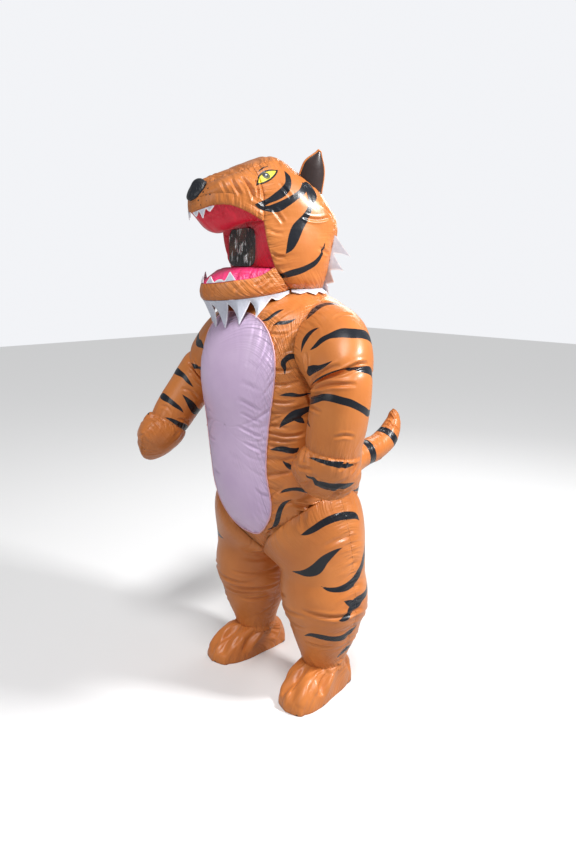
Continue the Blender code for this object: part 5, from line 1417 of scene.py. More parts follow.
@dataclass
class Dresser:
    """Turns panels and plates into finished pieces that ride on the costume."""

    materials: dict[Enum, bpy.types.Material]
    draw: float = 0.00015
    bulge_reach: float = 0.012
    ripple_start: float = 0.02
    ripple_wave: float = 0.16
    ripple_seed: int = 7
    lip_flare: float = 0.0075
    rim_share: float = 0.6
    crisp: float = math.radians(50)  # a plate's edges that turn by more than this stay sharp
    lip_rows: Array = field(default_factory=lambda: np.array([0.3, 0.6, 0.85, 1.0]))
    surfaces: dict[str, tuple[Array, Array]] = field(default_factory=dict)

    def folded(self, panel: Panel, lift: Array, seed: int) -> Array:
        """The panel's points after air, puckers, unevenness and listed folds have moved them.

        Args:
            panel: The panel.
            lift: The listed folds' lift.
            seed: The seed of its unevenness.

        Returns:
            The moved points.
        """
        down, across = panel.lengths()
        rng = np.random.default_rng(seed)
        total = lift.copy()
        clear = np.full(panel.grid.shape[:2], 1e3)
        edges = {"low": (across[:1], down), "high": (across[-1:], down[-1:] - down)}
        if not panel.wrap:
            edges["left"] = (down[:, :1], across)
            edges["right"] = (down[:, -1:], across[:, -1:] - across)
        for name, (seam, depth) in edges.items():
            if seam.max() < POINT_EDGE:
                continue
            clear = np.minimum(clear, depth)
            if name in panel.gathers:
                loop = panel.wrap and name in ("low", "high")
                total += panel.gathers[name].lift(seam, depth, loop, rng)
        total += panel.bulge * (1 - np.exp(-clear / self.bulge_reach))
        away = 1 - np.exp(-clear / self.ripple_start)
        total += panel.ripple * ripple_field(panel.grid, self.ripple_wave, self.ripple_seed) * away
        return panel.grid + panel.normal * total[..., None]

    def seam_distances(self, down: Array, across: Array, wrap: bool) -> dict[str, Array]:
        """Each point's distance from each of the four edges; an edge that isn't sewn counts as far off."""
        found = {"from_low": down, "from_high": down[-1:] - down, "from_left": across,
                 "from_right": across[:, -1:] - across}
        for name, row in (("from_low", 0), ("from_high", -1)):
            if across[row].max() < POINT_EDGE:
                found[name] = np.ones(down.shape)
        if wrap:
            found["from_left"] = found["from_right"] = np.ones(down.shape)
        return found

    def hemmed(self, panel: Panel, points: Array, extra: list[Array]) -> tuple[Array, list[Array]]:
        """Turns every sewn edge in, as a seam's allowance, and draws it back from its neighbour.

        Args:
            panel: The panel.
            points: Its moved points.
            extra: Arrays of a number for each point, which grow with it.

        Returns:
            The grown points and the grown arrays.
        """
        points = points.copy()
        pole = [np.linalg.norm(points[row] - points[row, 0], axis=-1).max() < 1e-5 for row in (0, -1)]
        for row, beside, closed in ((0, 1, pole[0]), (-1, -2, pole[1])):
            if not closed:
                points[row] += unit(points[beside] - points[row]) * self.draw
        normal = panel.normal
        before, after = (0 if pole[0] else 1), (0 if pole[1] else 1)
        side = 0 if panel.wrap else 1
        if side:
            for column, beside in ((0, 1), (-1, -2)):
                points[:, column] += unit(points[:, beside] - points[:, column]) * self.draw
        shape = ((before, after), (side, side))
        if panel.lip:
            along = unit(points[-1] - points[-5]) * panel.lip
            flare = np.sin(PI / 2 * self.lip_rows)[:, None, None] * normal[-1] * self.lip_flare
            points = np.concatenate([points, points[-1] + along * self.lip_rows[:, None, None] + flare])
            normal = np.concatenate([normal, np.repeat(normal[-1:], len(self.lip_rows), 0)])
            extra = [np.pad(value, ((0, len(self.lip_rows)), (0, 0)), mode="edge") for value in extra]
            extra[0][-len(self.lip_rows):] += self.lip_rows[:, None] * panel.lip
        grown = np.pad(points, shape + ((0, 0),), mode="edge")
        turned = np.pad(normal, shape + ((0, 0),), mode="edge")
        ring = np.zeros(grown.shape[:2], bool)
        if before:
            ring[0] = True
        if after:
            ring[-1] = True
        if side:
            ring[:, 0] = ring[:, -1] = True
        grown[ring] -= turned[ring] * panel.hem
        return grown, [np.pad(value, shape, mode="edge") for value in extra]

    def panel(self, panel: Panel, lift: Array, values: dict[str, Array], seed: int) -> None:
        points = self.folded(panel, lift, seed)
        self.surfaces[panel.name] = (points, facing(points, panel.core, panel.wrap))
        down, across = panel.lengths()
        values = {**values, **self.seam_distances(down, across, panel.wrap)}
        names = list(values)
        points, grown = self.hemmed(panel, points, [down, across, *(values[name] for name in names)])
        faces = grid_faces(*points.shape[:2], panel.wrap)
        a, b, c = (points.reshape(-1, 3)[faces[:, n]] for n in (0, 1, 3))
        outward = np.einsum("ij,ij->i", np.cross(b - a, c - a), a - panel.core.reshape(-1, 3).mean(0)).sum()
        uv = corners_uv(grown[0], grown[1], panel.wrap)
        if outward < 0:
            faces, uv = faces[:, ::-1], uv[:, ::-1]
        thing = build_mesh(panel.name, points, faces, uv, dict(zip(names, grown[2:])))
        self.finish(thing, panel.name, panel.cloth, Look.FACE if panel.group in FACE_GROUPS else None)
        panel.cut()
        panel.area()

    def plate(self, plate: Plate) -> None:
        """Makes one plate's piece: both faces and the wall between them."""
        outer, inner = plate.grid + plate.thick, plate.grid
        rows, columns = outer.shape[:2]
        count = rows * columns
        faces = grid_faces(rows, columns, False)
        ring = np.concatenate([np.arange(columns - 1), np.arange(rows - 1) * columns + columns - 1,
                               np.arange(count - 1, count - columns, -1),
                               np.arange(rows - 1, 0, -1) * columns])
        after = np.roll(ring, -1)
        walls = np.stack([ring, ring + count, after + count, after], -1)
        faces = np.concatenate([faces, faces[:, ::-1] + count, walls])
        points = np.concatenate([outer.reshape(-1, 3), inner.reshape(-1, 3)])
        a, b, c = (points[faces[:, n]] for n in (0, 1, 2))
        if np.einsum("ij,ij->i", np.cross(b - a, c - a), a - points.mean(0)).sum() < 0:
            faces = faces[:, ::-1]
        rim = np.linalg.norm(plate.grid[-1] - plate.grid, axis=-1) * self.rim_share
        thing = build_mesh(plate.name, points, faces, values={"rim": np.stack([rim, rim])})
        thing.data.set_sharp_from_angle(angle=self.crisp)
        self.finish(thing, plate.name, plate.cloth, Look.PLAIN if plate.cloth is Cloth.ORANGE else None)
        area = grid_area(plate.grid)
        width = float(np.linalg.norm(np.diff(plate.grid, axis=1), axis=-1).sum(1).max())
        length = float(np.linalg.norm(np.diff(plate.grid, axis=0), axis=-1).sum(0).max())

    def finish(self, thing: bpy.types.Object, node: str, cloth: Cloth, look: Look | None = None) -> None:
        """Rides, hides the node of that name, which it stands in for, and takes the cloth's finish, or
        another look of it.
        """
        thing.data.materials.append(self.materials[look or cloth])
        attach(thing, "costume")
        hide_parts(node)
        LOG.info("%s: %d faces", node, len(thing.data.polygons))


STRIPES = {
    "head": (  # to the left, forward and up, and half the width, in millimetres
        ((147, 111, 1850, 0), (159, 104, 1827, 10), (171, 108, 1803, 12), (175, 122, 1781, 15),
         (174, 152, 1758, 14), (167, 186, 1739, 9), (163, 218, 1726, 8), (161, 238, 1725, 0)),
        ((166, 35, 1803, 13), (182, 55, 1778, 13), (184, 89, 1755, 12), (182, 120, 1736, 14),
         (175, 157, 1717, 16), (166, 194, 1713, 9), (162, 220, 1720, 7), (161, 238, 1725, 0)),
        ((161, 17, 1801, 20), (177, 14, 1771, 23), (190, 23, 1738, 12), (194, 36, 1708, 11),
         (191, 58, 1675, 16), (189, 82, 1644, 21), (187, 96, 1611, 20), (184, 108, 1580, 13),
         (179, 123, 1556, 0)),
        ((182, -44, 1605, 0), (184, -33, 1578, 5), (184, -21, 1550, 7), (184, -1, 1528, 10),
         (182, 30, 1511, 11), (179, 63, 1498, 12), (172, 97, 1489, 12), (161, 123, 1481, 10),
         (156, 140, 1476, 6), (152, 156, 1474, 0)),
        ((127, 206, 1840, 0), (124, 192, 1852, 3), (123, 175, 1862, 3), (128, 147, 1866, 0)),
    ),
    "trunk": (  # degrees from the front, millimetres up, and half the width
        ((29, 1324, 0), (35, 1328, 5), (40, 1345, 6), (45, 1359, 4), (48, 1363, 0)),
        ((40, 1310, 0), (44, 1317, 6), (49, 1319, 7), (53, 1323, 5), (58, 1333, 0)),
        ((60, 1200, 0), (54, 1209, 10), (51, 1201, 9), (49, 1186, 9), (50, 1171, 6), (50, 1146, 0)),
        ((46, 1079, 0), (50, 1082, 5), (54, 1082, 7), (59, 1078, 5), (63, 1081, 4), (70, 1084, 0)),
        ((45, 963, 0), (48, 984, 8), (52, 1000, 14), (56, 1012, 16), (61, 1024, 11), (65, 1031, 9),
         (74, 1040, 9), (88, 1046, 0)),
        ((52, 1001, 0), (56, 1001, 10), (59, 995, 10), (62, 982, 0)),
        ((37, 889, 0), (42, 893, 5), (47, 894, 9), (51, 890, 10), (55, 889, 9), (58, 900, 0)),
        ((46, 854, 0), (49, 841, 6), (52, 830, 8), (55, 822, 0)),
        ((43, 737, 0), (48, 750, 6), (53, 755, 6), (58, 753, 7), (63, 743, 6), (67, 732, 0)),
        ((30, 594, 0), (36, 603, 6), (40, 631, 9), (42, 661, 9), (44, 685, 8), (47, 704, 6), (53, 719, 0)),
        ((84, 960, 0), (98, 950, 9), (112, 944, 12), (124, 948, 0)),
        ((72, 812, 0), (86, 800, 9), (102, 792, 12), (120, 798, 0)),
        ((106, 706, 0), (122, 694, 9), (142, 698, 10), (158, 710, 0)),
        ((112, 1090, 0), (128, 1080, 10), (146, 1084, 12), (164, 1096, 0)),
        ((120, 1198, 0), (134, 1190, 9), (150, 1194, 11), (166, 1206, 0)),
        ((112, 1310, 0), (128, 1302, 9), (146, 1304, 10), (164, 1316, 0)),
        ((138, 990, 0), (150, 982, 8), (160, 986, 8), (170, 996, 0)),
    ),
    "leg": (  # degrees from the front towards the outer side, millimetres up, and half the width
        ((15, 595, 0), (24, 606, 8), (34, 621, 11), (45, 638, 12), (61, 653, 13), (79, 657, 13),
         (97, 651, 13), (111, 638, 10), (120, 612, 0)),
        ((0, 465, 0), (12, 465, 6), (24, 469, 14), (36, 484, 20), (46, 514, 16), (57, 534, 10),
         (67, 546, 4), (78, 549, 0)),
        ((41, 427, 0), (51, 416, 6), (63, 412, 9), (78, 416, 13), (93, 429, 14), (106, 455, 13),
         (116, 479, 14), (126, 505, 9), (134, 528, 0)),
        ((62, 312, 0), (74, 317, 9), (81, 337, 14), (90, 352, 19), (102, 360, 12), (116, 364, 10),
         (130, 376, 8), (142, 392, 0)),
        ((71, 372, 0), (80, 360, 11), (88, 352, 12)),
        ((12, 226, 0), (26, 240, 7), (41, 239, 10), (58, 233, 10), (74, 231, 12), (88, 240, 11),
         (104, 258, 0)),
        ((80, 118, 6), (86, 133, 12), (96, 146, 14), (112, 162, 0)),
        ((150, 560, 0), (165, 548, 8), (182, 540, 10), (198, 545, 0)),
        ((150, 300, 0), (166, 290, 9), (184, 288, 11), (206, 298, 0)),
        ((165, 430, 0), (180, 420, 9), (200, 424, 10), (218, 436, 0)),
        ((140, 196, 0), (158, 184, 8), (178, 182, 10), (196, 188, 0)),
    ),
    "arm_left": (  # degrees round the sleeve, its row, and half the width
        ((51, 0.2, 0), (40, 0.25, 12), (28, 0.3, 18), (18, 0.45, 17), (8, 0.7, 14), (0, 1.0, 8),
         (-12, 1.3, 0)),
        ((47, 1.6, 0), (53, 1.35, 4), (62, 1.15, 9), (70, 1.1, 10), (76, 1.15, 7), (86, 1.35, 0)),
        ((75, 2.05, 0), (66, 2.25, 7), (55, 2.3, 11), (46, 2.45, 11), (37, 2.65, 16), (30, 2.8, 19),
         (18, 3.1, 20), (-2, 3.3, 19), (-30, 3.1, 20), (-55, 2.9, 14), (-75, 3.0, 0)),
        ((89, 3.4, 16), (82, 3.65, 15), (71, 4.0, 9), (62, 4.15, 6), (51, 4.15, 0)),
        ((107, 4.9, 0), (82, 5.05, 3), (65, 5.05, 3), (52, 5.1, 3), (37, 5.25, 3), (25, 5.5, 6),
         (6, 5.75, 11), (-30, 5.75, 16), (-52, 5.9, 14), (-80, 6.2, 0)),
        ((112, 8.5, 0), (100, 8.3, 12), (82, 7.95, 12), (69, 7.65, 11), (56, 7.65, 12), (42, 7.75, 12),
         (26, 7.85, 12), (10, 8.0, 11), (-7, 8.3, 11), (-24, 8.6, 11), (-48, 8.5, 9), (-72, 8.3, 0)),
        ((-100, 4.2, 0), (-122, 4.4, 9), (-146, 4.6, 10), (-170, 4.4, 0)),
        ((-96, 7.2, 0), (-118, 7.4, 9), (-142, 7.6, 10), (-168, 7.4, 0)),
        ((-40, 10.5, 0), (-62, 10.6, 8), (-90, 10.4, 10), (-120, 10.6, 0)),
        ((152, 10.2, 0), (136, 10.3, 7), (116, 10.2, 8), (96, 10.4, 0)),
    ),
    "mitt": (  # the mitt's column, its row, and half the width
        ((6.4, 5.2, 0), (5.9, 5.4, 3), (5.0, 5.5, 6), (4.0, 5.5, 8), (3.0, 5.5, 10), (2.2, 5.45, 6),
         (1.7, 5.4, 0)),
        ((6.0, 3.35, 0), (5.3, 3.15, 7), (4.5, 2.9, 13), (3.7, 2.8, 16), (2.8, 2.85, 15), (2.0, 2.95, 11),
         (1.1, 3.05, 0)),
    ),
    "arm_right": (
        ((40, 3.4, 0), (56, 3.1, 10), (74, 2.7, 15), (87, 1.8, 13), (98, 1.2, 0)),
        ((78, 5.6, 0), (94, 4.85, 8), (108, 3.75, 7), (117, 2.95, 9), (126, 2.2, 0)),
        ((30, 8.0, 0), (52, 7.95, 13), (74, 7.9, 12), (87, 7.85, 9), (101, 8.1, 7), (118, 8.3, 0)),
        ((52, 10.5, 0), (68, 10.45, 12), (84, 10.45, 13), (101, 10.45, 10), (118, 10.5, 9), (135, 10.55, 6),
         (152, 10.7, 0)),
        ((111, 9.45, 0), (129, 9.6, 8), (147, 9.8, 14), (170, 10.05, 15), (199, 9.95, 11), (222, 9.7, 0)),
        ((120, 11.8, 0), (140, 11.7, 6), (164, 11.7, 10), (192, 11.7, 12), (220, 11.75, 9), (240, 11.6, 0)),
        ((20, 1.2, 0), (0, 1.0, 12), (-24, 1.1, 14), (-50, 1.4, 0)),
        ((10, 5.0, 0), (-14, 5.2, 10), (-44, 5.3, 13), (-74, 5.1, 0)),
        ((0, 9.0, 0), (-24, 9.1, 10), (-54, 9.2, 12), (-84, 9.0, 0)),
        ((-96, 7.2, 0), (-118, 7.4, 9), (-142, 7.6, 10), (-168, 7.4, 0)),
    ),
    "tail": (  # degrees round from the top, the share of its length in hundredths, and half the width
        tuple((turn, 72, 17) for turn in range(0, 361, 24)),
        tuple((turn, 41, 18) for turn in range(0, 361, 24)),
    ),
    "head_back": (
        ((75, -150, 1690, 0), (40, -176, 1680, 10), (0, -184, 1676, 12), (-40, -176, 1680, 10),
         (-75, -150, 1690, 0)),
        ((95, -150, 1600, 0), (55, -180, 1592, 10), (15, -188, 1596, 0)),
        ((-95, -150, 1600, 0), (-55, -180, 1592, 10), (-15, -188, 1596, 0)),
        ((80, -150, 1520, 0), (40, -170, 1512, 9), (0, -176, 1510, 11), (-40, -170, 1512, 9),
         (-80, -150, 1520, 0)),
    ),
}


EYE_MIDDLE = (0.146, 0.179, 1.823)  # of the left eye: to the head's left, forward, height
EYE_CORNERS = ((0.150, 0.221, 1.796), (0.144, 0.138, 1.848))
WHISKERS = (  # the left side's dots, in the head's own measures
    (0.076, 0.376, 1.758), (0.079, 0.370, 1.778), (0.089, 0.369, 1.759), (0.065, 0.382, 1.767),
    (0.077, 0.375, 1.737), (0.044, 0.391, 1.741), (0.052, 0.387, 1.725),
)
DOT_RADIUS = 0.0034
RGB = tuple[float, float, float]


class Nodes:
    """A material's node tree, with short ways to add nodes and join them."""

    def __init__(self, name: str, roughness: float) -> None:
        """Starts a material with one Principled shader.

        Args:
            name: The material's name.
            roughness: The shader's roughness.
        """
        self.material = bpy.data.materials.new(name)
        self.material.use_nodes = True
        self.tree = self.material.node_tree
        self.shader = self.tree.nodes["Principled BSDF"]
        self.shader.inputs["Roughness"].default_value = roughness

    def plug(self, socket: bpy.types.NodeSocket, value: object) -> None:
        """Links a socket to another, or sets its value."""
        if isinstance(value, bpy.types.NodeSocket):
            self.tree.links.new(value, socket)
        elif isinstance(value, tuple) and len(value) == 3 and socket.type == "RGBA":
            socket.default_value = (*value, 1.0)
        else:
            socket.default_value = value

    def add(self, kind: str, out: int | str, inputs: dict, **settings: object) -> bpy.types.NodeSocket:
        """Adds a node.

        Args:
            kind: Its type's name.
            out: Which of its outputs to give back.
            inputs: A value or another node's output for each named or numbered input.
            settings: The node's own settings.

        Returns:
            The output.
        """
        node = self.tree.nodes.new(kind)
        for key, value in settings.items():
            setattr(node, key, value)
        for key, value in inputs.items():
            self.plug(node.inputs[key], value)
        return node.outputs[out]

    def math(self, how: str, *values: object) -> bpy.types.NodeSocket:
        """A sum, product or other operation on one, two or three numbers."""
        return self.add("ShaderNodeMath", 0, dict(enumerate(values)), operation=how)

    def times(self, one: object, other: object) -> bpy.types.NodeSocket:
        """The product of two numbers."""
        return self.math("MULTIPLY", one, other)

    def less(self, one: object, other: object) -> bpy.types.NodeSocket:
        """The first number less the second."""
        return self.math("SUBTRACT", one, other)

    def distance(self, one: object, other: object) -> bpy.types.NodeSocket:
        """The length of a step of two numbers: the root of their squares' sum."""
        return self.math("SQRT", self.math("ADD", self.times(one, one), self.times(other, other)))

    def object_place(self) -> bpy.types.NodeSocket:
        """Places on the model in metres, the same from every side."""
        return self.add("ShaderNodeTexCoord", "Object", {})

    def cloth_place(self) -> bpy.types.NodeSocket:
        """Places on the cut cloth in metres."""
        return self.add("ShaderNodeUVMap", "UV", {}, uv_map="cloth")

    def stored(self, name: str) -> bpy.types.NodeSocket:
        """A number that each point carries."""
        return self.add("ShaderNodeAttribute", "Fac", {}, attribute_name=name)

    def noise(self, place: object, scale: float, detail: float = 2.0,
              kind: str = "FBM") -> bpy.types.NodeSocket:
        """Noise of a scale in waves to the metre."""
        inputs = {"Vector": place, "Scale": scale, "Detail": detail}
        return self.add("ShaderNodeTexNoise", 0, inputs, noise_type=kind)

    def between(self, value: object, low: float, high: float, start: float = 0.0,
                end: float = 1.0) -> bpy.types.NodeSocket:
        """Maps a range of values to another, and holds it there."""
        inputs = {"Value": value, "From Min": low, "From Max": high, "To Min": start, "To Max": end}
        return self.add("ShaderNodeMapRange", 0, inputs)

    def mix(self, share: object, low: object, high: object) -> bpy.types.NodeSocket:
        """Blends two colours: low where the share is nothing, high where it is one."""
        return self.add("ShaderNodeMix", 2, {0: share, 6: low, 7: high}, data_type="RGBA")

    def weave(self, place: object, pitch: float, depth: float) -> bpy.types.NodeSocket:
        """A plain weave's height: the product of a sine across and a sine along, one wave in two threads.

        Args:
            place: Places on the cut cloth.
            pitch: The distance between threads, in metres.
            depth: The height, in metres.

        Returns:
            The height.
        """
        parts = self.tree.nodes.new("ShaderNodeSeparateXYZ")
        self.plug(parts.inputs[0], place)
        waves = [self.math("SINE", self.times(part, PI / pitch)) for part in parts.outputs[:2]]
        return self.times(self.times(*waves), depth)

    def total(self, *heights: object) -> bpy.types.NodeSocket:
        """The sum of several heights."""
        found = heights[0]
        for height in heights[1:]:
            found = self.math("ADD", found, height)
        return found

    def raise_by(self, height: object) -> None:
        """Bends the shader's normals by a height in metres."""
        inputs = {"Height": height, "Distance": 1.0, "Strength": 1.0}
        self.plug(self.shader.inputs["Normal"], self.add("ShaderNodeBump", 0, inputs))

    def paint(self, colour: object) -> None:
        """Sets the base colour."""
        self.plug(self.shader.inputs["Base Color"], colour)

    def set(self, **values: object) -> None:
        """Sets the shader's named inputs, with _ for a space."""
        for key, value in values.items():
            self.plug(self.shader.inputs[key.replace("_", " ")], value)


@dataclass(frozen=True)
class Satin:
    """Thin satin polyester: a smooth sheen, fine crinkles from folding and packing, and a close weave."""

    name: str
    colour: RGB
    shade: RGB
    roughness: float = 0.40
    crinkle: float = 0.0017
    ink: RGB | None = None
    pucker: float = 0.0180
    pucker_reach: float = 0.040
    pucker_waves: float = 54.0

    def nodes(self) -> Nodes:
        """Makes the finish and gives back its nodes, so that more can be printed on it."""
        made = Nodes(self.name, self.roughness)
        place = made.object_place()
        soft = made.noise(place, 7.0, 3.0)
        base = made.mix(made.between(soft, 0.30, 0.72), self.shade, self.colour)
        if self.ink:
            rough = made.between(made.noise(place, 420.0), 0, 1, -3e-4, 3e-4)
            edge = made.math("ADD", made.stored("stripe"), rough)
            bare = made.between(edge, -0.0006, 0.0006)
            base = made.mix(bare, self.ink, base)
            made.set(Roughness=made.between(bare, 0, 1, 0.27, self.roughness))
        folds = made.times(made.noise(place, 20.0, 3.0, "RIDGED_MULTIFRACTAL"), self.crinkle)
        fine = made.times(made.noise(place, 110.0, 2.0), self.crinkle * 0.22)
        threads = made.weave(made.cloth_place(), 0.0006, 0.000012)
        made.raise_by(made.total(folds, fine, self.puckers(made), threads))
        made.paint(base)
        made.set(Sheen_Weight=0.05, Sheen_Roughness=0.4, Coat_Weight=0.32, Coat_Roughness=0.26,
                 Specular_IOR_Level=0.32)
        return made

    def puckers(self, made: Nodes) -> bpy.types.NodeSocket:
        """Small gathers that run in from each seam: noise drawn out away from it, fading with its distance.

        Args:
            made: The finish's nodes.

        Returns:
            Their height.
        """
        parts = made.tree.nodes.new("ShaderNodeSeparateXYZ")
        made.plug(parts.inputs[0], made.cloth_place())
        heights = []
        for number, name in enumerate(("from_low", "from_high", "from_left", "from_right")):
            off = made.stored(name)
            along = parts.outputs[0 if number < 2 else 1]
            drawn = made.add("ShaderNodeCombineXYZ", 0, {
                "X": along, "Y": made.times(off, 0.13), "Z": number + 0.37})
            near = made.math("EXPONENT", made.times(off, -1.0 / self.pucker_reach))
            waves = made.less(made.noise(drawn, self.pucker_waves, 2.0), 0.5)
            heights.append(made.times(near, waves))
        return made.times(made.total(*heights), self.pucker)

    def build(self) -> bpy.types.Material:
        """Makes the finish."""
        return self.nodes().material


@dataclass(frozen=True)
class Face:
    """The orange cloth of the head, with almond eyes and whisker dots printed on it."""

    satin: Satin
    head: "Head"
    half_length: float = 0.051
    upper_lid: float = 0.0205
    lower_lid: float = 0.0115
    outline: float = 0.0036
    iris: float = 0.0122
    pupil: float = 0.0064
    glint: float = 0.0029
    glint_off: float = 0.0022
    ring: float = 0.0022
    gaze: tuple = (0.002, 0.0062)  # the iris's middle, along and up

    def build(self) -> bpy.types.Material:
        """Prints the eye's parts from the outside in: lids, white, iris, pupil and glint."""
        made = self.satin.nodes()
        across, up = made.stored("eye_across"), made.stored("eye_up")
        share = made.math("DIVIDE", across, self.half_length)
        arch = made.less(1.0, made.times(share, share))
        above = made.less(made.times(arch, self.upper_lid), up)
        below = made.math("ADD", made.times(arch, self.lower_lid), up)
        inside = made.math("MINIMUM", above, below)
        black, soft = (0.010, 0.010, 0.012), 0.0004
        base = made.shader.inputs["Base Color"].links[0].from_socket
        base = made.mix(made.between(inside, -self.ring - soft, -self.ring + soft), base, black)
        ball = made.mix(made.between(across, -0.04, 0.04), (0.86, 0.66, 0.03), (0.90, 0.78, 0.08))
        seen = made.between(inside, self.outline - soft, self.outline + soft)
        base = made.mix(seen, base, ball)
        aside, over = (made.less(place, off) for place, off in zip((across, up), self.gaze))
        reach = made.distance(aside, over)
        lit = made.mix(made.between(over, -0.009, 0.002), (0.17, 0.18, 0.04), (0.030, 0.038, 0.050))
        for radius, colour in ((self.iris, (0.012, 0.012, 0.012)), (self.iris - self.ring, lit),
                               (self.pupil, (0.008, 0.009, 0.012))):
            inner = made.times(made.between(reach, radius + soft, radius - soft), seen)
            base = made.mix(inner, base, colour)
        far = made.distance(made.less(aside, self.glint_off), made.less(over, self.glint_off))
        base = made.mix(made.between(far, self.glint + soft, self.glint - soft), base, (0.85, 0.87, 0.9))
        parts = {part: made.stored(f"rest_{part.lower()}") for part in "XYZ"}
        place, nearest = made.add("ShaderNodeCombineXYZ", 0, parts), 1.0
        for _, sign in SIDES:
            for spot in self.head.on_side(sign, *WHISKERS).tolist():
                gap = made.add("ShaderNodeVectorMath", "Value", {0: place, 1: spot}, operation="DISTANCE")
                nearest = made.math("MINIMUM", nearest, gap)
        base = made.mix(made.between(nearest, DOT_RADIUS + soft, DOT_RADIUS - soft), base, black)
        made.paint(base)
        return made.material


@dataclass(frozen=True)
class Felt:
    """Needled white felt: matt, with short tangled fibres, and paler where its edge is cut."""

    name: str = "white_felt"
    colour: RGB = (0.66, 0.70, 0.80)
    rim: RGB = (0.90, 0.92, 0.97)
    rim_width: float = 0.0045

    def build(self) -> bpy.types.Material:
        """Makes the finish."""
        made = Nodes(self.name, 0.88)
        place = made.object_place()
        tangle = made.noise(place, 620.0, 4.0)
        clumps = made.noise(place, 90.0, 3.0)
        shade = tuple(0.90 * part for part in self.colour)
        base = made.mix(made.between(clumps, 0.3, 0.7), shade, self.colour)
        edge = made.between(made.stored("rim"), self.rim_width, self.rim_width * 0.6)
        made.paint(made.mix(edge, base, self.rim))
        made.raise_by(made.total(made.times(tangle, 0.0004), made.times(clumps, 0.0011)))
        made.set(Sheen_Weight=0.45, Sheen_Roughness=0.6)
        return made.material


@dataclass(frozen=True)
class Film:
    """Thin clear film in upright ripples. Pale streaks of reflection are painted into its colour, over a
    painted dark and brown inside seen through it.
    """

    name: str = "clear_film"

    def build(self) -> bpy.types.Material:
        """Makes the finish."""
        made = Nodes(self.name, 0.06)
        place = made.object_place()
        upright = made.add("ShaderNodeMapping", 0, {"Vector": place, "Scale": (1.0, 1.0, 0.42)})
        ripples = made.noise(upright, 62.0, 4.0)
        crumple = made.noise(place, 85.0, 2.0, "RIDGED_MULTIFRACTAL")
        # painted reflection: upright noise with wide patches marks where pale streaks of reflection are
        # painted
        reflection_patches = made.between(made.noise(place, 14.0), 0, 1, -0.1, 0.1)
        reflection_streaks = made.math("ADD", made.noise(upright, 46.0, 5.0), reflection_patches)
        # painted shade: the head's dark inside seen through the film, near black with patches of dim brown,
        # painted into the colour
        painted_inside_share = made.between(made.noise(place, 9.0, 2.0), 0.50, 0.60)
        dark = made.mix(painted_inside_share, (0.010, 0.009, 0.008), (0.17, 0.085, 0.040))
        # the pale streaks are painted reflections, laid over the painted dark inside
        made.paint(made.mix(made.between(reflection_streaks, 0.535, 0.575), dark, (0.90, 0.88, 0.85)))
        made.raise_by(made.total(made.times(ripples, 0.012), made.times(crumple, 0.0010)))
        made.set(Metallic=0.8, Alpha=0.90, Coat_Weight=1.0, Coat_Roughness=0.04)
        return made.material


@dataclass(frozen=True)
class Moulded:
    """Black moulded plastic with a fine spark-eroded grain and dull scuffs."""

    name: str = "black_plastic"

    def build(self) -> bpy.types.Material:
        """Makes the finish."""
        made = Nodes(self.name, 0.42)
        place = made.object_place()
        scuffs = made.noise(place, 60.0, 5.0)
        made.paint(made.mix(made.between(scuffs, 0.45, 0.75), (0.014, 0.014, 0.016), (0.034, 0.034, 0.036)))
        made.set(Roughness=made.between(scuffs, 0.35, 0.7, 0.36, 0.58))
        made.raise_by(made.times(made.noise(place, 1500.0, 2.0), 0.00006))
        return made.material


@dataclass(frozen=True)
class ZipMetal:
    """Satin zinc alloy, brushed one way, darker in its scratches."""

    name: str = "zip_metal"

    def build(self) -> bpy.types.Material:
        """Makes the finish."""
        made = Nodes(self.name, 0.30)
        brushed = made.add("ShaderNodeMapping", 0, {"Vector": made.object_place(), "Scale": (40.0, 1.0, 1.0)})
        lines = made.noise(brushed, 120.0, 3.0)
        made.paint(made.mix(made.between(lines, 0.3, 0.7), (0.42, 0.42, 0.41), (0.66, 0.66, 0.64)))
        made.set(Metallic=1.0, Roughness=made.between(lines, 0.3, 0.7, 0.40, 0.26))
        made.raise_by(made.times(lines, 0.00005))
        return made.material


@dataclass(frozen=True)
class Tape:
    """Woven zip tape: a matt twill of thick threads, with painted shade making the weave's hollows darker."""

    name: str = "zip_tape"

    def build(self) -> bpy.types.Material:
        """Makes the finish."""
        made = Nodes(self.name, 0.82)
        place = made.cloth_place()
        ribs = made.weave(place, 0.0011, 0.00022)
        # painted shade: the weave's low threads are painted darker and its risen ones lighter
        rib_shade_share = made.between(ribs, -0.0001, 0.0002)
        made.paint(made.mix(rib_shade_share, (0.010, 0.010, 0.011), (0.040, 0.040, 0.043)))
        made.raise_by(ribs)
        made.set(Sheen_Weight=0.2)
        return made.material


@dataclass(frozen=True)
class Thread:
    """Twisted polyester thread."""

    name: str
    colour: RGB

    def build(self) -> bpy.types.Material:
        """Makes the finish."""
        made = Nodes(self.name, 0.55)
        twist = made.noise(made.object_place(), 1800.0, 1.0)
        made.paint(made.mix(twist, tuple(0.7 * part for part in self.colour), self.colour))
        made.raise_by(made.times(twist, 0.0001))
        made.set(Sheen_Weight=0.3)
        return made.material


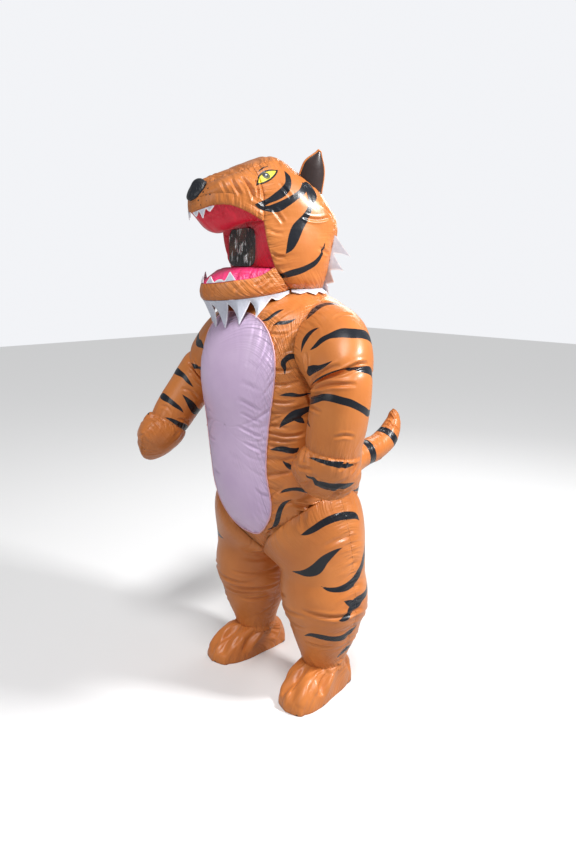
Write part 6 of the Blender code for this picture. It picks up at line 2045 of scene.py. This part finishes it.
def finishes(head: Head) -> dict[Enum, bpy.types.Material]:
    """Every finish, by its cloth or its look."""
    orange = Satin("orange_satin", (0.68, 0.232, 0.056), (0.58, 0.176, 0.037), ink=(0.012, 0.014, 0.020))
    face = Satin("face_satin", orange.colour, orange.shade, ink=orange.ink)
    return {
        Cloth.ORANGE: orange.build(),
        Look.PLAIN: Satin("plain_satin", orange.colour, orange.shade).build(),
        Look.FACE: Face(face, head).build(),
        Cloth.LILAC: Satin("lilac_satin", (0.792, 0.607, 0.845), (0.686, 0.502, 0.752),
                           crinkle=0.0009).build(),
        Cloth.RED: Satin("red_satin", (0.850, 0.026, 0.059), (0.708, 0.017, 0.042), 0.38).build(),
        Cloth.PINK: Satin("pink_satin", (0.950, 0.065, 0.236), (0.850, 0.041, 0.165), 0.36).build(),
        Cloth.DARK: Satin("dark_satin", (0.050, 0.030, 0.028), (0.030, 0.020, 0.020)).build(),
        Cloth.BLACK: Satin("black_satin", (0.018, 0.022, 0.030), (0.012, 0.014, 0.019), 0.34).build(),
        Cloth.TAPE: Tape().build(),
        Cloth.FELT: Felt().build(),
        Cloth.FILM: Film().build(),
        Cloth.PLASTIC: Moulded().build(),
        Cloth.METAL: ZipMetal().build(),
        Look.PIPING: Satin("piping_satin", (0.86, 0.52, 0.58), (0.80, 0.44, 0.52), crinkle=0.0003).build(),
        Look.THREAD_ORANGE: Thread("orange_thread", (0.60, 0.17, 0.03)).build(),
        Look.THREAD_DARK: Thread("dark_thread", (0.03, 0.03, 0.032)).build(),
    }


FOLD_DEPTH = 1.45  # what the table's depths and widths are multiplied by
FOLD_WIDTH = 0.88
CREASES = {  # knots in the group's measures, then depth and half width in millimetres
    "trunk": (
        (((34, 952), (44, 944), (53, 940), (62, 947)), 6.0, 6.5),
        (((36, 930), (46, 922), (57, 926)), 4.5, 6.0),
        (((39, 1170), (47, 1161), (55, 1164)), 3.5, 6.0),
        (((38, 1122), (45, 1114), (53, 1117)), 3.0, 5.5),
        (((39, 1062), (47, 1053), (58, 1057)), 4.0, 6.0),
        (((38, 1022), (44, 1016), (51, 1019)), 2.6, 5.0),
        (((38, 978), (46, 970), (52, 966)), 3.6, 6.0),
        (((37, 906), (44, 899), (52, 903)), 3.2, 6.0),
        (((40, 866), (47, 858), (55, 864)), 3.6, 6.0),
        (((40, 818), (46, 810), (53, 813)), 2.8, 5.5),
        (((49, 710), (60, 694), (72, 685), (84, 692)), 6.0, 7.5),
        (((54, 676), (66, 664), (80, 666)), 4.5, 7.0),
        (((26, 560), (34, 590), (44, 622)), 4.0, 6.0),
        (((64, 1094), (66, 1060), (70, 1018), (72, 980)), 4.5, 7.0),
        (((108, 1096), (106, 1056), (104, 1012)), 4.5, 7.0),
        (((96, 930), (118, 920), (142, 926), (164, 922)), 5.0, 8.0),
        (((100, 1010), (124, 1000), (150, 1006)), 3.5, 7.0),
        (((118, 1240), (140, 1232), (162, 1238)), 3.5, 7.0),
        (((130, 1150), (150, 1140), (170, 1146)), 3.0, 6.5),
        (((98, 850), (110, 842), (122, 846)), 3.5, 7.0),
        (((130, 744), (150, 736), (166, 742)), 4.0, 7.5),
        (((120, 660), (140, 650), (158, 656)), 4.0, 7.0),
        (((122, 1346), (136, 1340), (152, 1344)), 3.0, 6.0),
        (((34, 1290), (44, 1280), (54, 1284)), 2.6, 6.0),
    ),
    "belly": (
        (((22, 1190), (30, 1176), (37, 1158)), 2.4, 5.5),
        (((20, 1120), (28, 1108), (35, 1088)), 3.0, 6.0),
        (((16, 1062), (25, 1046), (34, 1022)), 3.4, 6.5),
        (((18, 1012), (26, 998), (34, 976)), 3.2, 6.0),
        (((14, 962), (24, 946), (35, 926)), 3.6, 6.5),
        (((18, 906), (26, 893), (34, 876)), 2.8, 6.0),
        (((2, 850), (8, 842), (14, 846)), 2.2, 5.0),
        (((4, 816), (10, 808), (17, 813)), 2.0, 5.0),
        (((24, 742), (30, 730), (36, 726)), 2.8, 6.0),
        (((-34, 1010), (-26, 996), (-18, 990)), 2.2, 6.0),
        (((-34, 900), (-25, 888), (-16, 884)), 2.4, 6.0),
        (((-30, 770), (-22, 760), (-12, 760)), 2.2, 6.0),
    ),
    "leg": (
        (((16, 338), (42, 328), (70, 323), (102, 331)), 5.5, 7.0),
        (((-12, 352), (-36, 346), (-60, 352), (-84, 362)), 4.5, 7.0),
        (((24, 318), (2, 312), (-22, 308), (-50, 314)), 4.0, 6.5),
        (((-8, 286), (-34, 280), (-62, 284), (-90, 296)), 5.0, 7.0),
        (((20, 264), (-6, 258), (-36, 256), (-60, 262)), 3.6, 6.0),
        (((-20, 232), (-46, 228), (-76, 236)), 3.6, 6.0),
        (((10, 198), (36, 192), (62, 194)), 3.0, 6.0),
        (((108, 300), (130, 292), (156, 298)), 4.0, 7.0),
        (((150, 340), (176, 330), (204, 336)), 4.5, 7.5),
        (((164, 236), (188, 230), (212, 238)), 3.6, 6.5),
        (((96, 200), (120, 194), (146, 200)), 3.4, 6.5),
        (((-30, 410), (-52, 404), (-74, 412)), 3.5, 7.0),
        (((46, 560), (64, 575), (84, 580), (104, 572)), 3.6, 7.5),
        (((160, 500), (180, 492), (200, 498)), 3.6, 7.0),
    ),
    "arm_left": (
        (((108, 6.3), (90, 5.75), (66, 5.5), (42, 5.5), (14, 5.3), (-16, 5.2)), 8.0, 8.0),
        (((104, 5.2), (86, 4.85), (64, 4.7), (44, 4.75)), 5.0, 7.0),
        (((100, 6.9), (80, 6.6), (58, 6.6), (36, 6.8), (18, 6.9)), 5.5, 7.0),
        (((104, 7.7), (88, 7.45), (68, 7.4)), 4.0, 6.5),
        (((112, 9.0), (92, 8.9), (70, 9.0)), 3.0, 6.0),
        (((96, 3.0), (86, 2.4), (80, 1.8)), 4.0, 7.0),
        (((30, 1.7), (12, 1.9), (-10, 2.0)), 3.0, 7.0),
        (((128, 6.0), (150, 5.8), (172, 6.2)), 5.0, 7.0),
        (((-60, 5.0), (-84, 4.8), (-112, 5.2)), 4.0, 7.0),
        (((-130, 5.4), (-152, 5.8), (-172, 6.2)), 5.0, 7.0),
        (((50, 10.6), (30, 10.3), (8, 10.4)), 2.6, 6.0),
    ),
    "arm_right": (
        (((76, 5.9), (92, 5.6), (112, 5.4), (136, 5.6)), 6.0, 7.0),
        (((90, 6.6), (110, 6.5), (134, 6.7)), 4.0, 6.5),
        (((84, 4.3), (104, 4.1), (126, 4.3)), 3.6, 6.5),
        (((100, 9.0), (124, 8.8), (150, 9.1)), 3.2, 6.0),
        (((88, 11.2), (108, 11.0), (130, 11.3)), 3.2, 6.0),
        (((-20, 5.6), (-50, 5.4), (-84, 5.8)), 4.5, 7.0),
        (((150, 11.4), (176, 11.2), (204, 11.5)), 3.2, 6.0),
    ),
    "mitt": (
        (((6.9, 1.0), (5.6, 2.2), (5.0, 3.9)), 5.5, 10.0),
        (((2.0, 3.9), (3.4, 3.1), (4.6, 3.3)), 2.0, 9.0),
        (((3.2, 0.4), (3.0, 1.6), (2.4, 2.8)), 5.0, 9.0),
        (((7.3, 6.0), (7.15, 5.2), (6.7, 4.3)), 4.6, 8.0),
        (((6.4, 6.0), (6.3, 5.4), (6.0, 4.8)), 3.4, 7.0),
        (((4.6, 6.0), (4.7, 5.6), (4.6, 5.1)), 2.6, 7.0),
        (((2.8, 6.0), (2.9, 5.4), (3.2, 4.8)), 4.0, 5.5),
        (((1.4, 6.0), (1.5, 5.2), (1.9, 4.4)), 4.6, 6.0),
        (((7.0, 3.4), (6.2, 3.9), (5.4, 4.2)), 3.2, 6.5),
        (((1.2, 2.3), (2.0, 1.9), (2.9, 1.9)), 3.2, 6.5),
        (((3.4, 0.9), (4.2, 1.3), (5.0, 1.2)), 2.8, 6.0),
    ),
    "foot": (  # the ring's column and row; a depth below zero is a ridge
        (((4.6, 0.2), (4.2, 2.4), (3.4, 4.8)), 10.0, 17.0),
        (((6.3, 0.2), (6.4, 2.6), (6.6, 5.0)), -7.0, 20.0),
        (((8.2, 0.2), (8.7, 2.4), (9.4, 4.4)), 10.0, 16.0),
        (((12.6, 0.4), (13.0, 2.4), (13.4, 4.2)), 8.0, 14.0),
        (((15.4, 0.5), (15.7, 3.2)), 6.0, 14.0),
        (((18.0, 0.5), (18.4, 2.6), (18.9, 4.0)), 8.0, 15.0),
        (((1.0, 0.3), (1.2, 2.6), (0.8, 4.6)), 7.0, 15.0),
    ),
    "head": (
        (((128, 276, 1824), (140, 260, 1798), (149, 246, 1768), (156, 236, 1735)), 5.5, 7.0),
        (((138, 230, 1826), (150, 224, 1792), (157, 226, 1760), (161, 232, 1734)), 4.5, 6.0),
        (((112, 304, 1806), (124, 292, 1780), (134, 276, 1752)), 4.0, 7.0),
        (((100, 330, 1796), (112, 322, 1776), (120, 312, 1756)), 2.6, 6.0),
        (((186, 62, 1690), (190, 30, 1682), (188, -12, 1681), (178, -52, 1690)), 4.5, 6.0),
        (((168, 176, 1716), (176, 150, 1690), (180, 128, 1660)), 3.2, 7.0),
        (((164, 186, 1640), (172, 160, 1630), (178, 130, 1628)), 3.0, 6.5),
        (((164, 176, 1560), (172, 150, 1548), (176, 120, 1546)), 3.4, 6.5),
        (((158, 150, 1500), (160, 128, 1482), (158, 104, 1470)), 3.6, 6.5),
        (((150, 140, 1800), (158, 118, 1774), (166, 100, 1752)), 2.6, 6.5),
        (((176, -20, 1740), (178, -48, 1716), (172, -76, 1700)), 3.6, 7.0),
        (((182, -10, 1580), (178, -44, 1566), (166, -76, 1560)), 3.2, 7.0),
    ),
    "crown": (
        (((60, 300, 1832), (20, 312, 1834), (-20, 312, 1834), (-60, 300, 1832)), 3.2, 7.0),
        (((90, 240, 1862), (60, 236, 1870), (30, 240, 1872)), 3.0, 6.5),
        (((-90, 200, 1878), (-60, 206, 1880), (-26, 200, 1882)), 3.0, 6.5),
        (((60, 120, 1892), (10, 112, 1896), (-50, 118, 1892)), 3.4, 8.0),
        (((80, 10, 1840), (20, 2, 1846), (-60, 8, 1842)), 4.0, 8.0),
        (((90, -60, 1784), (30, -70, 1790), (-50, -64, 1786)), 4.0, 8.0),
    ),
    "head_back": (
        (((80, -160, 1640), (30, -182, 1630), (-40, -180, 1634)), 4.5, 8.0),
        (((60, -168, 1560), (0, -178, 1552), (-60, -168, 1558)), 4.5, 8.0),
        (((50, -160, 1480), (0, -166, 1474), (-56, -158, 1480)), 4.5, 8.0),
    ),
    "jaw": (
        (((152, 170, 1478), (146, 196, 1458), (136, 226, 1440)), 4.5, 6.0),
        (((150, 160, 1462), (146, 186, 1440), (140, 206, 1424)), 3.6, 6.0),
        (((128, 262, 1452), (118, 280, 1436), (110, 288, 1420)), 3.0, 6.0),
        (((60, 338, 1444), (52, 344, 1424), (46, 344, 1406)), 2.6, 6.0),
        (((-40, 346, 1442), (-50, 344, 1424), (-58, 338, 1408)), 2.6, 6.0),
        (((-128, 262, 1452), (-120, 280, 1436), (-112, 288, 1420)), 3.0, 6.0),
        (((-152, 170, 1478), (-146, 196, 1458), (-136, 226, 1440)), 4.5, 6.0),
    ),
    "floor": (
        (((100, 200, 1490), (70, 230, 1488), (46, 262, 1480)), 4.0, 6.0),
        (((120, 230, 1480), (100, 256, 1476), (84, 280, 1470)), 3.4, 5.5),
        (((40, 190, 1500), (20, 226, 1496), (8, 262, 1484)), 4.0, 6.0),
        (((-30, 190, 1500), (-40, 226, 1494), (-36, 262, 1482)), 4.0, 6.0),
        (((-100, 200, 1490), (-84, 232, 1486), (-60, 262, 1478)), 4.0, 6.0),
    ),
    "palate": (
        (((100, 230, 1690), (60, 250, 1700), (20, 256, 1704)), 3.0, 7.0),
        (((-100, 230, 1690), (-60, 262, 1702), (-20, 280, 1708)), 3.0, 7.0),
        (((80, 290, 1716), (40, 310, 1720), (0, 316, 1720)), 3.0, 7.0),
    ),
    "tail": (  # degrees from the top and hundredths of its length
        (((20, 22), (60, 23), (100, 21), (150, 23)), 3.4, 6.0),
        (((200, 30), (240, 31), (290, 29)), 3.4, 6.0),
        (((120, 52), (160, 53), (210, 51)), 3.6, 6.0),
        (((150, 62), (190, 63), (230, 61)), 3.6, 6.0),
        (((140, 74), (180, 75), (220, 73)), 4.0, 5.0),
        (((150, 82), (180, 83), (215, 81)), 3.4, 4.5),
        (((20, 80), (60, 82), (100, 80)), 2.6, 5.0),
    ),
}


@dataclass
class Studio:
    """The floor, the lights and the camera at the photograph's viewing angle."""

    azimuth: float = math.radians(48)
    height: float = 1.5
    distance: float = 2.70
    focal_px: float = 709.0
    horizon_px: float = 270.0
    frame_px: tuple = (576, 864)
    sensor: float = 36.0
    sky_light: float = 0.20
    sky_seen: float = 0.93
    floor_light: float = 0.50
    floor_seen: float = 0.88
    floor_half: float = 12.0
    backdrop: tuple = (0.96, 0.97, 1.0, 1.0)
    sun_power: float = 1.80
    sun_width: float = math.radians(22)
    sun_tilt: tuple = (math.radians(16), math.radians(22), 0.0)
    aim_height: float = 1.0
    lamps: tuple = (  # to the picture's right, toward the camera and up, then watts and width
        ("key", 2.3, 1.0, 2.7, 105.0, 0.45),
        ("fill", -2.6, 2.4, 2.3, 20.0, 1.6),
        ("back", 1.0, -2.4, 2.6, 22.0, 1.2),
    )

    def by_ray(self, tree: bpy.types.NodeTree, light: float, seen: float) -> bpy.types.NodeSocket:
        """A value that is one number where a surface lights others and another where the camera sees it.

        Args:
            tree: The node tree it is made in.
            light: The value for light.
            seen: The value for the camera.

        Returns:
            The value's socket.
        """
        rays, share = tree.nodes.new("ShaderNodeLightPath"), tree.nodes.new("ShaderNodeMapRange")
        share.inputs["To Min"].default_value, share.inputs["To Max"].default_value = light, seen
        tree.links.new(rays.outputs["Is Camera Ray"], share.inputs["Value"])
        return share.outputs[0]

    def sky(self) -> bpy.types.World:
        """A near-white backdrop that lights the scene less than it shows, so that folds keep their shade."""
        world = bpy.data.worlds.new("world")
        world.use_nodes = True
        shown = world.node_tree.nodes["Background"]
        shown.inputs["Color"].default_value = self.backdrop
        strength = self.by_ray(world.node_tree, self.sky_light, self.sky_seen)
        world.node_tree.links.new(strength, shown.inputs["Strength"])
        return world

    def floor(self) -> bpy.types.Object:
        """A plain pale floor, which throws back less light than it shows, as the sky does."""
        corners = np.array([(-1, -1, 0), (1, -1, 0), (1, 1, 0), (-1, 1, 0)]) * self.floor_half
        floor = build_mesh("floor", corners + DOWN * 0.0005 + MIDDLE, np.array([[0, 1, 2, 3]]))
        made = Nodes("floor", 0.9)
        made.paint(self.by_ray(made.tree, self.floor_light, self.floor_seen))
        floor.data.materials.append(made.material)
        return floor

    def build(self) -> None:
        """Makes the floor, the soft lights and the camera."""
        scene = bpy.context.scene
        toward = np.array([math.sin(self.azimuth), -math.cos(self.azimuth), 0.0])
        right = np.array([math.cos(self.azimuth), math.sin(self.azimuth), 0.0])
        camera = bpy.data.objects.new("camera", bpy.data.cameras.new("camera"))
        scene.collection.objects.link(camera)
        camera.location = toward * self.distance - DOWN * self.height - MIDDLE
        camera.rotation_euler = (PI / 2, 0.0, self.azimuth)
        camera.data.sensor_width = self.sensor
        camera.data.lens = self.focal_px / self.frame_px[1] * self.sensor
        camera.data.shift_y = (self.horizon_px - self.frame_px[1] / 2) / self.frame_px[1]
        scene.camera = camera
        self.floor()
        scene.world = self.sky()
        scene.view_settings.view_transform = "Standard"
        sun = bpy.data.objects.new("overhead", bpy.data.lights.new("overhead", "SUN"))
        sun.data.energy, sun.data.angle = self.sun_power, self.sun_width
        sun.rotation_euler = self.sun_tilt
        scene.collection.objects.link(sun)
        for name, over, near, up, power, wide in self.lamps:
            place = right * over + toward * near - DOWN * up
            lamp = bpy.data.lights.new(name, "AREA")
            lamp.energy, lamp.size = power, wide
            light = bpy.data.objects.new(name, lamp)
            scene.collection.objects.link(light)
            light.location = place
            light.rotation_euler = Vector(-DOWN * self.aim_height - place).to_track_quat("-Z", "Y").to_euler()


def tube(path: Array, normals: Array, radius: float, sides: int, closed: bool) -> tuple[Array, Array]:
    """A round tube along a line that lies on cloth.

    Args:
        path: The line's points.
        normals: The cloth's normal at each.
        radius: The tube's radius.
        sides: Sides of its round.
        closed: Whether the line closes on itself.

    Returns:
        Points and four-sided faces.
    """
    along = np.roll(path, -1, 0) - np.roll(path, 1, 0) if closed else np.gradient(path, axis=0)
    side = unit(np.cross(unit(along), normals))
    up = np.cross(side, unit(along))
    turn = np.arange(sides) * 2 * PI / sides
    points = path[:, None] + spokes(turn, side, up) * radius
    if closed:
        points = np.concatenate([points, points[:1]])
    else:
        ends = [np.repeat(path[row][None, None], sides, 1) for row in (0, -1)]
        points = np.concatenate([ends[0], points, ends[1]])
    return points.reshape(-1, 3), grid_faces(len(points), sides, True)


def stitched(path: Array, normals: Array, pitch: float, length: float, radius: float) -> tuple[Array, Array]:
    """Short stitches that follow a line and dip into the cloth at both ends.

    Args:
        path: The line's points.
        normals: The cloth's normal at each.
        pitch: The distance between stitches.
        length: Each stitch's length.
        radius: The thread's radius.

    Returns:
        Points and four-sided faces.
    """
    run = running(path)
    start = np.arange(pitch / 2, run[-1] - length, pitch)
    share = np.array([0.0, 0.2, 0.5, 0.8, 1.0])
    place = start[:, None] + share * length
    centre, normal = along_line(place, run, path), unit(along_line(place, run, normals))
    centre = centre + normal * (radius * (1.8 * np.sin(PI * share) - 0.9))[None, :, None]
    along = unit(np.gradient(centre, axis=1))
    side = unit(np.cross(along, normal))
    points = centre[:, :, None] + spokes(np.arange(6) * PI / 3, side, normal) * radius
    one = grid_faces(len(share), 6, True)
    faces = one[None] + (np.arange(len(start)) * len(share) * 6)[:, None, None]
    return points.reshape(-1, 3), faces.reshape(-1, 4)


def joined(parts: Sequence[tuple[Array, Array]]) -> tuple[Array, Array]:
    """Several meshes' points and faces as one."""
    starts = np.concatenate([[0], np.cumsum([len(points) for points, _ in parts])])
    return (np.concatenate([points for points, _ in parts]),
            np.concatenate([faces + start for (_, faces), start in zip(parts, starts)]))


@dataclass
class Notions:
    """What is sewn or bound onto the panels: piping, ear bindings, stitches and the zip's teeth."""

    dresser: Dresser
    piping_radius: float = 0.0026
    binding_radius: float = 0.0034
    stitch_pitch: float = 0.0045
    stitch_length: float = 0.0032
    thread_radius: float = 0.00032
    tooth_pitch: float = 0.0021
    tooth_size: tuple = (0.0026, 0.0010, 0.0015)
    tooth_off: float = 0.42  # from the zip's line to each row's middle, in a tooth's width

    def add(self, name: str, parts: Sequence[tuple[Array, Array]], look: Enum, slot: Cloth) -> None:
        """Joins the parts into one piece that rides on the costume."""
        thing = build_mesh(name, *joined(parts))
        thing.data.materials.append(self.dresser.materials[look])
        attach(thing, "costume")
        LOG.info("%s: %d faces", name, len(thing.data.polygons))

    def line(self, name: str, row: int, close: bool = False) -> tuple[Array, Array]:
        """One row of a finished panel's points and normals."""
        points, normals = self.dresser.surfaces[name]
        lines = points[row], normals[row]
        return tuple(np.concatenate([line, line[:1]]) for line in lines) if close else lines

    def sewn(self, *line: Array) -> tuple[Array, Array]:
        """A row of stitches along a line."""
        return stitched(*line, self.stitch_pitch, self.stitch_length, self.thread_radius)

    def piping(self) -> None:
        """The pale cord sewn into the belly's edge."""
        points, normals = self.line("belly", 0)
        rim = tube(points + normals * 0.0012, normals, self.piping_radius, 10, True)
        self.add("belly_piping", [rim], Look.PIPING, Cloth.LILAC)

    def bindings(self, ears: Sequence[Plate]) -> None:
        """The orange edge that is rolled round each ear."""
        for ear in (plate for plate in ears if plate.name.startswith("ear_front")):
            grid = ear.grid + ear.thick / 2
            path = chain(grid[:, 0], grid[-1], grid[::-1, -1])
            outward = np.broadcast_to(unit(ear.thick.reshape(-1, 3)[0]), path.shape)
            edge = tube(path, outward, self.binding_radius, 10, False)
            self.add(ear.name.replace("front", "binding"), [edge], Look.PLAIN, Cloth.ORANGE)

    def seams(self) -> None:
        """Rows of stitches at the soles, cuffs and hems, round the window and down the zip's tapes."""
        orange = [self.sewn(*self.line(f"{part}_{word}", -3, True))
                  for part in ("foot_upper", "sleeve") for word in ("left", "right")]
        orange += [self.sewn(*self.line(f"leg_{half}_{word}", -3))
                   for half in ("front", "back") for word in ("left", "right")]
        self.add("orange_stitches", orange, Look.THREAD_ORANGE, Cloth.ORANGE)
        dark = [self.sewn(*self.line("throat", 3, True))]
        for word in ("left", "right"):
            points, normals = self.dresser.surfaces[f"zip_tape_{word}"]
            share = 0.2 if word == "left" else 0.8
            across = points[:, 0] * (1 - share) + points[:, -1] * share
            dark.append(self.sewn(across, normals[:, 0]))
        self.add("dark_stitches", dark, Look.THREAD_DARK, Cloth.TAPE)

    def zip_teeth(self) -> None:
        """Two rows of teeth down the zip's middle, each half a step past the other."""
        points, normals = self.dresser.surfaces["zip_tape_left"]
        path, normal = points[:, -1], normals[:, -1]
        run = running(path)
        corners = np.array([(x, y, z) for z in (0, 1) for y in (-0.5, 0.5) for x in (-0.5, 0.5)])
        sides = np.array([(0, 2, 3, 1), (4, 5, 7, 6), (0, 1, 5, 4), (2, 6, 7, 3), (0, 4, 6, 2), (1, 3, 7, 5)])
        parts = []
        for sign in (1, -1):
            place = np.arange(self.tooth_pitch * (1 + sign / 4), run[-1], self.tooth_pitch)
            spot, up = along_line(place, run, path), unit(along_line(place, run, normal))
            along = unit(np.gradient(spot, axis=0))
            across = np.cross(along, up)
            middle = spot + across * sign * self.tooth_size[0] * self.tooth_off
            box = middle[:, None]
            for axis, (size, way) in enumerate(zip(self.tooth_size, (across, along, up))):
                box = box + corners[None, :, axis : axis + 1] * size * way[:, None]
            faces = sides[None] + (np.arange(len(place)) * 8)[:, None, None]
            parts.append((box.reshape(-1, 3), faces.reshape(-1, 4)))
        self.add("zip_teeth", parts, Cloth.PLASTIC, Cloth.TAPE)

    def build(self, ears: Sequence[Plate]) -> None:
        """Makes them all."""
        self.piping()
        self.bindings(ears)
        self.seams()
        self.zip_teeth()


@dataclass
class Places:
    """Where each group's own measures lie on the costume."""

    trunk: Trunk
    head: Head
    limbs: dict[str, Leg | Arm]
    groups: dict[str, list[Panel]]

    def on_head(self, sign: int, left: float, ahead: float, height: float) -> Array:
        """A point of the head, from millimetres."""
        return self.head.on_side(sign, (left / 1000, ahead / 1000, height / 1000))[0]

    def on_trunk(self, sign: int, angle: float, height: float) -> Array:
        """A point of the trunk, from degrees and millimetres."""
        return self.trunk.point(math.radians(sign * angle), height / 1000)

    def on_leg(self, sign: int, angle: float, height: float) -> Array:
        """A point near the leg, from degrees and millimetres."""
        turn = math.radians(angle)
        return np.array([sign * (0.19 + 0.15 * math.sin(turn)), -0.15 * math.cos(turn), height / 1000])

    def on_tail(self, sign: int, turn: float, share: float) -> Array:
        """A point of the tail, from degrees round and hundredths of its length."""
        places = np.linspace(0.0, 1.0, 101)
        y, z, radius = read(TAIL, places)
        way = unit(np.gradient(np.stack([y, z], -1), axis=0))
        row, round_by = int(share), math.radians(turn)
        over = radius[row] * math.cos(round_by)
        return np.array([sign * math.sin(round_by) * radius[row], y[row] - over * way[row, 1],
                         z[row] + over * way[row, 0]])

    def finder(self, group: str, sign: int) -> Callable[..., Array]:
        """The function that takes a group's measures to a point near its cloth."""
        fixed = {"trunk": self.on_trunk, "belly": self.on_trunk, "tail": self.on_tail}
        kind = group.split("_")[0]
        if group in fixed:
            return lambda *knot: fixed[group](sign, *knot)
        if kind == "leg":
            return lambda *knot: self.on_leg(sign, *knot)
        if kind in ("arm", "mitt", "foot"):
            panel, fine = self.groups[group][0], self.limbs[group].fine
            if kind == "arm":
                step = fine * self.trunk.arm_spans / 180
                return lambda turn, row: sampled(panel.grid, row * fine, turn * step, True)
            return lambda column, row: sampled(panel.grid, row * fine, column * fine, panel.wrap)
        return lambda *knot: self.on_head(sign, *knot)

    def folds_and_prints(self) -> dict[str, tuple[list[tuple[Lay, Crease]], list[tuple[Array, Array]]]]:
        """Each group's listed folds, with their cloth, and its stripes as lines with half widths."""
        found = {}
        for group, panels in self.groups.items():
            key = group if group in CREASES or group in STRIPES else group.rsplit("_", 1)[0]
            folds, prints = [], []
            signs = (1, -1) if group == "trunk" else (-1,) if group.endswith("_right") else (1,)
            for sign in signs if group else ():
                lay = Lay(panels, self.finder(group, sign))
                prints += [lay.line(stripe) for stripe in STRIPES.get(key, ())]
                folds += [(lay, Crease(knots, depth * FOLD_DEPTH / 1000, width * FOLD_WIDTH / 1000))
                          for knots, depth, width in CREASES.get(key, ())]
            found[group] = (folds, prints)
        return found


def eye_places(panel: Panel, head: Head) -> dict[str, Array]:
    """Where each point lies on its side's eye, and on the head before any fold moved it, in metres.

    Args:
        panel: A panel of the head's side.
        head: The head.

    Returns:
        Named numbers for each point.
    """
    sign = 1 if panel.group == "head_left" else -1
    middle, front, rear = head.on_side(sign, EYE_MIDDLE, *EYE_CORNERS)
    across = unit(rear - front)
    up = unit(np.cross(across, head.on_side(sign, (1.0, 0.0, 0.0))[0]))
    up = up * np.sign(up[2])
    off = panel.grid - middle
    found = {"eye_across": off @ across, "eye_up": off @ up}
    found.update({f"rest_{part}": panel.grid[..., axis] for axis, part in enumerate("xyz")})
    return found


def main() -> None:
    """Builds, dresses and reports every piece."""
    logging.basicConfig(level=logging.INFO, format="%(name)s: %(message)s")
    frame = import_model()
    Studio().build()
    trunk = Trunk()
    head = Head(trunk)
    limbs = {"leg_left": Leg(trunk, 1, "left"), "leg_right": Leg(trunk, -1, "right"),
             "arm_left": Arm(trunk, 1, "left", LEFT_SLEEVE, 2),
             "arm_right": Arm(trunk, -1, "right", RIGHT_SLEEVE, 1)}
    panels = trunk.panels() + head.panels() + Tail(trunk).panels()
    for limb in limbs.values():
        panels += limb.panels()
    groups: dict[str, list[Panel]] = {}
    for panel in panels:
        groups.setdefault(panel.group, []).append(panel)
    for word in ("left", "right"):
        limbs[f"mitt_{word}"], limbs[f"foot_{word}"] = limbs[f"arm_{word}"], limbs[f"leg_{word}"]
    laid = Places(trunk, head, limbs, groups).folds_and_prints()
    dresser = Dresser(finishes(head))
    for number, panel in enumerate(panels):
        folds, prints = laid[panel.group]
        lift = sum((creased(panel, lay, fold) for lay, fold in folds), np.zeros(panel.grid.shape[:2]))
        values = {"stripe": printed(panel, prints)} if panel.cloth is Cloth.ORANGE else {}
        if panel.group in FACE_GROUPS:
            values.update(eye_places(panel, head))
        dresser.panel(panel, lift, values, number)
    trim = Trim(trunk, head)
    ears = trim.ears()
    for plate in trim.ruff() + trim.teeth() + ears:
        dresser.plate(plate)
    Notions(dresser).build(ears)
    hard = {"fan_grille": Cloth.PLASTIC, "fan_housing": Cloth.PLASTIC, "fan_rotor": Cloth.PLASTIC,
            "zip_slider": Cloth.METAL, "zip_pull": Cloth.METAL}
    for name, cloth in hard.items():
        frame["nodes"][name].data.materials.clear()
        frame["nodes"][name].data.materials.append(dresser.materials[cloth])


if __name__ == "__main__":
    main()
